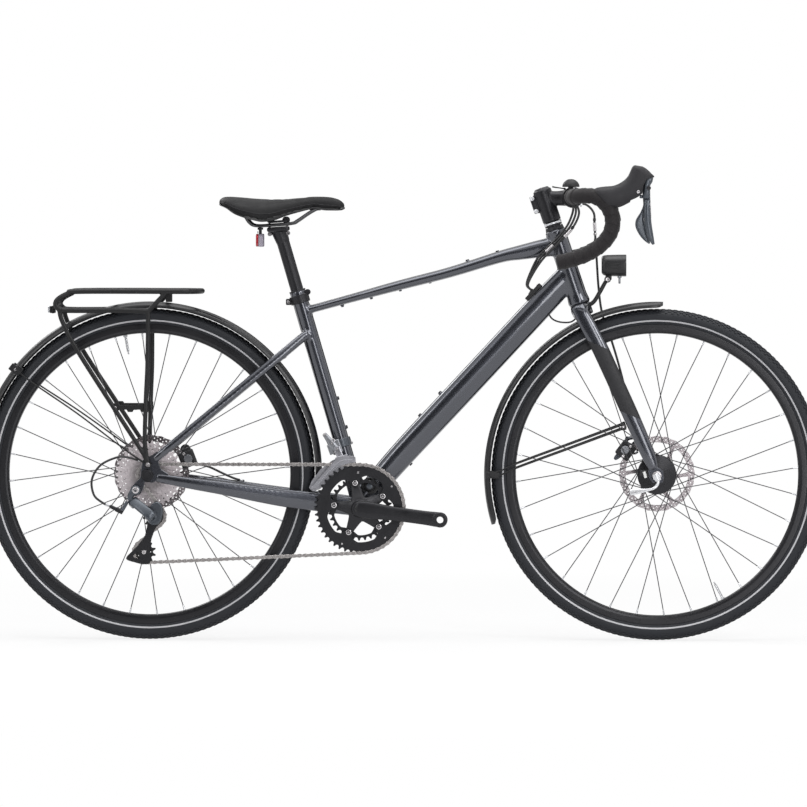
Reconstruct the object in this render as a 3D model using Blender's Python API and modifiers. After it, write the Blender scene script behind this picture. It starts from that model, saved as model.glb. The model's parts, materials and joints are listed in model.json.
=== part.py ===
"""Gravel bike with mudguards, rear rack and a dynamo lamp.

Lengths in this file are millimetres, turned into metres by V() and MM. X is measured forward from
the rear axle, Z up from the ground and Y to the left; the drive side faces -Y. V() moves the origin
to the ground below the middle of the bike's length.
"""
import math

import bmesh
import bpy
from mathutils import Matrix, Vector

MM = 0.001
GAP = 0.3

# Wheels
WHEEL_R = 349.0
WHEELBASE = 1070.0
WHEEL_STEPS = 32
RIM_IN_R = 297.0
RIM_OUT_R = 317.0
RIM_HALF = 12.5
TYRE_HALF = 18.5
SPOKES = 32
SPOKE_R = 1.0
ROTOR_R = 80.0
ROTOR_T = 1.8
REAR_HALF = 67.5
FRONT_HALF = 50.0
AXLE_R = 5.0
REAR_ROTOR_Y = 52.5
FRONT_ROTOR_Y = 40.0

# Frame
BB_X = 446.0
BB_Z = 278.0
BB_HALF = 34.0
BB_SHELL_R = 20.0
SPINDLE_R = 8.5
SEAT_SLOPE = 0.2927
SEAT_TOP_Z = 737.0
SEAT_TUBE_R = 16.5
POST_R = 13.6
HEAD_ANGLE = math.radians(71.5)
FORK_OFFSET = 40.25
HEAD_BOTTOM = 398.0
HEAD_TOP = 555.0
HEAD_R = 20.5
STEERER_R = 14.3

# Drivetrain
CHAIN_PITCH = 12.7
RING_TEETH = 46
SMALL_RING_TEETH = 32
COG_TEETH = (11, 13, 15, 17, 20, 23, 26, 34)
PULLEY_TEETH = 11
RING_Y = -48.7
SMALL_RING_Y = -41.3
SPIDER_Y = -45.0
COG_Y = -59.0
COG_STEP = 4.7
CRANK_LENGTH = 170.6
CRANK_ANGLE = math.radians(-7.5)
BOLT_CIRCLE_R = 55.0
GUIDE = (14.0, 262.0)
TENSION = (-8.0, 186.7)

# Mudguards and rack
GUARD_OUT_R = 364.0
GUARD_HALF = 24.0
RACK_TUBE_R = 5.8
RACK_HALF = 58.0

# Cockpit
BAR_HALF = 210.0
BAR_R = 11.9
BAR_CLAMP_R = 15.9
TAPE_R = 16.0
BAR_CENTRE = (WHEELBASE - 177.5, 932.5)

X_MID = (WHEELBASE + WHEEL_R - GUARD_OUT_R) / 2

AXIS_UP = Vector((-math.cos(HEAD_ANGLE), 0.0, math.sin(HEAD_ANGLE)))
X_AXIS = Vector((1.0, 0.0, 0.0))
Y_AXIS = Vector((0.0, 1.0, 0.0))
Z_AXIS = Vector((0.0, 0.0, 1.0))


def V(x, y, z):
    """A point in the bike's frame, in metres."""
    return Vector(((x - X_MID) * MM, y * MM, z * MM))


def ahead(x, y, z):
    """A point of the front end: x is measured forward from the front axle."""
    return V(WHEELBASE + x, y, z)


def pitch_r(teeth):
    """Pitch radius of a chain wheel."""
    return CHAIN_PITCH / (2 * math.sin(math.pi / teeth))


def steer(s, forward=0.0, y=0.0):
    """A point on the steering axis, s along it from beside the front axle, moved forward and sideways."""
    x = WHEELBASE - FORK_OFFSET * math.sin(HEAD_ANGLE) - math.cos(HEAD_ANGLE) * s
    z = WHEEL_R - FORK_OFFSET * math.cos(HEAD_ANGLE) + math.sin(HEAD_ANGLE) * s
    return V(x + forward * math.sin(HEAD_ANGLE), y, z + forward * math.cos(HEAD_ANGLE))


def seat_axis(z, y=0.0):
    """A point on the seat tube's axis at height z."""
    return V(BB_X - SEAT_SLOPE * (z - BB_Z), y, z)


def bore_r(radius, sides, gap=GAP):
    """Corner radius of a bore whose flats clear a turning pin of this radius."""
    return (radius + gap) / math.cos(math.pi / sides)


# Scene, materials and helpers

def new_collection(name):
    made = bpy.data.collections.new(name)
    bpy.context.scene.collection.children.link(made)
    return made


for old in list(bpy.data.objects):
    bpy.data.objects.remove(old, do_unlink=True)
PARTS = new_collection("gravel_bike")
CUTTERS = new_collection("cutters")
CUTTERS.hide_render = True


def material(name, colour, roughness, metallic):
    made = bpy.data.materials.new(name)
    made.use_nodes = True
    shader = made.node_tree.nodes["Principled BSDF"]
    shader.inputs["Base Color"].default_value = (*colour, 1.0)
    shader.inputs["Roughness"].default_value = roughness
    shader.inputs["Metallic"].default_value = metallic
    made.diffuse_color = (*colour, 1.0)
    return made


LOOKS = {
    "frame_paint": ((0.07, 0.075, 0.085), 0.28, 0.6),
    "black_metal": ((0.015, 0.015, 0.016), 0.4, 0.6),
    "black_plastic": ((0.018, 0.018, 0.018), 0.45, 0.0),
    "steel": ((0.6, 0.6, 0.62), 0.28, 1.0),
    "grey_metal": ((0.1, 0.11, 0.125), 0.35, 0.85),
    "chain_metal": ((0.3, 0.28, 0.26), 0.35, 1.0),
    "tyre_rubber": ((0.03, 0.03, 0.035), 0.85, 0.0),
    "hood_rubber": ((0.035, 0.035, 0.038), 0.75, 0.0),
    "bar_tape": ((0.025, 0.022, 0.024), 0.8, 0.0),
    "saddle_cover": ((0.022, 0.022, 0.026), 0.55, 0.0),
    "cable_housing": ((0.02, 0.02, 0.022), 0.5, 0.0),
    "red_reflector": ((0.45, 0.02, 0.03), 0.2, 0.0),
}
BODIES = {}


def body(name, point, parent=None):
    """An empty on the joint's axis, which carries the pieces of one moving body."""
    empty = bpy.data.objects.new("body_" + name, None)
    PARTS.objects.link(empty)
    empty.empty_display_size = 0.03
    if parent:
        empty.parent = BODIES[parent][0]
        empty.location = point - BODIES[parent][1]
    else:
        empty.location = point
    BODIES[name] = (empty, point)
    return point


def new_object(name, mesh):
    made = bpy.data.objects.new(name, mesh)
    CUTTERS.objects.link(made)
    made.display_type = "WIRE"
    made.hide_render = True
    return made


def mesh_object(name, points, faces):
    mesh = bpy.data.meshes.new(name)
    mesh.from_pydata([tuple(p) for p in points], [], faces)
    work = bmesh.new()
    work.from_mesh(mesh)
    bmesh.ops.recalc_face_normals(work, faces=work.faces)
    work.to_mesh(mesh)
    work.free()
    return new_object(name, mesh)


def loft(name, rings, looped=False):
    """Skin over rings of the same number of points, capped at both ends unless looped."""
    count = len(rings[0])
    points = [p for ring in rings for p in ring]
    faces = []
    last = len(rings) if looped else len(rings) - 1
    for i in range(last):
        a = i * count
        b = ((i + 1) % len(rings)) * count
        for k in range(count):
            n = (k + 1) % count
            faces.append((a + k, a + n, b + n, b + k))
    if not looped:
        faces.append(tuple(range(count)))
        faces.append(tuple(range(len(points) - count, len(points))))
    return mesh_object(name, points, faces)


def oval(centre, side, up, half_side, half_up, count, power=2.0):
    """A ring of points round a centre: an ellipse at power 2, squarer above it."""
    ring = []
    for k in range(count):
        angle = 2 * math.pi * (k + 0.5) / count
        c, s = math.cos(angle), math.sin(angle)
        a = math.copysign(abs(c) ** (2 / power), c)
        b = math.copysign(abs(s) ** (2 / power), s)
        ring.append(centre + side * (a * half_side * MM) + up * (b * half_up * MM))
    return ring


def directions(path, looped=False):
    """The unit tangent at each point of a path."""
    last = len(path) - 1
    found = []
    for i in range(len(path)):
        before = path[i - 1] if i > 0 or looped else path[i]
        after = path[(i + 1) % len(path)] if i < last or looped else path[i]
        found.append((after - before).normalized())
    return found


def frames(path, first=Y_AXIS, looped=False):
    """A (point, side, up) frame at each point of a path, turning as little as it can."""
    found = []
    side = first
    for point, along in zip(path, directions(path, looped)):
        side = (side - along * side.dot(along)).normalized()
        found.append((point, side, along.cross(side)))
    return found


def tube_rings(placed, sizes, count, power=2.0):
    """Rings on a list of frames; sizes holds one half size, or a (side, up) pair, per frame."""
    if not isinstance(sizes, (list, tuple)):
        sizes = [sizes] * len(placed)
    rings = []
    for (point, side, up), size in zip(placed, sizes):
        half_side, half_up = size if isinstance(size, tuple) else (size, size)
        rings.append(oval(point, side, up, half_side, half_up, count, power))
    return rings


def sweep(name, path, sizes, count=8, power=2.0, first=Y_AXIS, looped=False):
    """A solid tube along a path."""
    return loft(name, tube_rings(frames(path, first, looped), sizes, count, power), looped)


def sleeve(name, placed, outer, inner, count):
    """A hollow tube on a list of frames, open at its start and closed over the last step."""
    skin = tube_rings(placed, outer, count)
    lining = tube_rings(placed[:-1], inner, count)
    points = [p for ring in skin + lining for p in ring]
    start = len(skin) * count
    faces = []
    for first_index, rows in ((0, len(skin)), (start, len(lining))):
        for i in range(rows - 1):
            a = first_index + i * count
            for k in range(count):
                n = (k + 1) % count
                faces.append((a + k, a + n, a + count + n, a + count + k))
    for k in range(count):
        n = (k + 1) % count
        faces.append((k, n, start + n, start + k))
    faces.append(tuple(range(start - count, start)))
    faces.append(tuple(range(len(points) - count, len(points))))
    return mesh_object(name, points, faces)


def curved(points, steps=4):
    """Points along a smooth curve through the given ones."""
    found = []
    for i in range(len(points) - 1):
        p0 = points[max(i - 1, 0)]
        p1, p2 = points[i], points[i + 1]
        p3 = points[min(i + 2, len(points) - 1)]
        for k in range(steps):
            t = k / steps
            found.append(0.5 * ((2 * p1) + (p2 - p0) * t + (2 * p0 - 5 * p1 + 4 * p2 - p3) * t * t
                                + (3 * p1 - p0 - 3 * p2 + p3) * t * t * t))
    return found + [points[-1]]


def wire(name, points, radius, steps=3, resolution=1):
    """A round wire or cable as a bevelled curve with closed ends, turned into a mesh."""
    curve = bpy.data.curves.new(name, "CURVE")
    curve.dimensions = "3D"
    curve.bevel_depth = radius * MM
    curve.bevel_resolution = resolution
    curve.use_fill_caps = True
    spline = curve.splines.new("POLY")
    route = curved(points, steps) if steps > 1 else points
    spline.points.add(len(route) - 1)
    for point, place in zip(spline.points, route):
        point.co = (*place, 1.0)
    return curve_mesh(name, curve)


def curve_mesh(name, curve, matrix=None):
    """A mesh object from a curve, with the curve removed."""
    holder = bpy.data.objects.new(name + "_curve", curve)
    bpy.context.scene.collection.objects.link(holder)
    if matrix is not None:
        holder.matrix_world = matrix
    bpy.context.view_layer.update()
    seen = holder.evaluated_get(bpy.context.evaluated_depsgraph_get())
    mesh = bpy.data.meshes.new_from_object(seen)
    mesh.transform(holder.matrix_world)
    bpy.data.objects.remove(holder, do_unlink=True)
    bpy.data.curves.remove(curve)
    work = bmesh.new()
    work.from_mesh(mesh)
    bmesh.ops.remove_doubles(work, verts=work.verts, dist=1e-6)
    bmesh.ops.recalc_face_normals(work, faces=work.faces)
    work.to_mesh(mesh)
    work.free()
    mesh.materials.clear()
    return new_object(name, mesh)


def slab(name, loops, thickness, matrix):
    """A flat plate of the outline loops (the first one outer, the rest holes), thick along local Z."""
    curve = bpy.data.curves.new(name, "CURVE")
    curve.dimensions = "2D"
    curve.fill_mode = "BOTH"
    curve.extrude = thickness / 2 * MM
    for loop in loops:
        spline = curve.splines.new("POLY")
        spline.points.add(len(loop) - 1)
        spline.use_cyclic_u = True
        for point, (x, y) in zip(spline.points, loop):
            point.co = (x * MM, y * MM, 0.0, 1.0)
    return curve_mesh(name, curve, matrix)


def facing(y, x=0.0, z=0.0):
    """Places a slab in the bike's side view: local X forward, local Y up, centred on y."""
    return Matrix.Translation(V(x, y, z)) @ Matrix.Rotation(math.pi / 2, 4, "X")


def circle(x, y, radius, count, phase=0.0):
    return [(x + radius * math.cos(phase + 2 * math.pi * k / count),
             y + radius * math.sin(phase + 2 * math.pi * k / count)) for k in range(count)]


def rod(name, a, b, radius, count=16, end_radius=None):
    """A cylinder or cone from a to b."""
    work = bmesh.new()
    along = b - a
    turn = along.to_track_quat("Z", "Y").to_matrix().to_4x4()
    place = Matrix.Translation((a + b) / 2) @ turn
    bmesh.ops.create_cone(work, cap_ends=True, segments=count, radius1=radius * MM,
                          radius2=(radius if end_radius is None else end_radius) * MM,
                          depth=along.length, matrix=place)
    mesh = bpy.data.meshes.new(name)
    work.to_mesh(mesh)
    work.free()
    return new_object(name, mesh)


def ydisc(name, x, z, y0, y1, radius, count=16):
    """A cylinder along Y."""
    return rod(name, V(x, y0, z), V(x, y1, z), radius, count)


def box(name, centre, size, turn=None):
    work = bmesh.new()
    scale = Matrix.Diagonal((size[0] * MM, size[1] * MM, size[2] * MM, 1.0))
    spin = turn.to_4x4() if turn is not None else Matrix.Identity(4)
    bmesh.ops.create_cube(work, size=1.0, matrix=Matrix.Translation(centre) @ spin @ scale)
    mesh = bpy.data.meshes.new(name)
    work.to_mesh(mesh)
    work.free()
    return new_object(name, mesh)


def lathe(name, profile, x, z, steps):
    """A solid of revolution about a line along Y. The profile's pairs are (radius, y), outer side first."""
    mesh = bpy.data.meshes.new(name)
    points = [(r * MM, 0.0, -y * MM) for r, y in profile]
    closed = min(r for r, _ in profile) > 0.0
    edges = [(i, i + 1) for i in range(len(points) - 1)]
    if closed:
        edges.append((len(points) - 1, 0))
    mesh.from_pydata(points, edges, [])
    made = new_object(name, mesh)
    made.location = V(x, 0, z)
    made.rotation_euler = (math.pi / 2, 0, 0)
    screw = made.modifiers.new("turn", "SCREW")
    screw.axis = "Z"
    screw.steps = steps
    screw.render_steps = steps
    screw.use_merge_vertices = True
    screw.merge_threshold = 1e-5
    screw.use_normal_calculate = True
    return baked(made)


def baked(made):
    """Applies an object's modifiers and its placement to its mesh."""
    bpy.context.view_layer.update()
    seen = made.evaluated_get(bpy.context.evaluated_depsgraph_get())
    mesh = bpy.data.meshes.new_from_object(seen)
    mesh.transform(made.matrix_world)
    work = bmesh.new()
    work.from_mesh(mesh)
    bmesh.ops.recalc_face_normals(work, faces=work.faces)
    work.to_mesh(mesh)
    work.free()
    made.modifiers.clear()
    made.data = mesh
    made.matrix_world = Matrix.Identity(4)
    return made


def boolean(target, other, operation):
    change = target.modifiers.new(operation.lower(), "BOOLEAN")
    change.operation = operation
    change.solver = "EXACT"
    change.object = other


def unite(target, *others):
    for other in others:
        boolean(target, other, "UNION")
    return target


def cut(target, *others):
    for other in others:
        boolean(target, other, "DIFFERENCE")
    return target


def node(name, made, look, carrier=None, smooth=35.0):
    """Finishes a piece: name, material, origin on its body's joint, collection."""
    made.name = name
    made.data.name = name
    CUTTERS.objects.unlink(made)
    PARTS.objects.link(made)
    made.hide_render = False
    made.display_type = "TEXTURED"
    if look not in MATERIALS:
        MATERIALS[look] = material(look, *LOOKS[look])
    own = MATERIALS[look].copy()
    own.name = name + "_" + look
    made.data.materials.append(own)
    made.data.shade_smooth()
    made.data.set_sharp_from_angle(angle=math.radians(smooth))
    if carrier:
        empty, point = BODIES[carrier]
        made.data.transform(Matrix.Translation(-point))
        made.parent = empty
        for change in made.modifiers:
            move_operand(change.object, point, empty)
    return made


def move_operand(other, point, empty):
    """Keeps a Boolean's operand in place beside the piece it shapes."""
    if other.parent is None:
        other.data.transform(Matrix.Translation(-point))
        other.parent = empty


MATERIALS = {}

# Moving bodies, each with its origin on its joint

REAR_AXLE = (0.0, WHEEL_R)
FRONT_AXLE = (WHEELBASE, WHEEL_R)
LEVER_PIVOT = (WHEELBASE - 18.0, 952.0)
LAMP_PIVOT = (WHEELBASE - 104.0, 760.0)
BELL_PIVOT = (WHEELBASE - 194.0, -41.5, 950.4)
CHANGER_PIN = (398.0, 403.0)
RD_A = Vector((-27.0, -79.0, 291.0))
RD_B = RD_A + Vector((35.1, -15.2, -27.7))
RD_AXIS = Vector((33.1, 14.4, 34.0)).normalized()
RELEASE_TIP = (-62.0, -33.0)
RELEASE_AXIS = Vector((RELEASE_TIP[1], 0.0, -RELEASE_TIP[0])).normalized()
FRONT_RELEASE = (WHEELBASE, -73.4, WHEEL_R - 3.0)
REAR_RELEASE = (0.0, 95.4, WHEEL_R - 3.0)
CALIPERS = {
    "front": (FRONT_AXLE, math.radians(143.0), FRONT_ROTOR_Y, 56.0),
    "rear": (REAR_AXLE, math.radians(21.0), REAR_ROTOR_Y, 68.5),
}
ARM_PIVOTS = {"front": (84.0, 0.0), "rear": (84.0, 20.0)}


def caliper_point(which, radius, around=0.0):
    """A point beside a rotor: (x, z) at this radius, moved round the rotor in millimetres."""
    (x, z), angle, _, _ = CALIPERS[which]
    return (x + radius * math.cos(angle) - around * math.sin(angle),
            z + radius * math.sin(angle) + around * math.cos(angle))


body("steering", steer(HEAD_BOTTOM))
body("front_wheel", V(*FRONT_AXLE[:1], 0, FRONT_AXLE[1]), "steering")
body("rear_wheel", V(0, 0, WHEEL_R))
body("freewheel", V(0, COG_Y, WHEEL_R))
body("crankset", V(BB_X, 0, BB_Z))
body("seatpost", seat_axis(SEAT_TOP_Z))
body("headlight", V(LAMP_PIVOT[0], 0, LAMP_PIVOT[1]), "steering")
body("bell_striker", V(*BELL_PIVOT), "steering")
body("front_changer", V(CHANGER_PIN[0], -30.0, CHANGER_PIN[1]))
body("rear_changer_link", V(*RD_A))
body("rear_changer_knuckle", V(*RD_B), "rear_changer_link")
body("rear_changer_cage", V(GUIDE[0], -80.0, GUIDE[1]), "rear_changer_knuckle")
body("guide_pulley", V(GUIDE[0], COG_Y, GUIDE[1]), "rear_changer_cage")
body("tension_pulley", V(TENSION[0], COG_Y, TENSION[1]), "rear_changer_cage")
for which, carrier in (("front", "steering"), ("rear", None)):
    arm_x, arm_z = caliper_point(which, *ARM_PIVOTS[which])
    body(which + "_brake_arm", V(arm_x, CALIPERS[which][3], arm_z), carrier)
body("front_quick_release", V(*FRONT_RELEASE), "steering")
body("rear_quick_release", V(*REAR_RELEASE))
for label, sign in (("right", -1), ("left", 1)):
    body(label + "_brake_lever", V(LEVER_PIVOT[0], sign * BAR_HALF, LEVER_PIVOT[1]), "steering")
    body(label + "_shift_blade", ahead(-23, sign * BAR_HALF, 930.0), label + "_brake_lever")
    body(label + "_shift_paddle", ahead(-33.5, sign * (BAR_HALF - 8.0), 930.0), label + "_brake_lever")


# Frame

def frame_tube(name, stations, count, power):
    """A frame tube through (x, y, z, half width, half depth) stations."""
    path = [V(x, y, z) for x, y, z, _, _ in stations]
    return sweep(name, path, [(w, h) for _, _, _, w, h in stations], count, power)


# The bottle bosses stand on the straight part of the down tube, between these two points
BOTTLE_LOW = (BB_X + 94.0, 398.0)
BOTTLE_HIGH = (BB_X + 0.3269 * (WHEELBASE - BB_X), 516.0)
down_tube = frame_tube("down_tube", [
    (WHEELBASE - 183, 0, 771, 17, 24), (WHEELBASE - 210, 0, 742, 19, 26),
    (WHEELBASE - 270, 0, 677.5, 22, 27), (BOTTLE_HIGH[0], 0, BOTTLE_HIGH[1], 24, 27),
    (BOTTLE_LOW[0], 0, BOTTLE_LOW[1], 25, 26.5), (BB_X + 29, 0, 324, 28, 24), (BB_X, 0, 290, 29, 17)],
    10, 3.2)
top_tube = frame_tube("top_tube", [
    (WHEELBASE - 204, 0, 831, 15, 20), (WHEELBASE - 236, 0, 826, 16, 18.5),
    (WHEELBASE - 289, 0, 816, 17, 14.5), (WHEELBASE - 331, 0, 807, 17, 11.8), (634, 0, 774.6, 17.5, 10.2),
    (528, 0, 747.3, 17, 9.6), (423, 0, 718.9, 16, 8), (326, 0, 692.5, 14, 7.6)],
    10, 2.8)
seat_tube = rod("seat_tube", seat_axis(BB_Z + 4), seat_axis(SEAT_TOP_Z), SEAT_TUBE_R, 12)
head_tube = rod("head_tube", steer(HEAD_BOTTOM), steer(HEAD_TOP), HEAD_R, 14)
head_low = rod("head_low", steer(HEAD_BOTTOM - 6), steer(HEAD_BOTTOM + 12), HEAD_R + 2.2, 14)
head_high = rod("head_high", steer(HEAD_TOP - 8), steer(HEAD_TOP + 9), HEAD_R - 1.5, 14)
bb_shell = ydisc("bb_shell", BB_X, BB_Z, -BB_HALF, BB_HALF, BB_SHELL_R, 14)
bb_cups = ydisc("bb_cups", BB_X, BB_Z, -BB_HALF - 2.4, BB_HALF + 2.4, BB_SHELL_R - 3, 14)
frame = down_tube
unite(frame, top_tube, seat_tube, head_tube, head_low, head_high, bb_shell, bb_cups)

STAY_HALF = 74.5
for sign in (-1, 1):
    chainstay = frame_tube("chainstay", [
        (438, sign * 25, 281, 9, 19), (380, sign * 29.5, 288, 8, 19.6),
        (343, sign * 33.5, 293.4, 7.3, 19.6), (276, sign * 42, 301.7, 7.3, 18.6),
        (160, sign * 58.5, 321, 7.5, 14.2), (86, sign * 68, 332.6, 6.5, 11.7),
        (36, sign * 71.7, 341, 3.6, 9.6), (18, sign * 71.7, 343.5, 3.2, 8.5)], 8, 2.4)
    seatstay = frame_tube("seatstay", [
        (334, sign * 15, 645, 7, 9), (318, sign * 21, 633, 6.8, 9), (270, sign * 33.5, 593, 6.6, 9),
        (180, sign * 49, 519, 6.4, 8.8), (60, sign * 70, 419.5, 6, 8.4), (28, sign * 71.7, 392.5, 3.4, 8),
        (14, sign * 71.7, 381, 3.2, 6.5)], 8, 2.2)
    outline = [(-13, -13), (10.5, -14), (22, -9), (40, -15), (44, 2), (26, 14), (22, 28), (34, 44), (24, 52),
               (6, 38), (-8, 33), (-12, 14)]
    if sign < 0:
        outline = [(-37, -38), (-34, -41), (-24, -43), (-15, -39), (-12, -30), (-7, -20)] + outline[1:]
        outline += [(-14, -6), (-34, -26)]
    dropout = slab("dropout", [outline], 7.0, facing(sign * (REAR_HALF + 3.9), 0, WHEEL_R))
    slot = box("axle_slot", V(2.0, sign * 71.4, WHEEL_R - 14), (10.9, 12, 28), Matrix.Rotation(-0.1, 3, "Y"))
    seat = ydisc("axle_seat", 0, WHEEL_R, sign * 60, sign * 80, bore_r(AXLE_R, 12, 0.4), 12)
    unite(frame, chainstay, seatstay, dropout)
    cut(frame, slot, seat)
seat_bridge = rod("seat_bridge", V(282, -36, 598), V(282, 36, 598), 6, 8)
chain_bridge = rod("chain_bridge", V(372, -32, 290), V(372, 32, 290), 6.5, 8)
bottle_low = V(BOTTLE_LOW[0], 0, BOTTLE_LOW[1])
bottle_high = V(BOTTLE_HIGH[0], 0, BOTTLE_HIGH[1])
boss_out = (bottle_low - bottle_high).normalized().cross(Y_AXIS)
for share, seat in ((0.4714, 22.0), (0.8643, 23.5)):
    foot = bottle_low.lerp(bottle_high, share)
    unite(frame, rod("boss", foot + boss_out * (seat * MM), foot + boss_out * ((seat + 9.5) * MM), 5, 6))
port = slab("cable_port", [[(-21, -6), (-16, -8), (16, -8), (21, -6), (21, 6), (16, 8), (-16, 8), (-21, 6)]],
            9.0, Matrix.Translation(ahead(-260, 0, 733)) @ Matrix.Rotation(-0.8215, 4, "Y"))
unite(frame, seat_bridge, chain_bridge, port)
cut(frame,
    rod("steerer_bore", steer(HEAD_BOTTOM - 20), steer(HEAD_TOP + 20), bore_r(STEERER_R, 14), 14),
    rod("post_bore", seat_axis(SEAT_TOP_Z - 260), seat_axis(SEAT_TOP_Z + 20), bore_r(POST_R, 14), 14),
    ydisc("spindle_bore", BB_X, BB_Z, -BB_HALF - 10, BB_HALF + 10, bore_r(SPINDLE_R, 12), 12))
node("frame", frame, "frame_paint")

collar = rod("collar", seat_axis(SEAT_TOP_Z - 27), seat_axis(SEAT_TOP_Z - 11), SEAT_TUBE_R + 4.2, 12)
ear = box("ear", seat_axis(SEAT_TOP_Z - 19) + Vector((-0.0215, 0, -0.006)), (12, 17, 12))
collar_bolt = rod("collar_bolt", seat_axis(SEAT_TOP_Z - 19, -11) + Vector((-0.0225, 0, -0.006)),
                  seat_axis(SEAT_TOP_Z - 19, 11) + Vector((-0.0225, 0, -0.006)), 3.6, 8)
unite(collar, ear, collar_bolt)
cut(collar, rod("collar_bore", seat_axis(SEAT_TOP_Z - 40), seat_axis(SEAT_TOP_Z),
                bore_r(SEAT_TUBE_R, 12), 12),
    box("collar_split", seat_axis(SEAT_TOP_Z - 19) + Vector((-0.025, 0, -0.006)), (22, 1.6, 26)))
node("seat_clamp", collar, "black_metal")


# Wheels

def tyre(name, x, z, carrier):
    profile = [(309.35, -9.0), (318.0, -9.6), (327.0, -18.0), (340.0, -16.0), (WHEEL_R, 0.0), (340.0, 16.0),
               (327.0, 18.0), (318.0, 9.6), (309.35, 9.0), (309.35, 6.0), (337.0, 12.0), (337.0, -12.0),
               (309.35, -6.0)]
    return node(name, lathe(name, profile, x, z, WHEEL_STEPS), "tyre_rubber", carrier)


def rim(name, x, z, carrier):
    profile = [(RIM_IN_R, -7.5), (RIM_IN_R + 5, -RIM_HALF), (RIM_OUT_R, -RIM_HALF), (309.0, -9.2),
               (309.0, 9.2), (RIM_OUT_R, RIM_HALF), (RIM_IN_R + 5, RIM_HALF), (RIM_IN_R, 7.5)]
    return node(name, lathe(name, profile, x, z, WHEEL_STEPS), "black_metal", carrier)


def spokes(name, x, z, right, left):
    """All the spokes of one wheel, crossed three times; right and left are (flange radius, flange y)."""
    points, faces = [], []
    end_r = RIM_IN_R * math.cos(math.pi / WHEEL_STEPS) - 0.4
    lean = math.radians(67.5)
    for side, (flange_r, flange_y) in enumerate((right, left)):
        sign = -1 if side == 0 else 1
        for k in range(SPOKES // 2):
            hub_angle = 4 * math.pi * k / SPOKES + side * 2 * math.pi / SPOKES + math.radians(3)
            trail = 1 if k % 2 else -1
            rim_angle = hub_angle + trail * lean
            hub_y = flange_y + sign * trail * 2.3
            a = V(x + flange_r * math.cos(hub_angle), hub_y, z + flange_r * math.sin(hub_angle))
            rim_y = sign * (2.4 + trail * 0.9)
            b = V(x + end_r * math.cos(rim_angle), rim_y, z + end_r * math.sin(rim_angle))
            along = (b - a).normalized()
            side_dir = (Y_AXIS - along * along.y).normalized()
            up = along.cross(side_dir)
            start = len(points)
            for centre in (a - along * (2 * MM), b):
                points += oval(centre, side_dir, up, SPOKE_R * 1.4, SPOKE_R * 1.4, 3)
            for j in range(3):
                n = (j + 1) % 3
                faces.append((start + j, start + n, start + 3 + n, start + 3 + j))
            faces.append(tuple(start + j for j in range(3)))
            faces.append(tuple(start + 3 + j for j in range(3)))
    return mesh_object(name, points, faces)


def rotor(name, x, z, y, carrier):
    """A brake rotor: ring, six slanted arms and a centre ring that sits on the hub."""
    loops = [circle(0, 0, ROTOR_R, WHEEL_STEPS), circle(0, 0, 20.6, 12)]
    for k in range(6):
        start = math.pi / 3 * k
        window = [(66.0, 0.08), (66.0, 0.5), (66.0, 0.93), (30.0, 0.62), (30.0, -0.05)]
        loops.append([(r * math.cos(start + a), r * math.sin(start + a)) for r, a in window])
    return node(name, slab(name, loops, ROTOR_T, facing(y, x, z)), "steel", carrier)


bore = bore_r(AXLE_R, 12)
front_right, front_left = (38.0, -24.0), (38.0, 24.0)
front_hub_profile = [
    (bore, -46.5), (11.0, -46.5), (11.0, -30.5), (41.0, -26.5), (41.0, -21.0), (37.0, -17.0), (37.0, 17.0),
    (41.0, 21.0), (41.0, 26.5), (24.0, 30.0), (19.0, 43.0), (bore, 46.5)]
rear_right, rear_left = (24.0, -20.0), (26.0, 33.0)
rear_hub_profile = [
    (bore, -22.8), (14.0, -22.8), (28.0, -22.3), (28.0, -17.0), (15.0, -12.0), (15.0, 24.0), (30.0, 30.0),
    (30.0, 36.0), (24.0, 39.0), (19.0, 56.0), (12.0, 64.5), (bore, 64.5)]
for end, (x, z), flanges, profile, rotor_y in (
        ("front", FRONT_AXLE, (front_right, front_left), front_hub_profile, FRONT_ROTOR_Y),
        ("rear", REAR_AXLE, (rear_right, rear_left), rear_hub_profile, REAR_ROTOR_Y)):
    wheel = end + "_wheel"
    tyre(end + "_tire", x, z, wheel)
    rim(end + "_rim", x, z, wheel)
    hub = lathe(end + "_hub", profile, x, z, 12)
    unite(hub, spokes(end + "_spokes", x, z, *flanges))
    node(end + "_hub", hub, "steel" if end == "rear" else "black_metal", wheel)
    rotor(end + "_rotor", x, z, rotor_y, wheel)


# Axles and quick releases

front_axle = ydisc("front_axle", *FRONT_AXLE, -66, 66, AXLE_R, 12)
for sign in (-1, 1):
    unite(front_axle, ydisc("locknut", *FRONT_AXLE, sign * 47, sign * (FRONT_HALF - 0.3), 9, 6),
          ydisc("end_nut", *FRONT_AXLE, sign * 59.3, sign * 66, 10, 10))
plug_body = box("plug_body", ahead(-24, -40.8, 354), (24, 13.6, 13))
plug_neck = box("plug_neck", ahead(-8, -48.4, 349), (14, 2.4, 10))
unite(front_axle, plug_neck, plug_body)
node("front_axle", front_axle, "black_metal", "steering")

rear_axle = ydisc("rear_axle", *REAR_AXLE, -85, 88, AXLE_R, 12)
unite(rear_axle,
      ydisc("locknut_r", *REAR_AXLE, -64.8, -REAR_HALF + 0.3, 9, 6),
      ydisc("locknut_l", *REAR_AXLE, 65.2, REAR_HALF - 0.3, 9, 6),
      ydisc("nut_r", *REAR_AXLE, -75.4, -85, 13, 12),
      ydisc("nut_l", *REAR_AXLE, 75.4, 88, 10, 10))
node("rear_axle", rear_axle, "black_metal")


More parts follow.
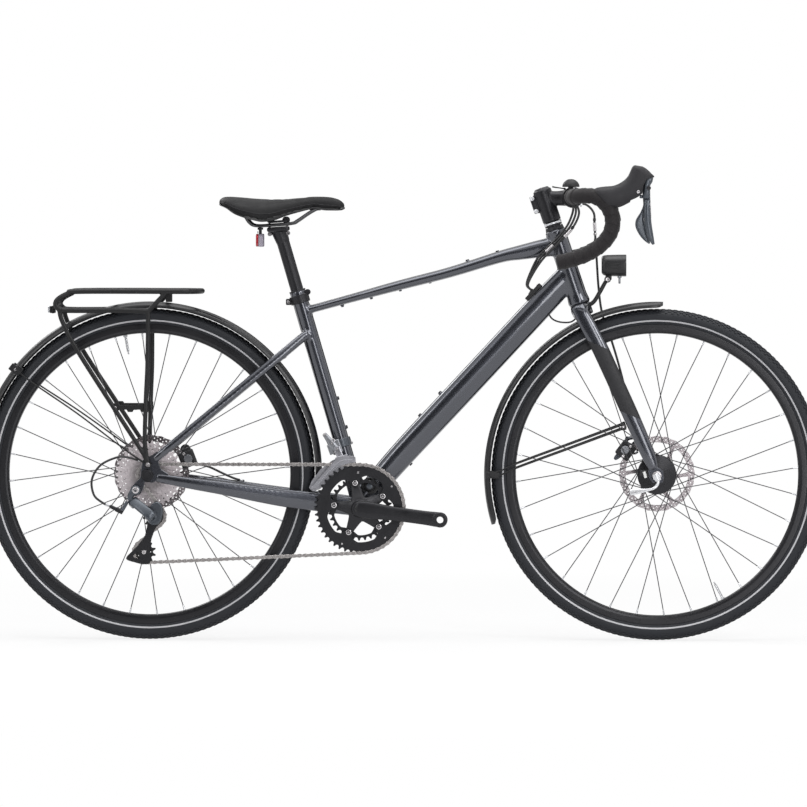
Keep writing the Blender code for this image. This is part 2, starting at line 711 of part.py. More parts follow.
def quick_release(name, centre, sign, carrier):
    """A cam lever beside the axle's end: a barrel on the hinge and a blade that curves back."""
    x, y, z = centre
    tip_x, tip_z = RELEASE_TIP
    hub = V(x, y, z)
    head = rod(name + "_head", hub - RELEASE_AXIS * (8.5 * MM), hub + RELEASE_AXIS * (8.5 * MM), 7.0, 12)
    path = curved([hub, V(x - 5, y + sign * 2, z - 16), V(x - 16, y + sign * 4, z - 28),
                   V(x - 40, y + sign * 3, z - 33), V(x + tip_x, y + sign * 1, z + tip_z)], 2)
    sizes = [(3.4, 4.6)] * 3 + [(2.8, 6.0)] * (len(path) - 5) + [(2.4, 6.5), (2.0, 4.0)]
    unite(head, sweep(name + "_blade", path, sizes, 8, 2.5))
    return node(name, head, "steel", carrier)


quick_release("front_release_lever", FRONT_RELEASE, -1, "front_quick_release")
quick_release("rear_release_lever", REAR_RELEASE, 1, "rear_quick_release")


# Drivetrain

def toothed(teeth, tip_over=2.2, root_under=4.0):
    """Outline of a chain wheel, two points per tooth."""
    middle = pitch_r(teeth)
    points = []
    for k in range(teeth):
        for part, radius in ((0.0, middle - root_under), (0.5, middle + tip_over)):
            angle = 2 * math.pi * (k + part) / teeth
            points.append((radius * math.cos(angle), radius * math.sin(angle)))
    return points


BOLT_ANGLES = [CRANK_ANGLE + math.radians(36 + 72 * k) for k in range(5)]


def ring_hole(outer, tab):
    """The inner outline of a chainring, with five tabs that reach in to the bolts."""
    points = []
    for angle in BOLT_ANGLES:
        for offset, radius in ((-16, outer), (-8, tab), (8, tab), (16, outer), (29, outer), (43, outer)):
            turned = angle + math.radians(offset)
            points.append((radius * math.cos(turned), radius * math.sin(turned)))
    return points


def bolt_holes(radius, count=6):
    return [circle(BOLT_CIRCLE_R * math.cos(a), BOLT_CIRCLE_R * math.sin(a), radius, count)
            for a in BOLT_ANGLES]


outer_ring = slab("chainring_outer", [toothed(RING_TEETH), ring_hole(71, 48.5)] + bolt_holes(5.4), 2.2,
                  facing(RING_Y, BB_X, BB_Z))
node("chainring_outer", outer_ring, "black_metal", "crankset")
inner_ring = slab("chainring_inner", [toothed(SMALL_RING_TEETH), ring_hole(56.5, 48.5)] + bolt_holes(5.4),
                  2.2, facing(SMALL_RING_Y, BB_X, BB_Z))
node("chainring_inner", inner_ring, "grey_metal", "crankset")

star = []
for angle in BOLT_ANGLES:
    for offset, radius in ((-8, 61.5), (8, 61.5), (17, 40), (36, 30), (55, 40)):
        turned = angle + math.radians(offset)
        star.append((radius * math.cos(turned), radius * math.sin(turned)))
right_crank = slab("crank_right", [star], 4.4, facing(SPIDER_Y, BB_X, BB_Z))
unite(right_crank, ydisc("hub_right", BB_X, BB_Z, -39.5, -66, 18, 14))
for angle in BOLT_ANGLES:
    bx = BB_X + BOLT_CIRCLE_R * math.cos(angle)
    bz = BB_Z + BOLT_CIRCLE_R * math.sin(angle)
    unite(right_crank, ydisc("ring_bolt", bx, bz, -38.6, -51.6, 4.4, 6))


def crank_arm(name, sign, y_hub, y_end):
    """One crank arm with its pedal eye, from the bottom bracket outward."""
    along = Vector((sign * math.cos(CRANK_ANGLE), 0, sign * math.sin(CRANK_ANGLE)))
    path, sizes = [], []
    for t, half_y, half_up in ((0.0, 7.5, 17), (0.18, 7.5, 15), (0.45, 7.0, 12.5), (0.8, 6.5, 12),
                               (0.97, 6.5, 13), (1.05, 6.0, 10)):
        point = V(BB_X, y_hub + (y_end - y_hub) * t, BB_Z) + along * (CRANK_LENGTH * t * MM)
        path.append(point)
        sizes.append((half_y, half_up))
    arm = sweep(name, path, sizes, 10, 3.0)
    ex = BB_X + sign * CRANK_LENGTH * math.cos(CRANK_ANGLE)
    ez = BB_Z + sign * CRANK_LENGTH * math.sin(CRANK_ANGLE)
    eye = ydisc(name + "_eye", ex, ez, y_end - 6.8, y_end + 6.8, 14, 12)
    hole = ydisc(name + "_hole", ex, ez, y_end - 20, y_end + 20, 7.15, 10)
    return arm, eye, hole


arm, eye, hole = crank_arm("arm_right", 1, -61.5, -70.5)
unite(right_crank, arm, eye)
cut(right_crank, hole, ydisc("spindle_socket", BB_X, BB_Z, -30, -60, 8.9, 12))
node("crank_right", right_crank, "black_metal", "crankset")
left_crank, eye, hole = crank_arm("crank_left", -1, 57.0, 70.5)
unite(left_crank, eye, ydisc("hub_left", BB_X, BB_Z, 39, 66, 17, 14),
      ydisc("spindle", BB_X, BB_Z, -59.5, 45, SPINDLE_R, 12))
cut(left_crank, hole)
node("crank_left", left_crank, "black_metal", "crankset")

cassette = ydisc("cassette", 0, WHEEL_R, COG_Y - 3.6, COG_Y + 7 * COG_STEP + 1.5, 17.5, 12)
for k, teeth in enumerate(COG_TEETH):
    y = COG_Y + k * COG_STEP
    outline = toothed(teeth) if k == 0 else circle(0, 0, pitch_r(teeth) + 1.5, 12)
    unite(cassette, slab("cog", [outline], 1.8, facing(y, 0, WHEEL_R)))
cut(cassette, ydisc("cassette_bore", 0, WHEEL_R, -75, -20, bore_r(AXLE_R, 12), 12))
node("cassette", cassette, "steel", "freewheel")


def belt():
    """The chain's route: (x, y, z, sense) points, with sense 0 between the wheels.

    The wheels are visited in the chain's own direction: ring, tension pulley, guide pulley, cog.
    A wheel's sense is +1 where it turns clockwise seen from the drive side.
    """
    ring_r, cog_r, pulley_r = pitch_r(RING_TEETH), pitch_r(COG_TEETH[0]), pitch_r(PULLEY_TEETH)
    wheels = [(BB_X, BB_Z, ring_r, 1, 14), (*TENSION, pulley_r, 1, 8), (*GUIDE, pulley_r, -1, 5),
              (0.0, WHEEL_R, cog_r, 1, 8)]
    side = [RING_Y, COG_Y, COG_Y, COG_Y]
    leaving, arriving = [], []
    for i, (x0, z0, r0, s0, _) in enumerate(wheels):
        x1, z1, r1, s1, _ = wheels[(i + 1) % 4]
        dx, dz = x1 - x0, z1 - z0
        length = math.hypot(dx, dz)
        dx, dz = dx / length, dz / length
        k = (s0 * r0 - s1 * r1) / length
        q = math.sqrt(1 - k * k)
        nx, nz = k * dx - q * dz, k * dz + q * dx
        leaving.append(math.atan2(s0 * nz, s0 * nx))
        arriving.append(math.atan2(s1 * nz, s1 * nx))
    found = []
    for i, (x, z, r, sense, steps) in enumerate(wheels):
        start, end = arriving[i - 1], leaving[i]
        sweep_angle = (start - end) % (2 * math.pi) if sense > 0 else (end - start) % (2 * math.pi)
        for k in range(steps + 1):
            angle = start - sense * sweep_angle * k / steps
            found.append((x + r * math.cos(angle), side[i], z + r * math.sin(angle), sense))
        x0, z0 = x + r * math.cos(end), z + r * math.sin(end)
        nx, nz, nr, _, _ = wheels[(i + 1) % 4]
        x1, z1 = nx + nr * math.cos(arriving[i]), nz + nr * math.sin(arriving[i])
        rest = 1 if i in (1, 2) else 2
        for k in range(1, rest + 1):
            t = k / (rest + 1)
            y = side[i] + (side[(i + 1) % 4] - side[i]) * t
            found.append((x0 + (x1 - x0) * t, y, z0 + (z1 - z0) * t, 0))
    return found


def chain():
    """The chain as one ribbon with a channel on each face, deep on the side of the wheel it runs on."""
    route = belt()
    rings = []
    half, slot = 3.2, 2.1
    count = len(route)
    for i, (x, y, z, sense) in enumerate(route):
        px, _, pz, _ = route[i - 1]
        nx, _, nz, _ = route[(i + 1) % count]
        length = math.hypot(nx - px, nz - pz)
        ux, uz = (nx - px) / length, (nz - pz) / length
        out = Vector((-uz, 0, ux))
        inner, outer = ((-3.9, -3.1), (-1.2, 1.2), (3.1, 3.9))[sense + 1]
        top, bottom = 4.2, -4.2
        centre = V(x, y, z)
        section = ((half, top), (slot, top), (slot, outer), (-slot, outer), (-slot, top), (-half, top),
                   (-half, bottom), (-slot, bottom), (-slot, inner), (slot, inner), (slot, bottom),
                   (half, bottom))
        rings.append([centre + Y_AXIS * (a * MM) + out * (b * MM) for a, b in section])
    return loft("chain", rings, looped=True)


node("chain", chain(), "chain_metal")


# Rear derailleur

RD_LINK = (RD_B - RD_A).normalized()
RD_OUT = RD_AXIS.cross(RD_LINK) * -1
HANGER = (-24.0, 318.0)


def along_axis(name, centre, start, end, radius, count=8):
    """A cylinder on the derailleur's link axis through this centre."""
    return rod(name, V(*(centre + RD_AXIS * start)), V(*(centre + RD_AXIS * end)), radius, count)


cut(frame, ydisc("hanger_bore", *HANGER, -60, -80, bore_r(5.0, 12), 12))
mount = sweep("mount", [V(-24, -81.5, 318), V(-31, -81.5, 312), V(-36, -80.5, 303), V(-33.5, -79.4, 297),
                        V(*RD_A)],
              [(5.5, 9), (5.5, 7), (4.6, 5), (3.6, 4.6), (3.6, 4.0)], 10, 2.4)
unite(mount, ydisc("mount_head", *HANGER, -75.4, -87.5, 10, 12),
      ydisc("hanger_bolt", *HANGER, -68.5, -78, 5, 8),
      along_axis("mount_barrel", RD_A, -5.8, 5.8, 5.2), along_axis("mount_pin", RD_A, -11.5, 11.5, 2.6),
      rod("cable_arm", V(-37.5, -81.5, 303), V(-54.5, -82, 272), 4.0, 8),
      rod("cable_adjuster", V(-51, -82, 271), V(-78, -82, 284), 4.6, 8))
node("rear_derailleur_mount", mount, "grey_metal")

turn = Matrix((RD_LINK, RD_AXIS, RD_OUT)).transposed()
middle = (RD_A + RD_B) / 2 + RD_OUT * 7.6
link = box("link", V(*middle), ((RD_B - RD_A).length + 9, 21.5, 3.2), turn)
for centre in (RD_A, RD_B):
    for start, end in ((-11, -6.2), (6.2, 11)):
        unite(link, along_axis("link_ear", centre, start, end, 7.3))
for centre in (RD_A, RD_B):
    cut(link, along_axis("link_bore", centre, -14, 14, bore_r(2.6, 8)))
node("rear_derailleur_link", link, "grey_metal", "rear_changer_link")

inward = Vector((GUIDE[0], -80.0, GUIDE[1])) - RD_B
inward -= RD_AXIS * inward.dot(RD_AXIS)
knuckle = sweep("knuckle", [V(GUIDE[0], -75, GUIDE[1]), V(*(RD_B + inward * 0.72)), V(*RD_B)],
                [(6, 6), (4.6, 5.0), (4.6, 4.6)], 8, 2.4, first=RD_AXIS)
unite(knuckle, ydisc("knuckle_body", *GUIDE, -66.6, -79.5, 13.5, 14),
      along_axis("knuckle_barrel", RD_B, -5.8, 5.8, 5.2), along_axis("knuckle_pin", RD_B, -11.5, 11.5, 2.6))
cut(knuckle, ydisc("cage_socket", *GUIDE, -60, -76, bore_r(4.2, 12), 12))
node("rear_derailleur_knuckle", knuckle, "grey_metal", "rear_changer_knuckle")


def cage_plate(name, y, top_r, low_r, tail=()):
    """A side plate of the derailleur cage, round at the guide pulley and ending in a tail or round."""
    gx, gz = GUIDE
    tx, tz = TENSION
    tilt = math.atan2(gz - tz, gx - tx)
    outline = []
    for k in range(7):
        a = tilt - math.pi / 2 + math.pi * k / 6
        outline.append((gx + top_r * math.cos(a), gz + top_r * math.sin(a)))
    waist = 0.5
    nx, nz = -math.sin(tilt), math.cos(tilt)
    wx, wz = gx + (tx - gx) * waist, gz + (tz - gz) * waist
    outline.append((wx + nx * 6.5, wz + nz * 6.5))
    if tail:
        outline += [(tx + dx, tz + dz) for dx, dz in tail]
    else:
        for k in range(7):
            a = tilt + math.pi / 2 + math.pi * k / 6
            outline.append((tx + low_r * math.cos(a), tz + low_r * math.sin(a)))
    outline.append((wx - nx * 6.5, wz - nz * 6.5))
    return slab(name, [outline], 1.5, facing(y))


CAGE_TAIL = [(-14, 12), (-35, -8), (-38, -15), (-6, -25.5), (8, -26), (14, -22), (16, -8)]
cage = cage_plate("cage", COG_Y - 5.7, 14, 9, CAGE_TAIL)
unite(cage, cage_plate("cage_inner", COG_Y + 5.7, 10, 9),
      ydisc("guide_bolt", *GUIDE, COG_Y - 6.2, COG_Y + 6.2, 3.0, 12),
      ydisc("tension_bolt", *TENSION, COG_Y - 7.6, COG_Y + 7.0, 3.0, 12),
      ydisc("cage_pivot", *GUIDE, COG_Y - 6.2, -75.5, 4.2, 12))
node("rear_derailleur_cage", cage, "black_metal", "rear_changer_cage")
for name, (x, z) in (("guide_pulley", GUIDE), ("tension_pulley", TENSION)):
    pulley = slab(name, [toothed(PULLEY_TEETH)], 2.2, facing(COG_Y, x, z))
    unite(pulley, ydisc("pulley_hub", x, z, COG_Y - 4.4, COG_Y + 4.4, 8, 12))
    cut(pulley, ydisc("pulley_bore", x, z, COG_Y - 9, COG_Y + 9, bore_r(3.0, 12), 12))
    node(name, pulley, "black_plastic", name)


# Front derailleur

def polar(points):
    """Points given as (degrees, radius) about the bottom bracket."""
    return [(BB_X + r * math.cos(math.radians(a)), BB_Z + r * math.sin(math.radians(a))) for a, r in points]


outer_plate = [(99, 98), (99, 105), (103, 111), (110, 115), (120, 117), (135, 117), (150, 117), (158, 116),
               (160, 108), (155, 102), (140, 98.5), (125, 98.2), (110, 98)]
inner_plate = [(101, 96), (101, 106), (104, 112), (110, 116), (120, 117), (135, 117), (150, 117), (158, 116),
               (160, 106), (154, 94), (140, 88), (125, 88), (110, 91)]
bridge = [(103, 112.5), (103, 117), (110, 118.5), (116, 118.5), (116, 115.5), (110, 114)]
changer = slab("changer", [polar(outer_plate)], 1.4, facing(-56.4))
unite(changer, slab("inner_plate", [polar(inner_plate)], 1.4, facing(-42.6)),
      slab("bridge", [polar(bridge)], 14.2, facing(-49.5)),
      ydisc("tail_bolt", *polar([(156, 110)])[0], -57.4, -41.6, 2.6, 10),
      sweep("changer_arm", [V(404, -42.4, 388), V(400, -40.5, 397), V(397, -39.5, 408)],
            [(1.6, 7), (1.6, 7), (1.6, 6)], 8, 3.0))
cut(changer, ydisc("changer_bore", *CHANGER_PIN, -30, -50, bore_r(2.0, 8), 8))
node("front_derailleur_cage", changer, "steel", "front_changer")

band = rod("band", seat_axis(407), seat_axis(423), SEAT_TUBE_R + 3.6, 12)
unite(band, box("changer_body", V(389, -24, 412), (34, 9.5, 38), Matrix.Rotation(-0.35, 3, "Y")),
      box("changer_link", V(383, -27.6, 402), (12, 2.6, 20), Matrix.Rotation(-0.35, 3, "Y")),
      ydisc("changer_pin", *CHANGER_PIN, -25, -43, 2.0, 8))
cut(band, rod("band_bore", seat_axis(380), seat_axis(450), bore_r(SEAT_TUBE_R, 12), 12))
node("front_derailleur_body", band, "grey_metal")


# Brakes

def caliper(which, name, carrier, stop, lift):
    """A caliper over its rotor, with the cable's stop on its outer face."""
    (x, z), angle, rotor_y, arm_y = CALIPERS[which]
    spin = Matrix.Rotation(-angle, 3, "Y")
    cx, cz = caliper_point(which, 82.0)
    inner, outer = rotor_y - 12, arm_y - 2.6
    made = box(name, V(cx, (inner + outer) / 2, cz), (34, outer - inner, 36), spin)
    gx, gz = caliper_point(which, 66.0)
    px, pz = caliper_point(which, *ARM_PIVOTS[which])
    kx, kz = caliper_point(which, 84.0)
    stop_x, stop_z, stop_y = stop
    unite(made, ydisc(name + "_drum", px, pz, outer - 4, arm_y - 0.4, 11.5, 14),
          ydisc(name + "_knob", kx, kz, inner - 3.5, inner + 3, 9, 12),
          ydisc(name + "_pin", px, pz, arm_y - 2, arm_y + 4.5, 3.5, 10),
          rod(name + "_adjuster", V(stop_x, stop_y, stop_z), V(stop_x - 9, stop_y, stop_z + lift), 4.0, 8))
    cut(made, box(name + "_slot", V(gx, rotor_y, gz), (36, ROTOR_T + 1.2, 80), spin))
    return node(name, made, "black_metal", carrier)


def brake_arm(which, name, carrier, lean):
    """The arm that the cable pulls, on the caliper's outer face."""
    _, _, _, arm_y = CALIPERS[which]
    px, pz = caliper_point(which, *ARM_PIVOTS[which])
    a = math.radians(lean)
    ux, uz = math.cos(a), math.sin(a)
    outline = []
    for t, w in ((0, 8.5), (12, 6.5), (26, 4.5), (31, 2.5)):
        outline.append((t * ux - w * uz, t * uz + w * ux))
    for t, w in ((31, 2.5), (26, 4.5), (12, 6.5), (0, 8.5), (-7, 4.5)):
        outline.append((t * ux + w * uz, t * uz - w * ux))
    outline.append((-7 * ux - 4.5 * uz, -7 * uz + 4.5 * ux))
    made = slab(name, [outline], 3.0, facing(arm_y + 1.6, px, pz))
    unite(made, ydisc(name + "_clamp", px + 26 * ux, pz + 26 * uz, arm_y + 0.2, arm_y + 6.0, 3.6, 10))
    cut(made, ydisc(name + "_bore", px, pz, arm_y - 10, arm_y + 12, bore_r(3.5, 10), 10))
    return node(name, made, "grey_metal", carrier)


FRONT_STOP = (WHEELBASE - 51.5, 391.0, 57.0)
REAR_STOP = (97.0, 366.5, 69.5)
caliper("front", "front_caliper", "steering", FRONT_STOP, -3.0)
caliper("rear", "rear_caliper", None, REAR_STOP, 2.5)
brake_arm("front", "front_caliper_arm", "front_brake_arm", 223)
brake_arm("rear", "rear_caliper_arm", "rear_brake_arm", 262)


# Mudguards

def guard(name, x, z, start, end, steps):
    """A mudguard: a thin curved channel over the tyre, between two angles in degrees."""
    drop, t = GUARD_OUT_R - 12.0, 1.6
    section = ((-GUARD_HALF, drop), (-GUARD_HALF + 9, GUARD_OUT_R), (GUARD_HALF - 9, GUARD_OUT_R),
               (GUARD_HALF, drop), (GUARD_HALF - t, drop), (GUARD_HALF - 9 - t / 2, GUARD_OUT_R - t),
               (-GUARD_HALF + 9 + t / 2, GUARD_OUT_R - t), (-GUARD_HALF + t, drop))
    rings = []
    for k in range(steps + 1):
        a = math.radians(start + (end - start) * k / steps)
        rings.append([V(x + r * math.cos(a), y, z + r * math.sin(a)) for y, r in section])
    return loft(name, rings)


def on_guard(x, z, angle, radius, y=0.0):
    a = math.radians(angle)
    return V(x + radius * math.cos(a), y, z + radius * math.sin(a))


front_guard = guard("front_guard", *FRONT_AXLE, 88, 197, 14)
for sign in (-1, 1):
    pad = box("stay_pad", ahead(-346, sign * (GUARD_HALF + 0.6), 348), (30, 4.0, 14))
    unite(front_guard, pad)
    for dz in (4.5, -4.5):
        stay = [ahead(-355, sign * (GUARD_HALF + 1.4), 348 + dz * 0.8),
                ahead(-333, sign * (GUARD_HALF + 2.6), 351.5 + dz),
                ahead(-292, sign * 31, 369 + dz), ahead(-70, sign * 51, 451.6 + dz)]
        unite(front_guard, wire("front_stay", stay, 1.8, 1, 0))
    unite(front_guard, box("stay_shoe", ahead(-70, sign * 51, 451), (7, 5, 14)))
unite(front_guard,
      rod("guard_post", on_guard(*FRONT_AXLE, 115.6, GUARD_OUT_R - 1.2), ahead(-159.5, 0, 682.0), 6, 6))
node("front_fender", front_guard, "black_plastic", "steering")

EYELET = (2.0, 371.0)
rear_guard = guard("rear_guard", *REAR_AXLE, -4, 188, 23)
for sign in (-1, 1):
    pad = box("stay_pad", on_guard(*REAR_AXLE, 142, GUARD_OUT_R - 6, sign * (GUARD_HALF + 0.6)),
              (26, 4.0, 16), Matrix.Rotation(0.66, 3, "Y"))
    unite(rear_guard, pad)
    stay = [on_guard(*REAR_AXLE, 142, GUARD_OUT_R - 2, sign * (GUARD_HALF + 1.4)), V(-240, sign * 30, 538),
            V(-60, sign * 69, 412), V(-20, sign * 76.4, 384), V(0, sign * 76.45, 371.5)]
    unite(rear_guard, sweep("rear_stay", stay, [1.8, 1.8, 1.8, (1.3, 2.2), (1.15, 2.2)], 6),
          ydisc("stay_eye", *EYELET, sign * 75.3, sign * 77.6, 5.5, 10))
    cut(rear_guard, ydisc("eye_bore", *EYELET, sign * 70, sign * 82, bore_r(2.5, 8), 8))
tab = rod("bridge_tab", on_guard(*REAR_AXLE, 41.5, GUARD_OUT_R - 1.2),
          on_guard(*REAR_AXLE, 41.5, GUARD_OUT_R + 3.0), 6, 6)
unite(rear_guard, tab)
node("rear_fender", rear_guard, "black_plastic")


# Rear rack

top_z, low_z = 735.0, 695.0
half_loop = [V(2, -RACK_HALF, low_z - 2), V(-60, -RACK_HALF, low_z), V(-172, -RACK_HALF, low_z),
             V(-188, -RACK_HALF, low_z + 4), V(-194, -RACK_HALF, low_z + 13),
             V(-188, -RACK_HALF, low_z + 24), V(-168, -RACK_HALF, top_z - 5),
             V(-145, -RACK_HALF, top_z), V(60, -RACK_HALF, top_z),
             V(88, -RACK_HALF + 7, top_z), V(104, -RACK_HALF + 24, top_z), V(110, -RACK_HALF + 44, top_z)]
rack_path = half_loop + [Vector((p.x, -p.y, p.z)) for p in reversed(half_loop)]
rack = sweep("rack", rack_path, RACK_TUBE_R, 6)
for x in (41.0, -80.0):
    unite(rack, rod("rack_cross", V(x, -RACK_HALF, top_z), V(x, RACK_HALF, top_z), RACK_TUBE_R - 0.8, 6))
unite(rack, rod("rack_tail", V(-192, -RACK_HALF, low_z + 8), V(-192, RACK_HALF, low_z + 8),
                RACK_TUBE_R - 1.5, 6),
      box("tail_plate", V(-203, 0, low_z + 1), (5, 52, 16)),
      box("tail_tab", V(-197, 0, low_z + 4), (12, 16, 6)),
      box("guard_block", V(41, 0, 721.5), (13, 20, 19.5)))
for sign in (-1, 1):
    diagonal = [V(-186, sign * RACK_HALF, low_z + 3), V(-180, sign * 59, 672), V(-150, sign * 62, 614),
                V(-10, sign * 78, 397), V(0, sign * 80, 376)]
    upright = [V(1, sign * RACK_HALF, low_z), V(1, sign * 60, 652), V(-3, sign * 71, 505),
               V(-5, sign * 77.5, 420), V(1, sign * 80, 374)]
    unite(rack, rod("rack_slope", V(0, sign * RACK_HALF, low_z - 3), V(40, sign * RACK_HALF, top_z - 1),
                    RACK_TUBE_R - 0.6, 6),
          sweep("rack_diagonal", diagonal, [5.0, 5.0, 5.0, 4.6, (2.0, 4.5)], 6),
          sweep("rack_upright", upright, [5.0, 5.0, 5.0, 4.6, (2.0, 4.5)], 6),
          box("rack_plate", V(-35, sign * 71.5, 491), (74, 2.6, 18)),
          ydisc("rack_foot", *EYELET, sign * 77.95, sign * 82, 7, 8),
          ydisc("rack_bolt", *EYELET, sign * 68.5, sign * 84.5, 2.5, 8),
          ydisc("rack_bolt_head", *EYELET, sign * 81.5, sign * 85, 4.5, 6))
    cut(frame, ydisc("eyelet_bore", *EYELET, sign * 60, sign * 79, bore_r(2.5, 8), 8))
node("rear_rack", rack, "black_metal")


# Seatpost and saddle

post = rod("post", seat_axis(SEAT_TOP_Z - 150), seat_axis(858), POST_R, 14)
tilt = Matrix.Rotation(math.radians(-4), 3, "Y")
unite(post, box("cradle", V(272, 0, 865.6), (46, 54, 10), tilt),
      box("yoke", V(272, 0, 881.6), (40, 54, 5), tilt),
      rod("front_bolt", V(292, 0, 855), V(290.5, 0, 888.5), 3.2, 6),
      rod("rear_bolt", V(254, 0, 852), V(252.5, 0, 886), 3.2, 6),
      rod("yoke_neck", seat_axis(838), V(272, 0, 866), 14.5, 12, 17))
node("seatpost", post, "black_metal", "seatpost")

SADDLE = [  # (x, half width, top z, side edge z)
    (148.0, 22.0, 923.5, 919.0), (153.0, 48.0, 932.0, 915.5), (166.0, 66.0, 934.5, 911.5),
    (182.0, 73.0, 934.0, 901.0), (202.0, 74.0, 932.0, 893.0), (222.0, 70.0, 930.2, 887.5),
    (240.0, 62.0, 929.2, 884.0), (262.0, 50.0, 929.0, 887.0), (286.0, 38.5, 930.0, 896.0),
    (312.0, 29.5, 932.5, 903.5), (340.0, 23.5, 934.2, 908.5), (366.0, 20.5, 935.2, 909.5),
    (388.0, 19.0, 934.5, 908.5), (403.0, 16.5, 930.0, 908.0), (411.5, 9.5, 922.5, 909.5)]


def saddle_ring(x, half, top, edge):
    """A saddle section: crowned top, drawn-in lower sides, hollowed underside."""
    ring = []
    deep = max(2.5, min(top - edge - 17.0, 26.0))
    for k in range(13):
        a = math.pi * k / 12
        c, s = math.cos(a), math.sin(a)
        dip = 1.6 * math.exp(-(c * half / 9.0) ** 2) if half > 26 else 0.0
        ring.append(V(x, half * math.copysign(abs(c) ** 0.86, c), edge + (top - edge) * s ** 0.62 - dip))
    for k in range(7):
        a = math.pi * (1 - k / 6)
        c, s = math.cos(a), math.sin(a)
        ring.append(V(x, (half - 5.5) * c * 0.97, edge - 0.8 + deep * s ** 0.7))
    return ring


node("saddle", loft("saddle", [saddle_ring(*row) for row in SADDLE]), "saddle_cover", "seatpost")

rail_half = [V(198, -33, 907.9), V(203, -31, 895), V(212, -27, 880), V(226, -22.5, 872.8),
             V(262, -22, 874.2), V(301, -22, 877.6), V(313, -20.5, 883), V(335, -16, 898),
             V(351, -11, 907.0), V(359, -4, 908.2)]
rail_path = rail_half + [Vector((p.x, -p.y, p.z)) for p in reversed(rail_half)]
node("saddle_rails", sweep("saddle_rails", rail_path, 3.5, 8), "black_metal", "seatpost")

reflector = box("reflector", V(233.5, 0, 842), (16, 44, 25))
unite(reflector, box("reflector_stem", V(234, 0, 861), (6, 12, 16)),
      box("reflector_bar", V(234, 0, 866.4), (9, 54, 4.6)))
node("rear_reflector", reflector, "red_reflector", "seatpost")


# Fork

fork = rod("fork", steer(372), steer(642), STEERER_R, 14)
crown = sweep("crown", [ahead(-165, -36, 690), ahead(-161, -24, 697), ahead(-159, -8, 699),
                        ahead(-159, 8, 699), ahead(-161, 24, 697), ahead(-165, 36, 690)],
              [(17, 13), (18, 13.5), (18, 14), (18, 14), (18, 13.5), (17, 13)],
              10, 2.6, first=X_AXIS)
cut(crown, rod("crown_top", steer(HEAD_BOTTOM - 6.4), steer(HEAD_BOTTOM + 40), 60, 8))
unite(fork, crown, rod("crown_race", steer(372), steer(HEAD_BOTTOM - 6.5), HEAD_R + 0.5, 12))
for sign in (-1, 1):
    leg = frame_tube("leg", [
        (WHEELBASE - 167, sign * 32, 703, 8, 14), (WHEELBASE - 146, sign * 37.5, 664, 9, 17),
        (WHEELBASE - 123, sign * 41.5, 621, 9, 16.6), (WHEELBASE - 98.5, sign * 45, 567.5, 8.7, 16),
        (WHEELBASE - 57, sign * 50.5, 474.7, 8, 15), (WHEELBASE - 25, sign * 54, 399, 6.5, 12),
        (WHEELBASE - 13, sign * 54.6, 372, 4.4, 10), (WHEELBASE - 8, sign * 54.6, 361, 3.8, 8)], 8, 2.3)
    tip = slab("fork_tip", [[(-18, 10), (-12, 20), (2, 16), (12, 9), (14, -4), (10, -14), (-9, -14),
                             (-15, -4)]],
               6.4, facing(sign * (FRONT_HALF + 3.5), *FRONT_AXLE))
    slot = box("tip_slot", V(WHEELBASE, sign * 53.5, WHEEL_R - 12), (10.9, 12, 24))
    seat = ydisc("tip_seat", *FRONT_AXLE, sign * 46, sign * 62, bore_r(AXLE_R, 12, 0.4), 12)
    unite(fork, leg, tip)
    cut(fork, slot, seat)
lamp_arm = sweep("lamp_arm", [ahead(-152, 0, 702), ahead(-134, 0, 712), ahead(-120, 0, 734),
                              ahead(-110, 0, 752), V(LAMP_PIVOT[0], 0, LAMP_PIVOT[1])],
                 [(8, 3), (8, 3), (6, 3), (4, 3), (4, 3)], 8, 3.0)
unite(fork, lamp_arm, ydisc("lamp_eye", *LAMP_PIVOT, -4, 4, 7, 12),
      ydisc("lamp_pin", *LAMP_PIVOT, -11, 11, 2.6, 10))
for cx, cz in (caliper_point("front", 76.0, -21.4), caliper_point("front", 94.0, -21.4)):
    unite(fork, rod("caliper_post", V(cx, FRONT_ROTOR_Y + 9, cz),
                    V(cx + 16, FRONT_ROTOR_Y + 12, cz + 3), 4.0, 6))
node("fork", fork, "frame_paint", "steering")

lamp = loft("lamp", [oval(ahead(x, 0, 789 + dz), Y_AXIS, Z_AXIS, r, r * 0.92, 12, 2.3)
                     for x, r, dz in ((-116.5, 13, 2), (-112, 18.5, 1), (-100, 23, 0), (-67, 25, 0),
                                      (-64.5, 23.5, 0), (-66, 20, 0))])
for sign in (-1, 1):
    unite(lamp, ydisc("lamp_ear", *LAMP_PIVOT, sign * 4.4, sign * 8.2, 7, 12),
          box("lamp_tab", ahead(-102, sign * 6.3, 766), (13, 3.8, 14)))
cut(lamp, ydisc("lamp_bore", *LAMP_PIVOT, -20, 20, bore_r(2.6, 10), 10))
node("headlight", lamp, "black_plastic", "headlight")


# Stem and handlebar

stem = rod("stem", steer(HEAD_TOP + 9.5), steer(602), STEERER_R + 3.4, 14)
unite(stem, rod("stem_clamp", steer(601), steer(645), STEERER_R + 4.6, 14),
      rod("stem_cap", steer(644), steer(649.5), 16.5, 14))
stem_body = sweep("stem_body", [steer(623), ahead(-215, 0, 929.5), V(*BAR_CENTRE[:1], 0, BAR_CENTRE[1])],
                  [(16.5, 17.5), (15.5, 15.5), (18, 17)], 10, 2.8)
unite(stem, stem_body, ydisc("bar_clamp", *BAR_CENTRE, -22, 22, 22.5, 14),
      box("stem_ear", steer(623, -18), (14, 15, 32), Matrix.Rotation(-(math.pi / 2 - HEAD_ANGLE), 3, "Y")))
cut(stem, rod("stem_bore", steer(540), steer(643), bore_r(STEERER_R, 14), 14),
    ydisc("bar_bore", *BAR_CENTRE, -40, 40, bore_r(BAR_CLAMP_R, 12), 12))
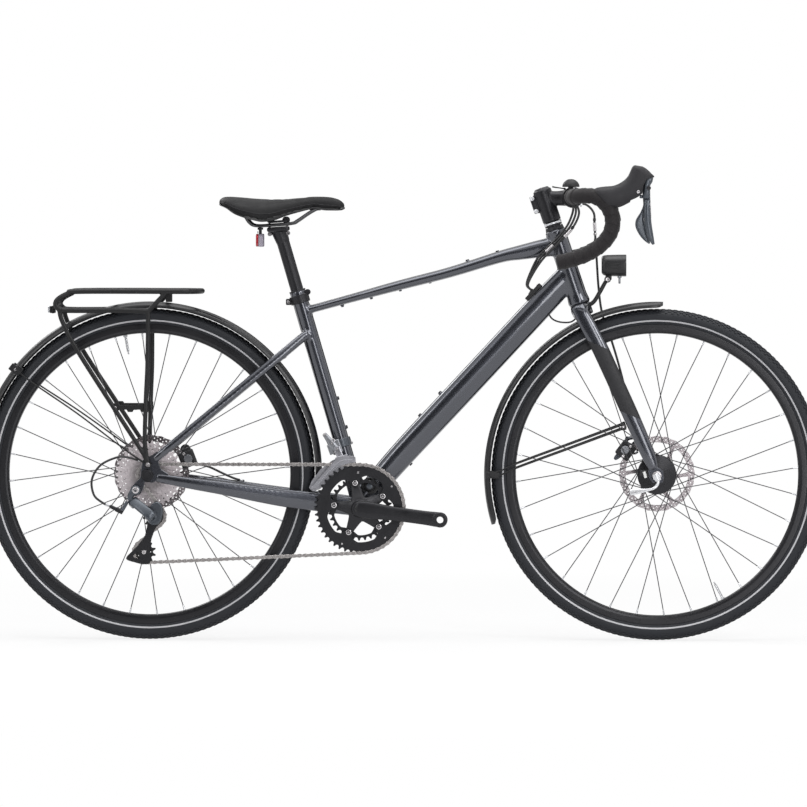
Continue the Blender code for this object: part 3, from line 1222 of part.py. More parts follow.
node("stem", stem, "black_metal", "steering")

HALF_BAR = [  # (x from the front axle, inward from the drop, z)
    (-177.5, BAR_HALF, 932.5), (-177.5, BAR_HALF - 22, 932.5), (-177.5, BAR_HALF - 50, 932.5),
    (-177.5, 100, 932.8), (-177.4, 50, 933.4), (-175, 28, 934.2), (-167, 12, 935.2), (-153, 2.5, 936),
    (-132, 0, 934.5), (-114, 0, 925), (-100.5, 0, 909), (-93.5, 0, 889), (-95, 0, 867), (-104, 0, 848),
    (-123, 0, 829), (-150, 0, 813), (-184, 0, 802), (-206.5, 0, 797)]
half_bar = [ahead(x, inward - BAR_HALF, z) for x, inward, z in HALF_BAR]
bar_path = [Vector((p.x, -p.y, p.z)) for p in reversed(half_bar)] + half_bar[1:]
bar_frames = frames(bar_path, Y_AXIS)
middle = len(half_bar) - 1
bar_sizes = [BAR_R] * len(bar_path)
for step, size in ((0, BAR_CLAMP_R), (1, BAR_CLAMP_R), (2, BAR_R + 0.6)):
    bar_sizes[middle - step] = bar_sizes[middle + step] = size
BAR_SIDES = 8
handlebar = loft("handlebar", tube_rings(bar_frames[1:-1], bar_sizes[1:-1], BAR_SIDES))
node("handlebar", handlebar, "black_metal", "steering")

HOOD = [  # (x from the front axle, z, direction in degrees, half width, half height)
    (-136, 934, 0, 17.5, 19.0), (-124, 932, 2, 19.5, 21.5), (-104, 929, 6, 19.5, 22.0),
    (-82, 930, 14, 18.0, 20.0),
    (-60, 939, 30, 16.5, 18.0), (-42, 952, 45, 15.0, 17.5), (-28, 965, 60, 14.0, 17.0),
    (-20, 979, 76, 12.5, 14.5), (-17.5, 989, 84, 9.5, 9.5)]
for label, sign in (("right", -1), ("left", 1)):
    if sign < 0:
        placed = bar_frames[middle + 3:]
    else:
        placed = [(p, s, u) for p, s, u in reversed(bar_frames[:middle - 2])]
    sizes_out = [TAPE_R - 1.5] + [TAPE_R] * (len(placed) - 1)
    tape = sleeve("tape", placed, sizes_out, BAR_R + GAP + 0.15, BAR_SIDES)
    node("bar_tape_" + label, tape, "bar_tape", "steering")
    rings = []
    for x, z, lean, half, high in HOOD:
        a = math.radians(lean)
        up = Vector((-math.sin(a), 0, math.cos(a)))
        rings.append(oval(ahead(x, sign * BAR_HALF, z), Y_AXIS, up, half, high, 12, 2.5))
    hood = loft("hood", rings)
    near = [f for f in placed if f[0].x > ahead(-165, 0, 0).x and f[0].z > V(0, 0, 850).z]
    cut(hood, loft("hood_bore", tube_rings(near, TAPE_R + 0.4, BAR_SIDES)))
    carrier = label + "_brake_lever"
    px, pz = LEVER_PIVOT
    pocket = box("lever_pocket", V(px - 1, sign * BAR_HALF, pz - 1), (27, 21, 15))
    mouth = box("lever_mouth", ahead(-32.5, sign * (BAR_HALF - 0.5), 931.5), (49, 22, 33))
    cut(hood, pocket, mouth,
        ydisc("lever_bore", px, pz, sign * BAR_HALF - 12.8, sign * BAR_HALF + 12.8, bore_r(5.0, 10), 10))
    node("hood_" + label, hood, "hood_rubber", "steering")
    bracket = sweep("bracket", [V(px, sign * BAR_HALF, pz), ahead(-22.5, sign * BAR_HALF, 941),
                                ahead(-23, sign * BAR_HALF, 930.4)],
                    [(8.5, 5.5), (9.0, 8.5), (8.0, 8.5)], 8, 3.0)
    unite(bracket, ydisc("lever_pin", px, pz, sign * BAR_HALF - 12.4, sign * BAR_HALF + 12.4, 5.0, 10),
          box("paddle_seat", ahead(-32, sign * (BAR_HALF - 5), 934), (12, 10, 7)))
    by, py = sign * BAR_HALF, sign * (BAR_HALF - 8)
    cut(bracket, rod("blade_socket", ahead(-30.5, by, 930), ahead(-15.5, by, 930), bore_r(3.6, 10), 10),
        rod("paddle_socket", ahead(-37, py, 930), ahead(-30, py, 930), bore_r(1.5, 8), 8))
    node("lever_bracket_" + label, bracket, "grey_metal", carrier)
    blade = sweep("blade", [ahead(-23, sign * BAR_HALF, 928.9), ahead(-23, sign * BAR_HALF, 925),
                            ahead(-23, sign * (BAR_HALF + 1), 912), ahead(-22.5, sign * (BAR_HALF + 2), 890),
                            ahead(-20, sign * (BAR_HALF + 2), 868), ahead(-14, sign * (BAR_HALF + 1), 850),
                            ahead(-5, sign * BAR_HALF, 838)],
                  [(4.0, 5.5), (6.2, 7.0), (7.6, 8.0), (7.5, 7.2), (6.5, 6.2), (5.5, 5.0), (3.5, 2.6)],
                  8, 2.5)
    unite(blade, rod("blade_barrel", ahead(-29, by, 930), ahead(-17, by, 930), 3.6, 10))
    node("brake_blade_" + label, blade, "grey_metal", label + "_shift_blade")
    paddle = sweep("paddle", [ahead(-33.5, sign * (BAR_HALF - 8), 929.0),
                              ahead(-38.5, sign * (BAR_HALF - 8.5), 915),
                              ahead(-39, sign * (BAR_HALF - 9), 895),
                              ahead(-37.5, sign * (BAR_HALF - 9), 872),
                              ahead(-34, sign * (BAR_HALF - 8.5), 852),
                              ahead(-32, sign * (BAR_HALF - 8), 846)],
                   [(1.5, 3.5), (1.8, 4.2), (2.0, 6.0), (2.0, 8.0), (2.0, 8.0), (1.6, 5.0)], 8, 2.3)
    unite(paddle, rod("paddle_barrel", ahead(-36, py, 930), ahead(-31, py, 930), 1.5, 8))
    node("shift_paddle_" + label, paddle, "black_metal", label + "_shift_paddle")

bell_y = BELL_PIVOT[1]
bell = ydisc("bell", *BAR_CENTRE, bell_y - 6, bell_y + 6, 17.8, 12)
unite(bell, rod("bell_post", ahead(-181, bell_y, 944), ahead(-181, bell_y, 957), 6, 8),
      loft("bell_dome", [oval(ahead(-181, bell_y, z), X_AXIS, Y_AXIS, r, r, 14)
                         for z, r in ((953.5, 17.6), (957, 18.2), (963, 16.5), (968, 12), (970.8, 5.5))]),
      rod("bell_arm", ahead(-186, bell_y, 946), V(BELL_PIVOT[0] + 3, bell_y, 948.4), 2.6, 8))
cut(bell, ydisc("bell_bore", *BAR_CENTRE, bell_y - 20, bell_y + 20, bore_r(14.7, 12), 12))
node("bell", bell, "black_plastic", "steering")
striker = rod("striker", V(*BELL_PIVOT) + Y_AXIS * -0.0045, V(*BELL_PIVOT) + Y_AXIS * 0.0045, 2.6, 10)
unite(striker, sweep("striker_lever", [V(*BELL_PIVOT), ahead(-204, bell_y, 952.2), ahead(-221, bell_y, 955)],
                     [(3.8, 1.6), (3.6, 1.5), (4.2, 1.5)], 6))
node("bell_striker", striker, "black_plastic", "bell_striker")


# Cables

CABLE_R = 2.4
brake_front = [ahead(-171, 58, 918.2), ahead(-150, 60, 917), ahead(-134, 60, 900),
               ahead(-132, 59, 874), ahead(-128, 56, 810), ahead(-123, 54, 737), ahead(-115, 53, 684),
               ahead(-97, 55, 633), ahead(-81, 58, 580), ahead(-66, 59.2, 520), ahead(-59, 62.2, 470),
               ahead(-51, 64, 434), ahead(-42, 64, 406), ahead(-42, 59, 394), ahead(-49.8, 57, 390.6)]
node("brake_cable_front", wire("brake_cable_front", brake_front, CABLE_R, 1, 1), "cable_housing", "steering")
bundle = None
for y in (-4.4, 0.0, 4.4):
    route = [ahead(-172.5, -55.6 + y, 919.4), ahead(-171, -53 + y, 898), ahead(-185, -42 + y, 868),
             ahead(-218, -36 + y, 832), ahead(-244, -33 + y, 806),
             ahead(-262, -24 + y, 776), ahead(-273, -10 + y, 749), ahead(-264.5, -2 + y, 737.3)]
    line = wire("bar_cable", route, CABLE_R, 1, 1)
    bundle = line if bundle is None else unite(bundle, line)
node("bar_cables", bundle, "cable_housing", "steering")
loop = [ahead(-227.8, -12.9, 686.8), ahead(-219, -15, 676), ahead(-202, -17, 670), ahead(-180, -18, 671),
        ahead(-166, -17, 683.6)]
node("light_cable", wire("light_cable", loop, 1.8, 2, 1), "cable_housing")
tail = [V(-11.5, -71.4, 378.5), V(-24, -71.8, 381.5), V(-42, -75, 386.5), V(-64, -80, 386.5),
        V(-98, -83, 370), V(-116, -83, 340), V(-112, -82, 308), V(-94, -82, 291.5), V(-78.4, -82, 284.2)]
node("shift_cable_rear", wire("shift_cable_rear", tail, CABLE_R, 2, 1), "cable_housing")
rear_line = [V(196, 53.4, 331.9), V(176, 56, 337), V(150, 60, 348), V(124, 66, 360), V(107, 69.3, 364.6),
             V(97.4, 69.5, 366.4)]
node("brake_cable_rear", wire("brake_cable_rear", rear_line, CABLE_R, 2, 1), "cable_housing")
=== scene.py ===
"""Looks of the gravel bike: smooth shapes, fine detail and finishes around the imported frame.

Lengths in this file are millimetres unless a comment says otherwise. X is measured forward from the
rear axle, Y to the left (the drive side faces -Y) and Z up from the ground; V() turns them into
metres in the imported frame.
"""
import json
from math import atan2, ceil, copysign, cos, exp, hypot, pi, radians, sin, sqrt

import bmesh
import bpy
from mathutils import Matrix, Vector


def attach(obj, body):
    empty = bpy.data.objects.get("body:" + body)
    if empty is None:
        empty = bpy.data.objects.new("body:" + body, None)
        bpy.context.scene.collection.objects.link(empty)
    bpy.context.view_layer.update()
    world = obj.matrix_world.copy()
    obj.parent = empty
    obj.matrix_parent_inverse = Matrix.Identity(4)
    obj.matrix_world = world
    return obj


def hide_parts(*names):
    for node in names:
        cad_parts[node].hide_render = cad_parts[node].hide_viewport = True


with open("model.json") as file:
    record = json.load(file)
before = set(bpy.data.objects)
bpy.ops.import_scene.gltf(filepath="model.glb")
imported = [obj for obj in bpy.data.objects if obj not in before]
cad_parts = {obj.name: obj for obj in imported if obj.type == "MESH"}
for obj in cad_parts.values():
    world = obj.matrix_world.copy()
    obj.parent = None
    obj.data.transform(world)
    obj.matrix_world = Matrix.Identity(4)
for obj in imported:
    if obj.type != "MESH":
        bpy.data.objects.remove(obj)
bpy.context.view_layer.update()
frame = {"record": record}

bl_info = {
    "name": "Gravel bike looks",
    "version": (1, 0, 0),
    "blender": (4, 5, 0),
    "location": "View3D > Sidebar > Bike",
    "description": "Builds the visible pieces, finishes and studio of a gravel bike",
    "category": "Object",
}

MM = 0.001
X_MID = 527.5
WHEEL_R = 349
WHEELBASE = 1070
REAR_AXLE = (0, WHEEL_R)
FRONT_AXLE = (WHEELBASE, WHEEL_R)
BB_X, BB_Z = 446, 278
SEAT_SLOPE = 0.2927
SEAT_TOP_Z = 737
SEAT_TUBE_R = 16.5
POST_R = 13.6
HEAD_ANGLE = radians(71.5)
FORK_OFFSET = 40.25
HEAD_BOTTOM, HEAD_TOP, HEAD_R = 398, 555, 20.5
DISC_T, FRONT_DISC_Y, REAR_DISC_Y = 1.8, 40, 52.5
FRONT_END_Y, REAR_END_Y = 53.5, 71.4
HOSE_R = 2.4
CHAIN_PITCH = 12.7
RING_T, COG_T = 2.2, 1.8
RING_Y, SMALL_RING_Y, COG_Y, COG_STEP = -48.7, -41.3, -59, 4.7
COG_TEETH = (11, 13, 15, 17, 20, 23, 26, 34)
CRANK_LENGTH = 170.6
CRANK_ANGLE = radians(-7.5)
PEDAL_BORE_R = 7.15
BOLT_CIRCLE_R = 55
GUIDE, TENSION = (14, 262), (-8, 186.7)
BAR_HALF, BAR_R, BAR_CLAMP_R = 210, 11.9, 15.9
BAR_CENTRE = (892.5, 932.5)
LEVER_PIVOT = (1052, 952)
LAMP_PIVOT, LAMP_Z = (966, 760), 789
CHANGER_PIN = (398, 403)
RD_A = Vector((-27, -79, 291))
RD_B = RD_A + Vector((35.1, -15.2, -27.7))
RD_AXIS = Vector((33.1, 14.4, 34)).normalized()
HANGER = (-24, 318)
EYELET = (2, 371)

X_AXIS = Vector((1, 0, 0))
Y_AXIS = Vector((0, 1, 0))
Z_AXIS = Vector((0, 0, 1))

RECORD = frame["record"]
NODE_BODY = {node: body for body, nodes in RECORD["behaviour"]["bodies"].items() for node in nodes}


def V(x, y, z):
    """A point in the bike's frame, in metres."""
    return Vector(((x - X_MID) * MM, y * MM, z * MM))


def steer(s, forward=0, y=0):
    """A point on the steering axis, s along it from beside the front axle."""
    x = WHEELBASE - FORK_OFFSET * sin(HEAD_ANGLE) - cos(HEAD_ANGLE) * s
    z = WHEEL_R - FORK_OFFSET * cos(HEAD_ANGLE) + sin(HEAD_ANGLE) * s
    return V(x + forward * sin(HEAD_ANGLE), y, z + forward * cos(HEAD_ANGLE))


def seat_axis(z, y=0):
    """A point on the seat tube's axis at height z."""
    return V(BB_X - SEAT_SLOPE * (z - BB_Z), y, z)


def pitch_r(teeth):
    """Pitch radius of a chain wheel."""
    return CHAIN_PITCH / (2 * sin(pi / teeth))


def about(x, z, angle, radius, y=0):
    """A point at this radius and angle in degrees round an axle."""
    a = radians(angle)
    return V(x + radius * cos(a), y, z + radius * sin(a))


# Shapes: each one is a pair (points, faces) in metres

def merged(*shapes):
    """Several shapes as one."""
    points, faces = [], []
    for more, sides in shapes:
        start = len(points)
        points += more
        faces += [tuple(i + start for i in side) for side in sides]
    return points, faces


def skin(rings, looped=False, caps=True):
    """A surface over rings of the same number of points."""
    count = len(rings[0])
    faces = []
    for i in range(len(rings) if looped else len(rings) - 1):
        a, b = i * count, ((i + 1) % len(rings)) * count
        faces += [(a + k, a + (k + 1) % count, b + (k + 1) % count, b + k) for k in range(count)]
    if caps and not looped:
        faces.append(tuple(range(count)))
        faces.append(tuple(range((len(rings) - 1) * count, len(rings) * count)))
    return [p for ring in rings for p in ring], faces


def oval(centre, side, up, half_side, half_up, count, power=2):
    """A ring of points round a centre: an ellipse at power 2, squarer above it."""
    ring = []
    for k in range(count):
        angle = 2 * pi * k / count
        c, s = cos(angle), sin(angle)
        a = copysign(abs(c) ** (2 / power), c) * half_side * MM
        b = copysign(abs(s) ** (2 / power), s) * half_up * MM
        ring.append(centre + side * a + up * b)
    return ring


def curved(rows, steps):
    """Rows of numbers or vectors along a smooth curve through the given ones."""
    found = []
    for i in range(len(rows) - 1):
        p0, p1 = rows[max(i - 1, 0)], rows[i]
        p2, p3 = rows[i + 1], rows[min(i + 2, len(rows) - 1)]
        for k in range(steps):
            t = k / steps
            found.append(0.5 * ((2 * p1) + (p2 - p0) * t + (2 * p0 - 5 * p1 + 4 * p2 - p3) * t * t
                                + (3 * p1 - p0 - 3 * p2 + p3) * t * t * t))
    return found + [rows[-1]]


def mirrored(path):
    """The path's other half, on the bike's other side."""
    return [Vector((p.x, -p.y, p.z)) for p in reversed(path)]


def frames_along(path, first=Y_AXIS, looped=False):
    """A (point, side, up) frame at each point of a path, turning as little as it can."""
    found, side, last = [], first, len(path) - 1
    for i, point in enumerate(path):
        before = path[i - 1] if i > 0 or looped else point
        after = path[(i + 1) % len(path)] if i < last or looped else point
        along = (after - before).normalized()
        side = (side - along * side.dot(along)).normalized()
        found.append((point, side, along.cross(side)))
    return found


def tube(path, sizes, sides=24, power=2, steps=5, first=Y_AXIS, looped=False, round_ends=0):
    """A solid tube along a smooth path; sizes holds one half size, or a (side, up) pair, per point."""
    if not isinstance(sizes, (list, tuple)):
        sizes = [sizes] * len(path)
    pairs = [Vector(size) if isinstance(size, tuple) else Vector((size, size)) for size in sizes]
    if steps > 1 and not looped:
        path, pairs = curved(path, steps), curved(pairs, steps)
    placed = frames_along(path, first, looped)
    rings = [oval(point, side, up, size[0], size[1], sides, power)
             for (point, side, up), size in zip(placed, pairs)]
    if round_ends:
        for end, sign in ((0, -1), (-1, 1)):
            point, side, up = placed[end]
            out = side.cross(up) * sign
            caps = [oval(point + out * (round_ends * MM * sin(a)), side, up, pairs[end][0] * cos(a),
                         pairs[end][1] * cos(a), sides, power)
                    for a in (radians(30), radians(58), radians(80))]
            rings = caps[::-1] + rings if end == 0 else rings + caps
    return skin(rings, looped)


def wire(points, radius, steps=6, sides=12):
    """A round wire or cable through the given points, with rounded ends."""
    return tube(points, radius, sides, steps=steps, round_ends=radius * 0.4)


def rod(a, b, radius, sides=32, end_radius=None, edge=0.35):
    """A cylinder or cone from a to b with broken edges."""
    other = radius if end_radius is None else end_radius
    along = (b - a).normalized()
    side = along.orthogonal().normalized()
    up = along.cross(side)
    edge = min(edge, radius * 0.4, other * 0.4, (b - a).length / MM * 0.3)
    rings = []
    for point, r in ((a, radius - edge), (a + along * (edge * MM), radius), (b - along * (edge * MM), other),
                     (b, other - edge)):
        rings.append(oval(point, side, up, r, r, sides))
    return skin(rings)


def ydisc(x, z, y0, y1, radius, sides=40, edge=0.35):
    """A cylinder along Y with broken edges."""
    return rod(V(x, y0, z), V(x, y1, z), radius, sides, edge=edge)


def turned(profile, x, z, steps=128, looped=True):
    """A solid of revolution about a line along Y through a loop of (radius, y) pairs."""
    rings = []
    for k in range(steps):
        a = 2 * pi * k / steps
        rings.append([V(x + r * cos(a), y, z + r * sin(a)) for r, y in profile])
    count = len(profile)
    faces = []
    for i in range(steps):
        a, b = i * count, ((i + 1) % steps) * count
        last = count if looped else count - 1
        faces += [(a + k, a + (k + 1) % count, b + (k + 1) % count, b + k) for k in range(last)]
    return [p for ring in rings for p in ring], faces


def on_side(sign, profile):
    """A profile for turned, moved to the side of this sign."""
    return [(r, sign * y) for r, y in profile]


def from_bmesh(work):
    """The shape in a bmesh, which is then gone."""
    work.verts.index_update()
    points = [v.co.copy() for v in work.verts]
    faces = [tuple(v.index for v in face.verts) for face in work.faces]
    work.free()
    return points, faces


def block(centre, size, turn=None, edge=0.8, segments=2):
    """A box with rounded edges."""
    work = bmesh.new()
    bmesh.ops.create_cube(work, size=1, matrix=Matrix.Diagonal((*[s * MM for s in size], 1)))
    edge = min(edge, min(size) * 0.4)
    bmesh.ops.bevel(work, geom=list(work.edges), offset=edge * MM, segments=segments, profile=0.5,
                    affect="EDGES")
    spin = turn.to_4x4() if turn is not None else Matrix.Identity(4)
    work.transform(Matrix.Translation(centre) @ spin)
    return from_bmesh(work)


def pitched(angle):
    """A turn in the bike's side view, for a block."""
    return Matrix.Rotation(angle, 3, "Y")


def both_sides(half):
    """A section that is the same left and right, from the half with its first number positive."""
    return half + [(-across, up) for across, up in reversed(half)]


def facing(y, x=0, z=0):
    """Places a plate in the bike's side view: local X forward, local Y up, centred on y."""
    return Matrix.Translation(V(x, y, z)) @ Matrix.Rotation(pi / 2, 4, "X")


def plate(loops, thickness, matrix, edge=0.15):
    """A flat plate of the outline loops (the first one outer, the rest holes), thick along local Z."""
    curve = bpy.data.curves.new("plate", "CURVE")
    curve.dimensions = "2D"
    curve.fill_mode = "BOTH"
    curve.extrude = (thickness / 2 - edge) * MM
    curve.bevel_depth = edge * MM
    curve.bevel_resolution = 0
    for loop in loops:
        spline = curve.splines.new("POLY")
        spline.points.add(len(loop) - 1)
        spline.use_cyclic_u = True
        for point, (x, y) in zip(spline.points, loop):
            point.co = (x * MM, y * MM, 0, 1)
    holder = bpy.data.objects.new("plate", curve)
    bpy.context.scene.collection.objects.link(holder)
    bpy.context.view_layer.update()
    mesh = bpy.data.meshes.new_from_object(holder.evaluated_get(bpy.context.evaluated_depsgraph_get()))
    bpy.data.objects.remove(holder, do_unlink=True)
    bpy.data.curves.remove(curve)
    work = bmesh.new()
    work.from_mesh(mesh)
    bpy.data.meshes.remove(mesh)
    bmesh.ops.remove_doubles(work, verts=work.verts, dist=1e-6)
    work.transform(matrix)
    return from_bmesh(work)


def circle(x, y, radius, count=24, phase=0):
    """Evenly spaced points round a centre."""
    return [(x + radius * cos(phase + 2 * pi * k / count), y + radius * sin(phase + 2 * pi * k / count))
            for k in range(count)]


def rounded(loop, radius, steps=3):
    """An outline with its corners rounded."""
    found = []
    for i, (x, y) in enumerate(loop):
        before, after = Vector(loop[i - 1]), Vector(loop[(i + 1) % len(loop)])
        here = Vector((x, y))
        reach = min(radius, (before - here).length * 0.45, (after - here).length * 0.45)
        a = here + (before - here).normalized() * reach
        b = here + (after - here).normalized() * reach
        for k in range(steps + 1):
            t = k / steps
            found.append(tuple(a * (1 - t) ** 2 + here * (2 * t * (1 - t)) + b * t ** 2))
    return found


def holder_of(shape, name="work"):
    """An object with this shape, or with all shapes of a list."""
    if isinstance(shape, list):
        shape = merged(*shape)
    mesh = bpy.data.meshes.new(name)
    mesh.from_pydata([tuple(p) for p in shape[0]], [], shape[1])
    work = bmesh.new()
    work.from_mesh(mesh)
    bmesh.ops.recalc_face_normals(work, faces=work.faces)
    work.to_mesh(mesh)
    work.free()
    made = bpy.data.objects.new(name, mesh)
    bpy.context.scene.collection.objects.link(made)
    return made


def evaluated(made, *helpers):
    """The shape of an object with its modifiers, after which the object is gone."""
    bpy.context.view_layer.update()
    mesh = bpy.data.meshes.new_from_object(made.evaluated_get(bpy.context.evaluated_depsgraph_get()))
    points = [v.co.copy() for v in mesh.vertices]
    faces = [tuple(face.vertices) for face in mesh.polygons]
    for old in (made, *helpers):
        bpy.data.objects.remove(old, do_unlink=True)
    bpy.data.meshes.remove(mesh)
    return points, faces


def carved(shape, *cutters, operation="DIFFERENCE"):
    """A shape with the cutters taken out of it, or joined to it with operation UNION."""
    made = holder_of(shape)
    helpers = []
    for cutter in cutters:
        helper = holder_of(cutter, "cutter")
        helper.hide_render = True
        change = made.modifiers.new("cut", "BOOLEAN")
        change.operation = operation
        change.solver = "EXACT"
        change.object = helper
        helpers.append(helper)
    return evaluated(made, *helpers)


def welded(shape, voxel, passes, regain=0):
    """Crossing shapes as one skin with fillets; regain gives back the millimetres lost by smoothing."""
    made = holder_of(shape)
    remesh = made.modifiers.new("weld", "REMESH")
    remesh.mode = "VOXEL"
    remesh.voxel_size = voxel * MM
    smooth = made.modifiers.new("fillet", "SMOOTH")
    smooth.factor = 0.5
    smooth.iterations = passes
    if regain:
        swell = made.modifiers.new("regain", "DISPLACE")
        swell.mid_level, swell.strength = 0, regain * MM
    return evaluated(made)


def hex_head(centre, out, radius, height, socket=0.5):
    """A round bolt head with a hexagon socket, standing on centre along out."""
    side = out.orthogonal().normalized()
    up = out.cross(side)
    rings = []
    for r, h, n in ((radius, 0, 2), (radius, height * 0.75, 2), (radius * 0.86, height, 2),
                    (radius * socket * 1.15, height, 2), (radius * socket, height * 0.96, 8),
                    (radius * socket, height * 0.35, 8)):
        ring = []
        for k in range(24):
            a = 2 * pi * k / 24
            reach = r
            if n == 8:
                reach = r * cos(pi / 6) / cos((a + pi / 6) % (pi / 3) - pi / 6)
            ring.append(centre + (side * cos(a) + up * sin(a)) * (reach * MM) + out * (h * MM))
        rings.append(ring)
    return skin(rings)


def nut(centre, out, radius, height, sides=6):
    """A hexagon nut or a many-sided cap standing on centre along out."""
    side = out.orthogonal().normalized()
    up = out.cross(side)
    rings = [oval(centre + out * (h * MM), side, up, r, r, sides)
             for r, h in ((radius, 0), (radius, height * 0.86), (radius * 0.9, height))]
    return skin(rings)


def piece(name, shape, finish, node, replaces=(), angle=38, weighted=True):
    """An object with this finish, riding with a CAD node's body; replaces names the nodes it stands for."""
    made = holder_of(shape, name)
    finishes = finish if isinstance(finish, (list, tuple)) else [finish]
    for one in finishes:
        made.data.materials.append(MATERIALS[one])
    made.data.shade_smooth()
    made.data.set_sharp_from_angle(angle=radians(angle))
    if weighted:
        made.modifiers.new("flat faces", "WEIGHTED_NORMAL").keep_sharp = True
    if replaces is True:
        replaces = (node,)
    if replaces:
        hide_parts(*replaces)
    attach(made, NODE_BODY[node])
    return made


# Sizes and colours that can be changed

def linear(code):
    """An sRGB hex code as linear red, green and blue."""
    found = []
    for k in (0, 2, 4):
        c = int(code[k:k + 2], 16) / 255
        found.append(c / 12.92 if c <= 0.04045 else ((c + 0.055) / 1.055) ** 2.4)
    return tuple(found)


def colour(name, code, note):
    """A colour that can be changed, from its hex code."""
    return bpy.props.FloatVectorProperty(name=name, description=note, subtype="COLOR", size=3, min=0, max=1,
                                         default=linear(code))


def length(name, size, note):
    """A length that can be changed, from millimetres."""
    return bpy.props.FloatProperty(name=name, description=note, subtype="DISTANCE", unit="LENGTH", min=0,
                                   precision=5, default=size * MM)


class BikeColours(bpy.types.PropertyGroup):
    lacquer: colour("Frame lacquer", "4a4c53", "Metallic lacquer of the frame and of the fork's ends")
    matt_lacquer: colour("Matt lacquer", "232326", "Matt black lacquer in the middle of the fork's legs")
    anodised: colour("Anodised black", "29292c", "Anodised aluminium of the rims, stem, bar, post and cranks")
    powder: colour("Powder coat", "111113", "Black powder coat of the rack")
    nylon: colour("Moulded black", "121215", "Moulded nylon of the mudguards, lamp and bell")
    casting: colour("Cast grey", "4b5057", "Painted castings of the gear changers and brake levers")
    satin: colour("Satin grey", "8d8f94", "Body of the front gear changer")
    tyre: colour("Tyre rubber", "1f2126", "Black rubber of the tyres")
    stripe: colour("Reflective stripe", "b5b5b8", "Reflective stripe on the tyres' sides")
    hood: colour("Hood rubber", "1d1c20", "Rubber of the brake hoods")
    tape: colour("Handlebar tape", "191618", "Foam tape round the bar")
    saddle: colour("Saddle cover", "0f0f11", "Synthetic leather of the saddle")
    sheath: colour("Cable sheath", "202022", "PVC sheath of the cables")
    stainless: colour("Stainless steel", "c9c6c8", "Bolts, axle ends and fittings")
    chain: colour("Chain steel", "aaa6a5", "Oiled plates and rollers of the chain")
    cogs: colour("Cog steel", "ddd5d8", "Plated steel of the cogs")
    spoke: colour("Spoke steel", "4c4c4e", "Darkened stainless steel of the spokes")
    reflector: colour("Reflector red", "c0303a", "Red acrylic of the rear reflector")
    bright: colour("Polished alloy", "d9dadd", "Quick release levers, stem bolts and the headset ring")
    disc: colour("Disc steel", "a39c9f", "Ground stainless steel of the brake discs, slightly heat stained")
    cage: colour("Cage steel", "a2a2a8", "Plated steel of the front changer's cage")
    pale: colour("Pale grey", "9c96a3", "Moulded back of the red reflector")
    plug: colour("Plug white", "e4e4e2", "White nylon of the lamp's plug at the front hub")
    floor: colour("Floor", "f7f7f7", "Plain pale floor of the studio")


class BikeSizes(bpy.types.PropertyGroup):
    knob: length("Tread knob height", 1.5, "Height of the knobs on the tyres")
    stripe: length("Stripe width", 3.2, "Width of the reflective stripe on the tyres")
    spoke: length("Spoke diameter", 2, "Diameter of the spokes")
    wrap: length("Tape step", 19, "Distance from one turn of handlebar tape to the next")
    weld: length("Weld voxel", 1.6, "Voxel size of the smooth joints between frame tubes")
    flake: length("Lacquer flake", 0.7, "Size of the metallic flakes, drawn coarser than real ones")


# Finishes

MATERIALS = {}


def add(tree, kind, links=(), **settings):
    """A shader node with its settings, and values or links on its inputs."""
    made = tree.nodes.new("ShaderNode" + kind)
    for name, value in settings.items():
        setattr(made, name, value)
    for socket, value in dict(links).items():
        if isinstance(value, bpy.types.NodeSocket):
            tree.links.new(value, made.inputs[socket])
        else:
            made.inputs[socket].default_value = value
    return made


def ranged(tree, value, low, high, to_low, to_high):
    """A socket's value, moved from the range low to high to the range to_low to to_high."""
    return add(tree, "MapRange", {"Value": value, "From Min": low, "From Max": high, "To Min": to_low,
                                  "To Max": to_high}).outputs["Result"]


def worked_out(tree, operation, a, b=0, **settings):
    """The result of one Math node."""
    return add(tree, "Math", {0: a, 1: b}, operation=operation, **settings).outputs[0]


def shaded(base, factor):
    """A colour made darker or lighter, as a socket value."""
    return (*[min(1, c * factor) for c in base], 1)


def finish(name, base, roughness, metallic=0, tint=0.12, tint_mm=25, rough_change=0.06, grain_mm=1.2,
           grain_depth=0.02, **sockets):
    """A material with slow changes of tone and gloss, and a fine grain in its surface.

    tint is the share by which the colour changes over tint_mm, rough_change the change of roughness,
    and the grain is a bump of grain_mm across and grain_depth millimetres deep.
    """
    made = bpy.data.materials.new(name)
    made.use_nodes = True
    tree = made.node_tree
    shader = tree.nodes["Principled BSDF"]
    shader.inputs["Metallic"].default_value = metallic
    for socket, value in sockets.items():
        shader.inputs[socket.replace("_", " ")].default_value = value
    place = add(tree, "TexCoord").outputs["Object"]
    slow = add(tree, "TexNoise", {"Vector": place, "Scale": 1 / (tint_mm * MM), "Detail": 4}).outputs["Fac"]
    fine = add(tree, "TexNoise", {"Vector": place, "Scale": 1 / (grain_mm * MM), "Detail": 2}).outputs["Fac"]
    mix = add(tree, "Mix", {0: slow, 6: shaded(base, 1 - tint), 7: shaded(base, 1 + tint)}, data_type="RGBA")
    gloss = ranged(tree, slow, 0.3, 0.7, roughness - rough_change, roughness + rough_change)
    bump = add(tree, "Bump", {"Height": fine, "Distance": grain_depth * MM, "Strength": 1})
    tree.links.new(mix.outputs[2], shader.inputs["Base Color"])
    tree.links.new(gloss, shader.inputs["Roughness"])
    tree.links.new(bump.outputs["Normal"], shader.inputs["Normal"])
    MATERIALS[name] = made
    return tree, shader, place, mix, bump


def relief(tree, shader, height, depth_mm, under=None):
    """A further bump on top of the grain."""
    links = {"Height": height, "Distance": depth_mm * MM, "Strength": 1}
    if under is not None:
        links["Normal"] = under.outputs["Normal"]
    made = add(tree, "Bump", links)
    tree.links.new(made.outputs["Normal"], shader.inputs["Normal"])
    return made


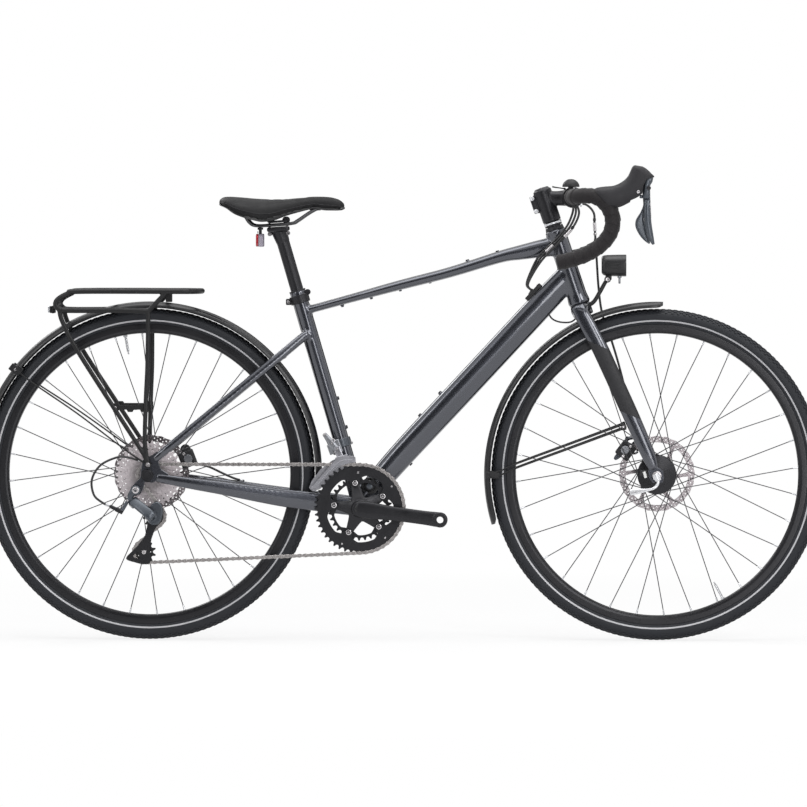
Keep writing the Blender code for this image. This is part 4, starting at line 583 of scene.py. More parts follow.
def axle_distance(tree, place, x, z):
    """Distance from a wheel's axle, as a socket."""
    split = add(tree, "SeparateXYZ", {0: place}).outputs
    centre = V(x, 0, z)
    dx = worked_out(tree, "SUBTRACT", split["X"], centre.x)
    dz = worked_out(tree, "SUBTRACT", split["Z"], centre.z)
    flat = add(tree, "CombineXYZ", {0: dx, 1: 0, 2: dz}).outputs[0]
    return add(tree, "VectorMath", {0: flat}, operation="LENGTH").outputs["Value"]


def toned(tree, shader, mix, scale):
    """Makes the base colour darker or lighter by the scale socket."""
    tone = add(tree, "VectorMath", {0: mix.outputs[2], "Scale": scale}, operation="SCALE").outputs[0]
    tree.links.new(tone, shader.inputs["Base Color"])


def waves(tree, distance, step_mm):
    """A sine wave along a distance, one every step_mm."""
    return worked_out(tree, "SINE", worked_out(tree, "MULTIPLY", distance, 2 * pi / (step_mm * MM)))


def make_finishes(colours, sizes):
    """Every finish of the bike, each started from what the real one is made of."""
    # Metallic lacquer under a clear coat, sprayed on aluminium: tiny bright flakes deep under a hard
    # gloss, brighter where it faces the light and almost black where it turns away
    tree, shader, place, mix, bump = finish(
        "metallic_lacquer", colours.lacquer, 0.26, 0.85, tint=0.04, tint_mm=60, rough_change=0.02,
        grain_mm=9, grain_depth=0.002, Coat_Weight=1, Coat_Roughness=0.05, Coat_IOR=1.5)
    flakes = add(tree, "TexVoronoi", {"Vector": place, "Scale": 1 / sizes.flake}).outputs["Color"]
    shine = add(tree, "SeparateColor", {0: flakes}).outputs[0]
    toned(tree, shader, mix, ranged(tree, shine, 0, 1, 0.97, 1.03))

    # Matt lacquer: the same spray without its gloss coat, a soft even black with a faint orange peel
    finish("matt_lacquer", colours.matt_lacquer, 0.52, 0.2, tint=0.06, grain_mm=1, grain_depth=0.01)

    # Aluminium, bead blasted and anodised black: a soft metallic sheen over a fine blasted grain
    finish("anodised_black", colours.anodised, 0.36, 0.55, tint=0.08, grain_mm=0.7, grain_depth=0.01,
           rough_change=0.05)

    # Rims of the same aluminium with their brake-free sides polished a little smoother by the die
    finish("rim_anodised", colours.anodised, 0.3, 0.5, tint=0.07, tint_mm=90, grain_mm=0.8, grain_depth=0.008)

    # Powder coat on the rack's tubes: a thick satin plastic skin with a pebbled orange peel
    finish("powder_coat", colours.powder, 0.48, 0, tint=0.08, grain_mm=1.6, grain_depth=0.03,
           Specular_IOR_Level=0.4)

    # Nylon moulded in a sparked tool: satin black with an even fine grain
    finish("moulded_nylon", colours.nylon, 0.4, 0, tint=0.08, grain_mm=0.9, grain_depth=0.02)

    # Polycarbonate mudguard extrusion: smooth satin black that shows long soft reflections
    finish("mudguard_plastic", colours.nylon, 0.33, 0, tint=0.06, tint_mm=80, grain_mm=2.4, grain_depth=0.01,
           rough_change=0.05)

    # Die-cast aluminium under a thin metallic blue-grey paint: soft shine, slightly uneven skin
    finish("cast_grey", colours.casting, 0.38, 0.65, tint=0.08, grain_mm=1.1, grain_depth=0.015,
           Coat_Weight=0.3, Coat_Roughness=0.2)

    # Front changer's body: bead blasted aluminium under clear lacquer, a pale satin grey
    finish("satin_grey", colours.satin, 0.36, 0.85, tint=0.08, tint_mm=10, grain_mm=0.8, grain_depth=0.006)

    # Stamped steel of the front changer's cage, plated pale and smooth
    finish("cage_steel", colours.cage, 0.33, 0.85, tint=0.05, tint_mm=9, grain_mm=1.2, grain_depth=0.002)

    # Forged alloy, polished and lacquered: pale and smooth, its highlights a little soft
    finish("polished_alloy", colours.bright, 0.36, 0.75, tint=0.04, tint_mm=12, grain_mm=1, grain_depth=0.002)

    # ABS moulded in pale grey, behind the red lens
    finish("pale_abs", colours.pale, 0.45, 0, tint=0.04, tint_mm=10, grain_mm=0.9, grain_depth=0.01)

    # Stainless steel, tumbled and brushed: bright and neutral with fine hair lines
    tree, shader, place, mix, bump = finish(
        "brushed_stainless", colours.stainless, 0.27, 1, tint=0.08, tint_mm=12, grain_mm=1.5,
        grain_depth=0.004)
    hair = add(tree, "Mapping", {"Vector": place, "Scale": (1 / (6 * MM), 1 / (0.4 * MM), 1 / (0.4 * MM))})
    lines = add(tree, "TexNoise", {"Vector": hair.outputs[0], "Scale": 1, "Detail": 2}).outputs["Fac"]
    relief(tree, shader, lines, 0.002, bump)

    # Disc steel, ground flat on a turntable: bright rings that follow the disc, drawn 0.8 mm apart
    for end, axle in (("front", FRONT_AXLE), ("rear", REAR_AXLE)):
        tree, shader, place, mix, bump = finish(
            end + "_disc_steel", colours.disc, 0.3, 1, tint=0.1, tint_mm=18, grain_mm=1.5,
            grain_depth=0.004)
        radius = axle_distance(tree, place, *axle)
        relief(tree, shader, waves(tree, radius, 0.8), 0.005, bump)
        toned(tree, shader, mix, ranged(tree, radius, 0.0655, 0.067, 0.86, 1))

    # Zinc plated steel of small bolts: bright, a little milky
    finish("zinc_plate", colours.stainless, 0.27, 1, tint=0.1, tint_mm=4, grain_mm=0.6, grain_depth=0.003)

    # Nickel plated chain steel under a film of oil: mid grey with dark greasy patches
    finish("chain_steel", colours.chain, 0.3, 0.95, tint=0.3, tint_mm=5, grain_mm=0.8, grain_depth=0.01,
           rough_change=0.1)

    # Stamped cogs with a pale nickel chrome plating, slightly satin; the small ones and the cogs' middles
    # darker, partly for oil and partly as painted shade between the close-set cogs
    tree, shader, place, mix, bump = finish(
        "cog_plate", colours.cogs, 0.36, 0.6, tint=0.1, tint_mm=6, grain_mm=0.8, grain_depth=0.003)
    radius = axle_distance(tree, place, *REAR_AXLE)
    # Painted shade and oil: the tone falls to half from 44 mm to 28 mm from the rear axle
    toned(tree, shader, mix, ranged(tree, radius, 0.028, 0.044, 0.5, 1))

    # Spoke wire, stainless with a dark chemical finish
    finish("spoke_wire", colours.spoke, 0.32, 0.85, tint=0.06, grain_mm=0.8, grain_depth=0.004)

    # Vulcanised rubber: dull black with mould flow marks and a little pale bloom
    finish(
        "tyre_rubber", colours.tyre, 0.62, 0, tint=0.14, tint_mm=30, grain_mm=1.4, grain_depth=0.05,
        Specular_IOR_Level=0.35)

    # Glass bead tape fused into the tyre's side: a pale grey stripe with a faint pearly grain
    finish("reflective_stripe", colours.stripe, 0.42, 0.15, tint=0.05, tint_mm=6, grain_mm=0.7,
           grain_depth=0.01)

    # Soft thermoplastic rubber of the hoods: matt, with a fine pebble that grips the hand
    tree, shader, place, mix, bump = finish(
        "hood_rubber", colours.hood, 0.56, 0, tint=0.08, tint_mm=15, grain_mm=1, grain_depth=0.02,
        Specular_IOR_Level=0.4)
    pebble = add(tree, "TexVoronoi", {"Vector": place, "Scale": 1 / (1.9 * MM)}).outputs["Distance"]
    relief(tree, shader, pebble, 0.06, bump)

    # EVA foam tape: matt and slightly warm, pressed with small dimples about 3 mm apart
    tree, shader, place, mix, bump = finish(
        "foam_tape", colours.tape, 0.68, 0, tint=0.1, tint_mm=14, grain_mm=0.9, grain_depth=0.03,
        Sheen_Weight=0.12, Sheen_Roughness=0.5, Specular_IOR_Level=0.3)
    dimple = add(tree, "TexVoronoi", {"Vector": place, "Scale": 1 / (2.6 * MM), "Smoothness": 0.4},
                 feature="SMOOTH_F1").outputs["Distance"]
    relief(tree, shader, dimple, 0.18, bump)

    # Polyurethane synthetic leather on the saddle: satin black with a pressed leather grain of 1.5 mm
    tree, shader, place, mix, bump = finish(
        "saddle_leather", colours.saddle, 0.56, 0, tint=0.1, tint_mm=20, grain_mm=0.7, grain_depth=0.02,
        Specular_IOR_Level=0.25)
    cell = add(tree, "TexVoronoi", {"Vector": place, "Scale": 1 / (1.5 * MM)},
               feature="DISTANCE_TO_EDGE").outputs["Distance"]
    relief(tree, shader, ranged(tree, cell, 0, 0.18, 0, 1), 0.07, bump)

    # PVC cable sheath: smooth extruded black with a soft gloss
    finish("cable_sheath", colours.sheath, 0.33, 0, tint=0.06, grain_mm=2, grain_depth=0.006)

    # Red acrylic moulded with a grid of small prisms of 3 mm on its face
    tree, shader, place, mix, bump = finish(
        "reflector_acrylic", colours.reflector, 0.12, 0, tint=0.1, tint_mm=6, grain_mm=3,
        grain_depth=0.01, Coat_Weight=0.8, Coat_Roughness=0.03)
    prism = add(tree, "TexVoronoi", {"Vector": place, "Scale": 1 / (2.8 * MM)},
                distance="CHEBYCHEV").outputs["Distance"]
    relief(tree, shader, prism, 0.5, bump)
    toned(tree, shader, mix, ranged(tree, prism, 0, 0.7, 1.25, 0.55))

    # Clear polycarbonate lens with moulded ribs over a bright bowl
    tree, shader, place, mix, bump = finish(
        "lamp_lens", linear("c9ccd0"), 0.1, 0.25, tint=0.06, tint_mm=10, grain_mm=4, grain_depth=0.01,
        Coat_Weight=1, Coat_Roughness=0.02)
    across = add(tree, "SeparateXYZ", {0: place}).outputs["Y"]
    relief(tree, shader, waves(tree, across, 3.2), 0.25, bump)

    # White nylon of the plug, moulded and faintly translucent
    finish("white_nylon", colours.plug, 0.38, 0, tint=0.03, grain_mm=0.9, grain_depth=0.01)

    # Turned aluminium of the cable ends and adjusters, left bare: bright, with faint tool marks
    finish("turned_aluminium", linear("c6c7ca"), 0.22, 1, tint=0.05, tint_mm=5, grain_mm=0.7,
           grain_depth=0.004)


# Wheels

CASING = [(309.4, 9.15), (312.6, 9.5), (315, 10.6), (317.4, 12), (318.2, 12.7), (319.4, 12.9), (322, 14.9),
          (325.5, 17), (331, 18.35), (337, 17.55), (341, 14.8), (344.2, 11.3), (346.5, 6.4), (347.6, 0)]
SPOKE_COUNT = 32
RIM_IN_R = 297
FLANGES = {"front": ((38, -24), (38, 24)), "rear": ((24, -20), (26, 33))}
HUBS = {
    "front": [(5.6, -46.5), (9.5, -46.5), (10.8, -45.6), (11.2, -36.5), (14, -33.2), (37.5, -28.2),
              (40.2, -27.4), (41, -26.2), (41, -21.8), (40.3, -20.6), (37.8, -18.6), (37.2, -16.4),
              (37.2, 16.4), (37.8, 18.6), (40.3, 20.6), (41, 21.8), (41, 26.2), (40.2, 27.4),
              (26, 30), (23.4, 33), (20.4, 38), (20.4, 43.4), (18.4, 44.8), (5.6, 46.5)],
    "rear": [(5.6, -22.8), (13, -22.8), (27.2, -22.2), (28, -21.4), (28, -17.9), (27.2, -17),
             (17, -13.5), (15.2, -11), (14.4, -2), (14.4, 14), (15.6, 23), (19, 28),
             (29.2, 30.4), (30, 31.3), (30, 34.9), (29.2, 35.9), (24, 38.8), (21, 43),
             (20.4, 50.5), (20.4, 55.9), (18.2, 57.6), (12, 63.5), (5.6, 64.5)],
}


def casing_at(radius):
    """Half width of the tyre's side at this radius."""
    for (r0, y0), (r1, y1) in zip(CASING, CASING[1:]):
        if r0 <= radius <= r1:
            return y0 + (y1 - y0) * (radius - r0) / (r1 - r0)
    return 0


def tread(x, z, height):
    """Low knobs in seven staggered rows over the crown and both shoulders."""
    knobs = []
    count = 168
    rows = [(347.55, 0, 0, 3.4, 4.3), (346.4, 6.5, 17, 2.5, 3.6), (344, 11.5, 36, 2.1, 3.9),
            (340.9, 14.9, 51, 1.7, 2.4)]
    for row, (radius, y, tilt, half_y, half_long) in enumerate(rows):
        lean = radians(tilt)
        for sign in ((1,) if y == 0 else (-1, 1)):
            for k in range(count):
                a = 2 * pi * (k + (0.5 if row % 2 else 0)) / count
                out = Vector((cos(a), 0, sin(a)))
                along = Vector((-sin(a), 0, cos(a)))
                normal = out * cos(lean) + Y_AXIS * (sin(lean) * sign)
                side = along.cross(normal)
                centre = V(x, sign * y, z) + out * (radius * MM)
                rings = []
                for h, shrink in ((-0.9, 1), (height / MM - 0.25, 0.9), (height / MM, 0.78)):
                    ring = []
                    for u, v in ((-1, -1), (1, -1), (1, 1), (-1, 1)):
                        ring.append(centre + normal * (h * MM) + side * (u * half_y * shrink * MM)
                                    + along * (v * half_long * shrink * MM))
                    rings.append(ring)
                shape = skin(rings)
                knobs.append((shape[0], shape[1][:-2] + shape[1][-1:]))
    return merged(*knobs)


def tyre_and_rim(end, x, z, sizes):
    """Tyre with knobs, its reflective stripes, the box-section rim and the valve."""
    sides = [(r, -y) for r, y in CASING] + [(r, y) for r, y in reversed(CASING[:-1])]
    inner = [(309.4, 6.4), (313, 6.9), (322, 12.6), (331, 15.2), (338, 13.4), (342.5, 8.5), (344.2, 0)]
    loop = sides + inner + [(r, -y) for r, y in reversed(inner[:-1])]
    shape = merged(turned(loop, x, z, 180), tread(x, z, sizes.knob))
    piece(end + "_tyre_with_tread", shape, "tyre_rubber", end + "_tire", True, angle=30)

    middle = 324
    low, high = middle - sizes.stripe / MM / 2, middle + sizes.stripe / MM / 2
    bands = []
    for sign in (-1, 1):
        band = [(low, sign * (casing_at(low) - 0.4)), (low, sign * (casing_at(low) + 0.22)),
                (middle, sign * (casing_at(middle) + 0.36)), (high, sign * (casing_at(high) + 0.22)),
                (high, sign * (casing_at(high) - 0.4))]
        bands.append(turned(band, x, z, 180))
    piece(end + "_tyre_stripes", bands, "reflective_stripe", end + "_tire")

    half = [(297, 2.6), (297.4, 6), (298.8, 9), (301.2, 11.2), (304.6, 12.2), (306, 12.35), (314.8, 12.5),
            (316.2, 12.4), (317, 11.8), (317, 10.8), (316, 10.2), (313.4, 9.35), (309.9, 9.2), (309.15, 8.7),
            (308.2, 5), (306.8, 3)]
    loop = half + [(r, -y) for r, y in reversed(half)]
    rim = turned(loop, x, z, 192)
    valve_angle = radians(-62 if end == "front" else 100)
    ux, uz = cos(valve_angle), sin(valve_angle)
    piece(end + "_rim_extrusion", rim, "rim_anodised", end + "_rim", True, angle=24)
    stem = merged(rod(V(x + 298 * ux, 0, z + 298 * uz), V(x + 262 * ux, 0, z + 262 * uz), 2.7, 16),
                  rod(V(x + 264 * ux, 0, z + 264 * uz), V(x + 256 * ux, 0, z + 256 * uz), 1.5, 10),
                  rod(V(x + 297.6 * ux, 0, z + 297.6 * uz), V(x + 293.4 * ux, 0, z + 293.4 * uz), 4.6, 6))
    piece(end + "_valve_stem", stem, "turned_aluminium", end + "_rim")


def spoke_run(end, x, z, side, k):
    """The hub end and rim end of one spoke, crossed three times, and which way its elbow faces."""
    flange_r, flange_y = FLANGES[end][side]
    sign = -1 if side == 0 else 1
    hub_angle = 4 * pi * k / SPOKE_COUNT + side * 2 * pi / SPOKE_COUNT + radians(3)
    trail = 1 if k % 2 else -1
    rim_angle = hub_angle + trail * radians(67.5)
    a = V(x + flange_r * cos(hub_angle), flange_y + sign * trail * 2.6, z + flange_r * sin(hub_angle))
    b = V(x + RIM_IN_R * cos(rim_angle), sign * (2.4 + trail * 0.9), z + RIM_IN_R * sin(rim_angle))
    return a, b, sign * trail


def wheel_middle(end, x, z, sizes):
    """Hub shell, spokes with their elbows and heads, and nipples at the rim."""
    wires, heads, nipples = [], [], []
    radius = sizes.spoke / MM / 2
    for side in (0, 1):
        for k in range(SPOKE_COUNT // 2):
            a, b, facing_out = spoke_run(end, x, z, side, k)
            along = (b - a).normalized()
            through = a - Y_AXIS * (facing_out * 4.6 * MM)
            bend = [through, a - Y_AXIS * (facing_out * 1.2 * MM) - along * (0.2 * MM),
                    a + along * (2.2 * MM), b + along * (1 * MM)]
            wires.append(tube(bend, radius, 8, steps=1, first=along))
            heads.append(rod(through, through - Y_AXIS * (facing_out * 0.9 * MM), 2, 10))
            nipples.append(rod(b + along * (0.8 * MM), b - along * (11 * MM), 2.05, 10, 1.6))
    piece(end + "_spokes_crossed", [*wires, *heads], "spoke_wire", end + "_hub", angle=50)
    piece(end + "_nipples", nipples, "turned_aluminium", end + "_hub")
    shell = turned(HUBS[end], x, z, 72)
    name = "dynamo_drum" if end == "front" else "rear_hub_shell"
    if end == "front":
        bolts = [hex_head(V(bx, -30.6, bz), -Y_AXIS, 2.6, 1.2) for bx, bz in circle(x, z, 27, 5, radians(18))]
        piece("dynamo_cover_screws", bolts, "anodised_black", "front_hub")
    piece(name, shell, "anodised_black", end + "_hub", True, angle=32)


def disc(end, x, z, y):
    """Brake disc: scalloped rim, three rows of holes and six curved arms."""
    edge = []
    for k in range(192):
        a = 2 * pi * k / 192
        r = 79.3 + 0.7 * cos(24 * a)
        edge.append((r * cos(a), r * sin(a)))
    loops = [edge, circle(0, 0, 20.6, 48)]
    for k in range(6):
        start = pi / 3 * k
        bow = [(66.5, 0.06 + 0.1 * i) for i in range(10)] + [(56, 0.93), (44, 0.83), (31.5, 0.66)]
        bow += [(30.5, 0.45), (30.5, 0.20), (31.5, -0.06), (40, -0.03), (54, 0)]
        loops.append(rounded([(r * cos(start + a), r * sin(start + a)) for r, a in bow], 1.6, 2))
    for k in range(36):
        a = radians(10 * k)
        for r, shift, size in ((69.9, 0, 1.5), (73.6, 5, 1.7), (77, 0, 1.3)):
            turn = a + radians(shift)
            loops.append(circle(r * cos(turn), r * sin(turn), size, 10))
    shape = plate(loops, DISC_T, facing(y, x, z))
    piece(end + "_brake_disc", shape, end + "_disc_steel", end + "_rotor", True, angle=30)
    ring = [(14.2, y + 1.1), (20, y + 1.1), (24.5, y + 1.1), (25.2, y + 1.9), (24.6, y + 3), (16, y + 3.6),
            (14.2, y + 3)]
    teeth = [ydisc(*spot, y + 3, y + 4.3, 1, 8) for spot in circle(x, z, 17.5, 16)]
    piece(end + "_disc_lockring", [turned(ring, x, z, 64), *teeth], "anodised_black", end + "_rotor")


def front_axle():
    """Axle with its nuts, and the dynamo's socket with the lamp's plug."""
    x, z = FRONT_AXLE
    parts = [ydisc(x, z, -66, 66, 4.9, 24)]
    for sign in (-1, 1):
        parts.append(nut(V(x, sign * 47.2, z), Y_AXIS * sign, 8.6, 2.4))
        parts.append(turned(on_side(sign, [(0, 59.3), (9.4, 59.3), (10, 60.2), (10, 63.6), (8.6, 65.6),
                                           (0, 66)]), x, z, 36, looped=False))
    piece("front_axle_and_nuts", parts, "brushed_stainless", "front_axle", True)
    body = merged(block(V(1046, -40.8, 354), (24, 13.6, 13), edge=2.2, segments=3),
                  block(V(1062, -48.4, 349), (14, 2.4, 10), edge=0.9))
    piece("lamp_wire_socket", body, "moulded_nylon", "front_axle")
    cap = merged(block(V(1045, -49, 350.4), (6, 3.4, 14), pitched(-0.3), 1, 3),
                 block(V(1040, -44, 355), (9, 7, 7), None, 1.2, 3))
    piece("lamp_wire_plug", cap, "white_nylon", "front_axle")


def rear_axle():
    """Axle with its nuts and the black end on the drive side."""
    x, z = REAR_AXLE
    black = [nut(V(x, -75.5, z), -Y_AXIS, 12.6, 7), ydisc(x, z, -75.4, -77.2, 13, 40),
             ydisc(x, z, -82, -85, 6, 24)]
    silver = [ydisc(x, z, -84.5, 86, 4.9, 24), nut(V(x, -64.9, z), -Y_AXIS, 8.8, 2.4),
              nut(V(x, 65, z), Y_AXIS, 8.8, 2.4),
              turned([(0, 75.5), (9.4, 75.5), (10, 76.4), (10, 85.4), (8.6, 87.6), (0, 88)], x, z, 36,
                     looped=False)]
    piece("rear_axle_ends", silver, "brushed_stainless", "rear_axle", True)
    piece("rear_drive_side_nut", black, "anodised_black", "rear_axle")


def quick_release(end, centre, sign):
    """Polished cam lever: a barrel on the hinge and a blade that curves back and widens."""
    x, y, z = centre
    swing = Vector((-33, 0, 62)).normalized()
    hub = V(x, y, z)
    head = rod(hub - swing * (8.2 * MM), hub + swing * (8.2 * MM), 6.9, 36, edge=1.2)
    path = [hub, V(x + 2.6, y + sign * 2, z - 11), V(x - 4, y + sign * 3.4, z - 21),
            V(x - 17, y + sign * 4, z - 26), V(x - 38, y + sign * 3, z - 29),
            V(x - 55, y + sign * 1, z - 31.6)]
    blade = tube(path, [(3.2, 3.8), (3.2, 3), (3, 2.8), (2.7, 3), (2.3, 5.4), (1.8, 6.4)], 24, 2.4, 6,
                 round_ends=2.4)
    boss = ydisc(x, z, y, y + sign * 4.2, 8.2, 40, edge=1.2)
    piece(end + "_release_cam_lever", [head, boss, blade], "polished_alloy", end + "_release_lever", True,
          angle=45)
    cup = ydisc(x, z, y - sign * 4.5, y - sign * 7.2, 8.6, 32, edge=0.9)
    piece(end + "_release_cup", cup, "anodised_black", end + "_axle")


def wheels(sizes):
    """Both wheels with their discs, axles and quick release levers."""
    for end, (x, z), y in (("front", FRONT_AXLE, FRONT_DISC_Y), ("rear", REAR_AXLE, REAR_DISC_Y)):
        tyre_and_rim(end, x, z, sizes)
        wheel_middle(end, x, z, sizes)
        disc(end, x, z, y)
    front_axle()
    rear_axle()
    quick_release("front", (WHEELBASE, -73.4, WHEEL_R - 3), -1)
    quick_release("rear", (0, 95.4, WHEEL_R - 3), 1)


# Frame and fork

DOWN_SECTION = both_sides([(0.34, -1), (0.78, -0.9), (1, -0.5), (1, 0.02), (0.6, 0.88), (0.3, 1)])
TOP_SECTION = both_sides([(0.4, -1), (0.86, -0.72), (1, -0.15), (0.84, 0.62), (0.45, 1)])
DOWN_STATIONS = [(887, 0, 771, 17, 24), (860, 0, 742, 19, 26), (800, 0, 677.5, 22, 27), (650, 0, 516, 24, 27),
                 (540, 0, 398, 25, 26.5), (475, 0, 324, 28, 24), (446, 0, 290, 29, 17)]
TOP_STATIONS = [(866, 0, 831, 15, 20), (834, 0, 826, 16, 18.5), (781, 0, 816, 17, 14.5),
                (739, 0, 807, 17, 11.8), (634, 0, 774.6, 17.5, 10.2), (528, 0, 747.3, 17, 9.6),
                (423, 0, 718.9, 16, 8), (326, 0, 692.5, 14, 7.6)]


def stations_tube(stations, sides=32, power=2.4, steps=6):
    """A tube through (x, y, z, half width, half depth) stations."""
    return tube([V(x, y, z) for x, y, z, _, _ in stations], [(w, h) for _, _, _, w, h in stations], sides,
                power, steps)


def shaped_tube(stations, section, steps=6):
    """A tube with flat faces and creases, as hydroforming leaves them."""
    path = curved([V(x, y, z) for x, y, z, _, _ in stations], steps)
    sizes = curved([Vector((w, h)) for _, _, _, w, h in stations], steps)
    soft = rounded(section, 0.16, 3)
    rings = [[point + side * (s * size.x * MM) + up * (u * size.y * MM) for s, u in soft]
             for (point, side, up), size in zip(frames_along(path), sizes)]
    return skin(rings)


def stays(sign):
    """The chainstay and seatstay of one side."""
    chainstay = stations_tube([
        (438, sign * 25, 281, 9, 19), (380, sign * 29.5, 288, 8, 19.6), (343, sign * 33.5, 293.4, 7.3, 19.6),
        (276, sign * 42, 301.7, 7.3, 18.6), (160, sign * 58.5, 321, 7.5, 14.2),
        (86, sign * 68, 332.6, 6.5, 11.7), (36, sign * 71.7, 341, 4.4, 9.9),
        (18, sign * 71.7, 343.5, 4, 8.8)], power=2.9)
    seatstay = stations_tube([
        (334, sign * 15, 645, 7.2, 9), (318, sign * 21, 633, 7, 9.2), (270, sign * 33.5, 593, 6.8, 9.2),
        (180, sign * 49, 519, 6.6, 9), (60, sign * 70, 419.5, 6.2, 8.6), (28, sign * 71.7, 392.5, 4.2, 8.2),
        (14, sign * 71.7, 381, 4, 6.8)])
    return chainstay, seatstay


def dropout(sign):
    """The plate that holds the rear axle, with its open slot and, on the drive side, the hanger."""
    outline = [(-13, -13), (-7.5, -15.5), (-5.4, -14.5), (-5.4, 0), (-4.2, 3.6), (0, 5.5), (4.2, 3.6),
               (5.4, 0), (6.4, -14.5), (9.5, -15.6), (22, -9), (40, -13.5), (44, 2), (28, 12), (22, 28),
               (33, 42), (24, 50), (8, 40), (-8, 33), (-12, 14)]
    holes = [circle(EYELET[0], EYELET[1] - WHEEL_R, 2.6, 16)]
    if sign < 0:
        outline = [(-37, -38), (-34, -41), (-24, -43), (-15, -39), (-10, -30), (-7.5, -20)] + outline[1:]
        outline += [(-14, -6), (-34, -26)]
        holes.append(circle(HANGER[0], HANGER[1] - WHEEL_R, 5.2, 20))
    return plate([rounded(outline, 2.2, 3)] + holes, 7.2, facing(sign * REAR_END_Y, *REAR_AXLE), edge=0.9)


def frame_bores():
    """What the steerer, the seat post, the spindle and the eyelet bolts pass through."""
    return merged(rod(steer(HEAD_BOTTOM - 22), steer(HEAD_TOP + 22), 15.2, 32),
                  rod(seat_axis(SEAT_TOP_Z - 262), seat_axis(SEAT_TOP_Z + 20), POST_R + 0.25, 40),
                  ydisc(BB_X, BB_Z, -46, 46, 9.6, 32))


def bosses():
    """Threaded bosses with their bolts, and the cable guides below the top tube."""
    down_out = Vector((-0.731, 0, 0.682))
    seat_out = Vector((0.96, 0, 0.281))
    top_out = Vector((-0.26, 0, 0.966))
    bodies, bolts = [], []
    spots = [(V(572.3, 0, 471.8), down_out), (V(614.6, 0, 519), down_out), (V(549.5, 0, 372.3), -down_out),
             (V(395.2, 0, 508.6), seat_out), (V(413.2, 0, 447.8), seat_out), (V(671.5, 0, 796.6), top_out),
             (V(734.6, 0, 815.5), top_out)]
    for point, out in spots:
        bodies.append(rod(point - out * (1.4 * MM), point + out * (2.6 * MM), 4.9, 24, edge=0.8))
        bolts.append(hex_head(point + out * (2.5 * MM), out, 3.7, 2.7, 0.5))
    piece("bottle_bosses", bodies, "metallic_lacquer", "frame")
    piece("boss_bolts", bolts, "anodised_black", "frame")
    guides = []
    for x, z in ((406.8, 705.4), (467.8, 722), (528.8, 738.6), (591.6, 755.4)):
        point = V(x, 0, z)
        guides.append(rod(point + top_out * (4 * MM), point - top_out * (1.8 * MM), 4.4, 24, edge=0.8))
        guides.append(rod(point - top_out * (1.4 * MM), point - top_out * (4.4 * MM), 3, 20, edge=0.6))
    piece("cable_guide_bosses", guides, "metallic_lacquer", "frame")


def bottom_bracket():
    """Notched bearing cups, and the plug on the down tube above them."""
    cups = []
    for sign in (-1, 1):
        profile = on_side(sign, [(9.6, 33.6), (17.4, 33.6), (17.4, 35.6), (16.4, 36.4), (9.6, 36.4)])
        cups.append(turned(profile, BB_X, BB_Z, 64))
        cups += [ydisc(*spot, sign * 33.8, sign * 36, 1.5, 10) for spot in circle(BB_X, BB_Z, 16.6, 16)]
    piece("bottom_bracket_cups", cups, "anodised_black", "frame")
    x, z = 465.5, 325
    plug = merged(turned([(0, -33.6), (7.5, -33.2), (11.4, -31.6), (12.8, -29.4), (12.8, -25), (0, -25)], x,
                         z, 40, looped=False),
                  turned([(12.6, -25), (12.6, -29), (17.2, -28.6), (18, -27.2), (18, -25)], x, z, 40))
    teeth = [ydisc(*spot, -25, -29.6, 1.3, 8) for spot in circle(x, z, 15.4, 14)]
    piece("down_tube_plug", [plug, *teeth], "moulded_nylon", "frame")
    centre = turned([(0, -34.3), (4.6, -34.1), (6.2, -33.6), (6.2, -32.8), (0, -32.8)], x, z, 32,
                    looped=False)
    piece("down_tube_plug_centre", centre, "cast_grey", "frame")


def port():
    """The cable port on the down tube, a moulded plate with three mouths and a screw."""
    turn = Matrix.Rotation(-0.8215, 4, "Y")
    place = Matrix.Translation(V(810, 0, 733)) @ turn
    outline = [(-21, -6), (-16, -8), (16, -8), (21, -6), (21, 6), (16, 8), (-16, 8), (-21, 6)]
    base = plate([rounded(outline, 3, 4)], 9, place, edge=1.2)
    mouths = [rod(V(801.5, y, 727), V(808.4, y, 739.5), 3.4, 20, 3, edge=0.5) for y in (-6.2, -1.8, 2.4)]
    up = turn.to_3x3() @ Z_AXIS
    along = turn.to_3x3() @ X_AXIS
    screw = hex_head(V(810, 0, 733) + along * (17 * MM) + up * (4.3 * MM), up, 2.5, 1.2)
    piece("cable_port_plate", [base, *mouths], "moulded_nylon", "frame")
    piece("cable_port_screw", screw, "zinc_plate", "frame")


def seat_collar():
    """The clamp at the seat tube's top, slit at the back and drawn together by one bolt."""
    middle = seat_axis(SEAT_TOP_Z - 19)
    collar = rod(seat_axis(SEAT_TOP_Z - 27.5), seat_axis(SEAT_TOP_Z - 10.5), SEAT_TUBE_R + 4.2, 48, edge=1)
    ear = block(middle + Vector((-0.0225, 0, -0.006)), (13, 17, 13), edge=2, segments=3)
    bore = rod(seat_axis(SEAT_TOP_Z - 42), seat_axis(SEAT_TOP_Z + 4), SEAT_TUBE_R + 0.3, 48)
    split = block(middle + Vector((-0.026, 0, -0.006)), (24, 1.6, 28), edge=0.05)
    lug = merged(ear, ydisc(333.6, 733, -8.2, 8.2, 6.2, 36, edge=1.2))
    made = carved(carved(collar, lug, operation="UNION"), bore, split)
    piece("seat_collar", made, "anodised_black", "seat_clamp", True)
    centre = middle + Vector((-0.0232, 0, -0.006))
    bolt = merged(hex_head(centre - Y_AXIS * (8.4 * MM), -Y_AXIS, 3.6, 3),
                  rod(centre + Y_AXIS * (8.4 * MM), centre + Y_AXIS * (10.4 * MM), 3.4, 24))
    piece("seat_collar_bolt", bolt, "zinc_plate", "seat_clamp")
    lip = rod(seat_axis(SEAT_TOP_Z - 3), seat_axis(SEAT_TOP_Z), SEAT_TUBE_R + 1.1, 48, edge=0.8)
    inner = rod(seat_axis(SEAT_TOP_Z - 9), seat_axis(SEAT_TOP_Z + 9), POST_R + 0.3, 48)
    piece("seat_tube_lip", carved(lip, inner), "moulded_nylon", "frame")


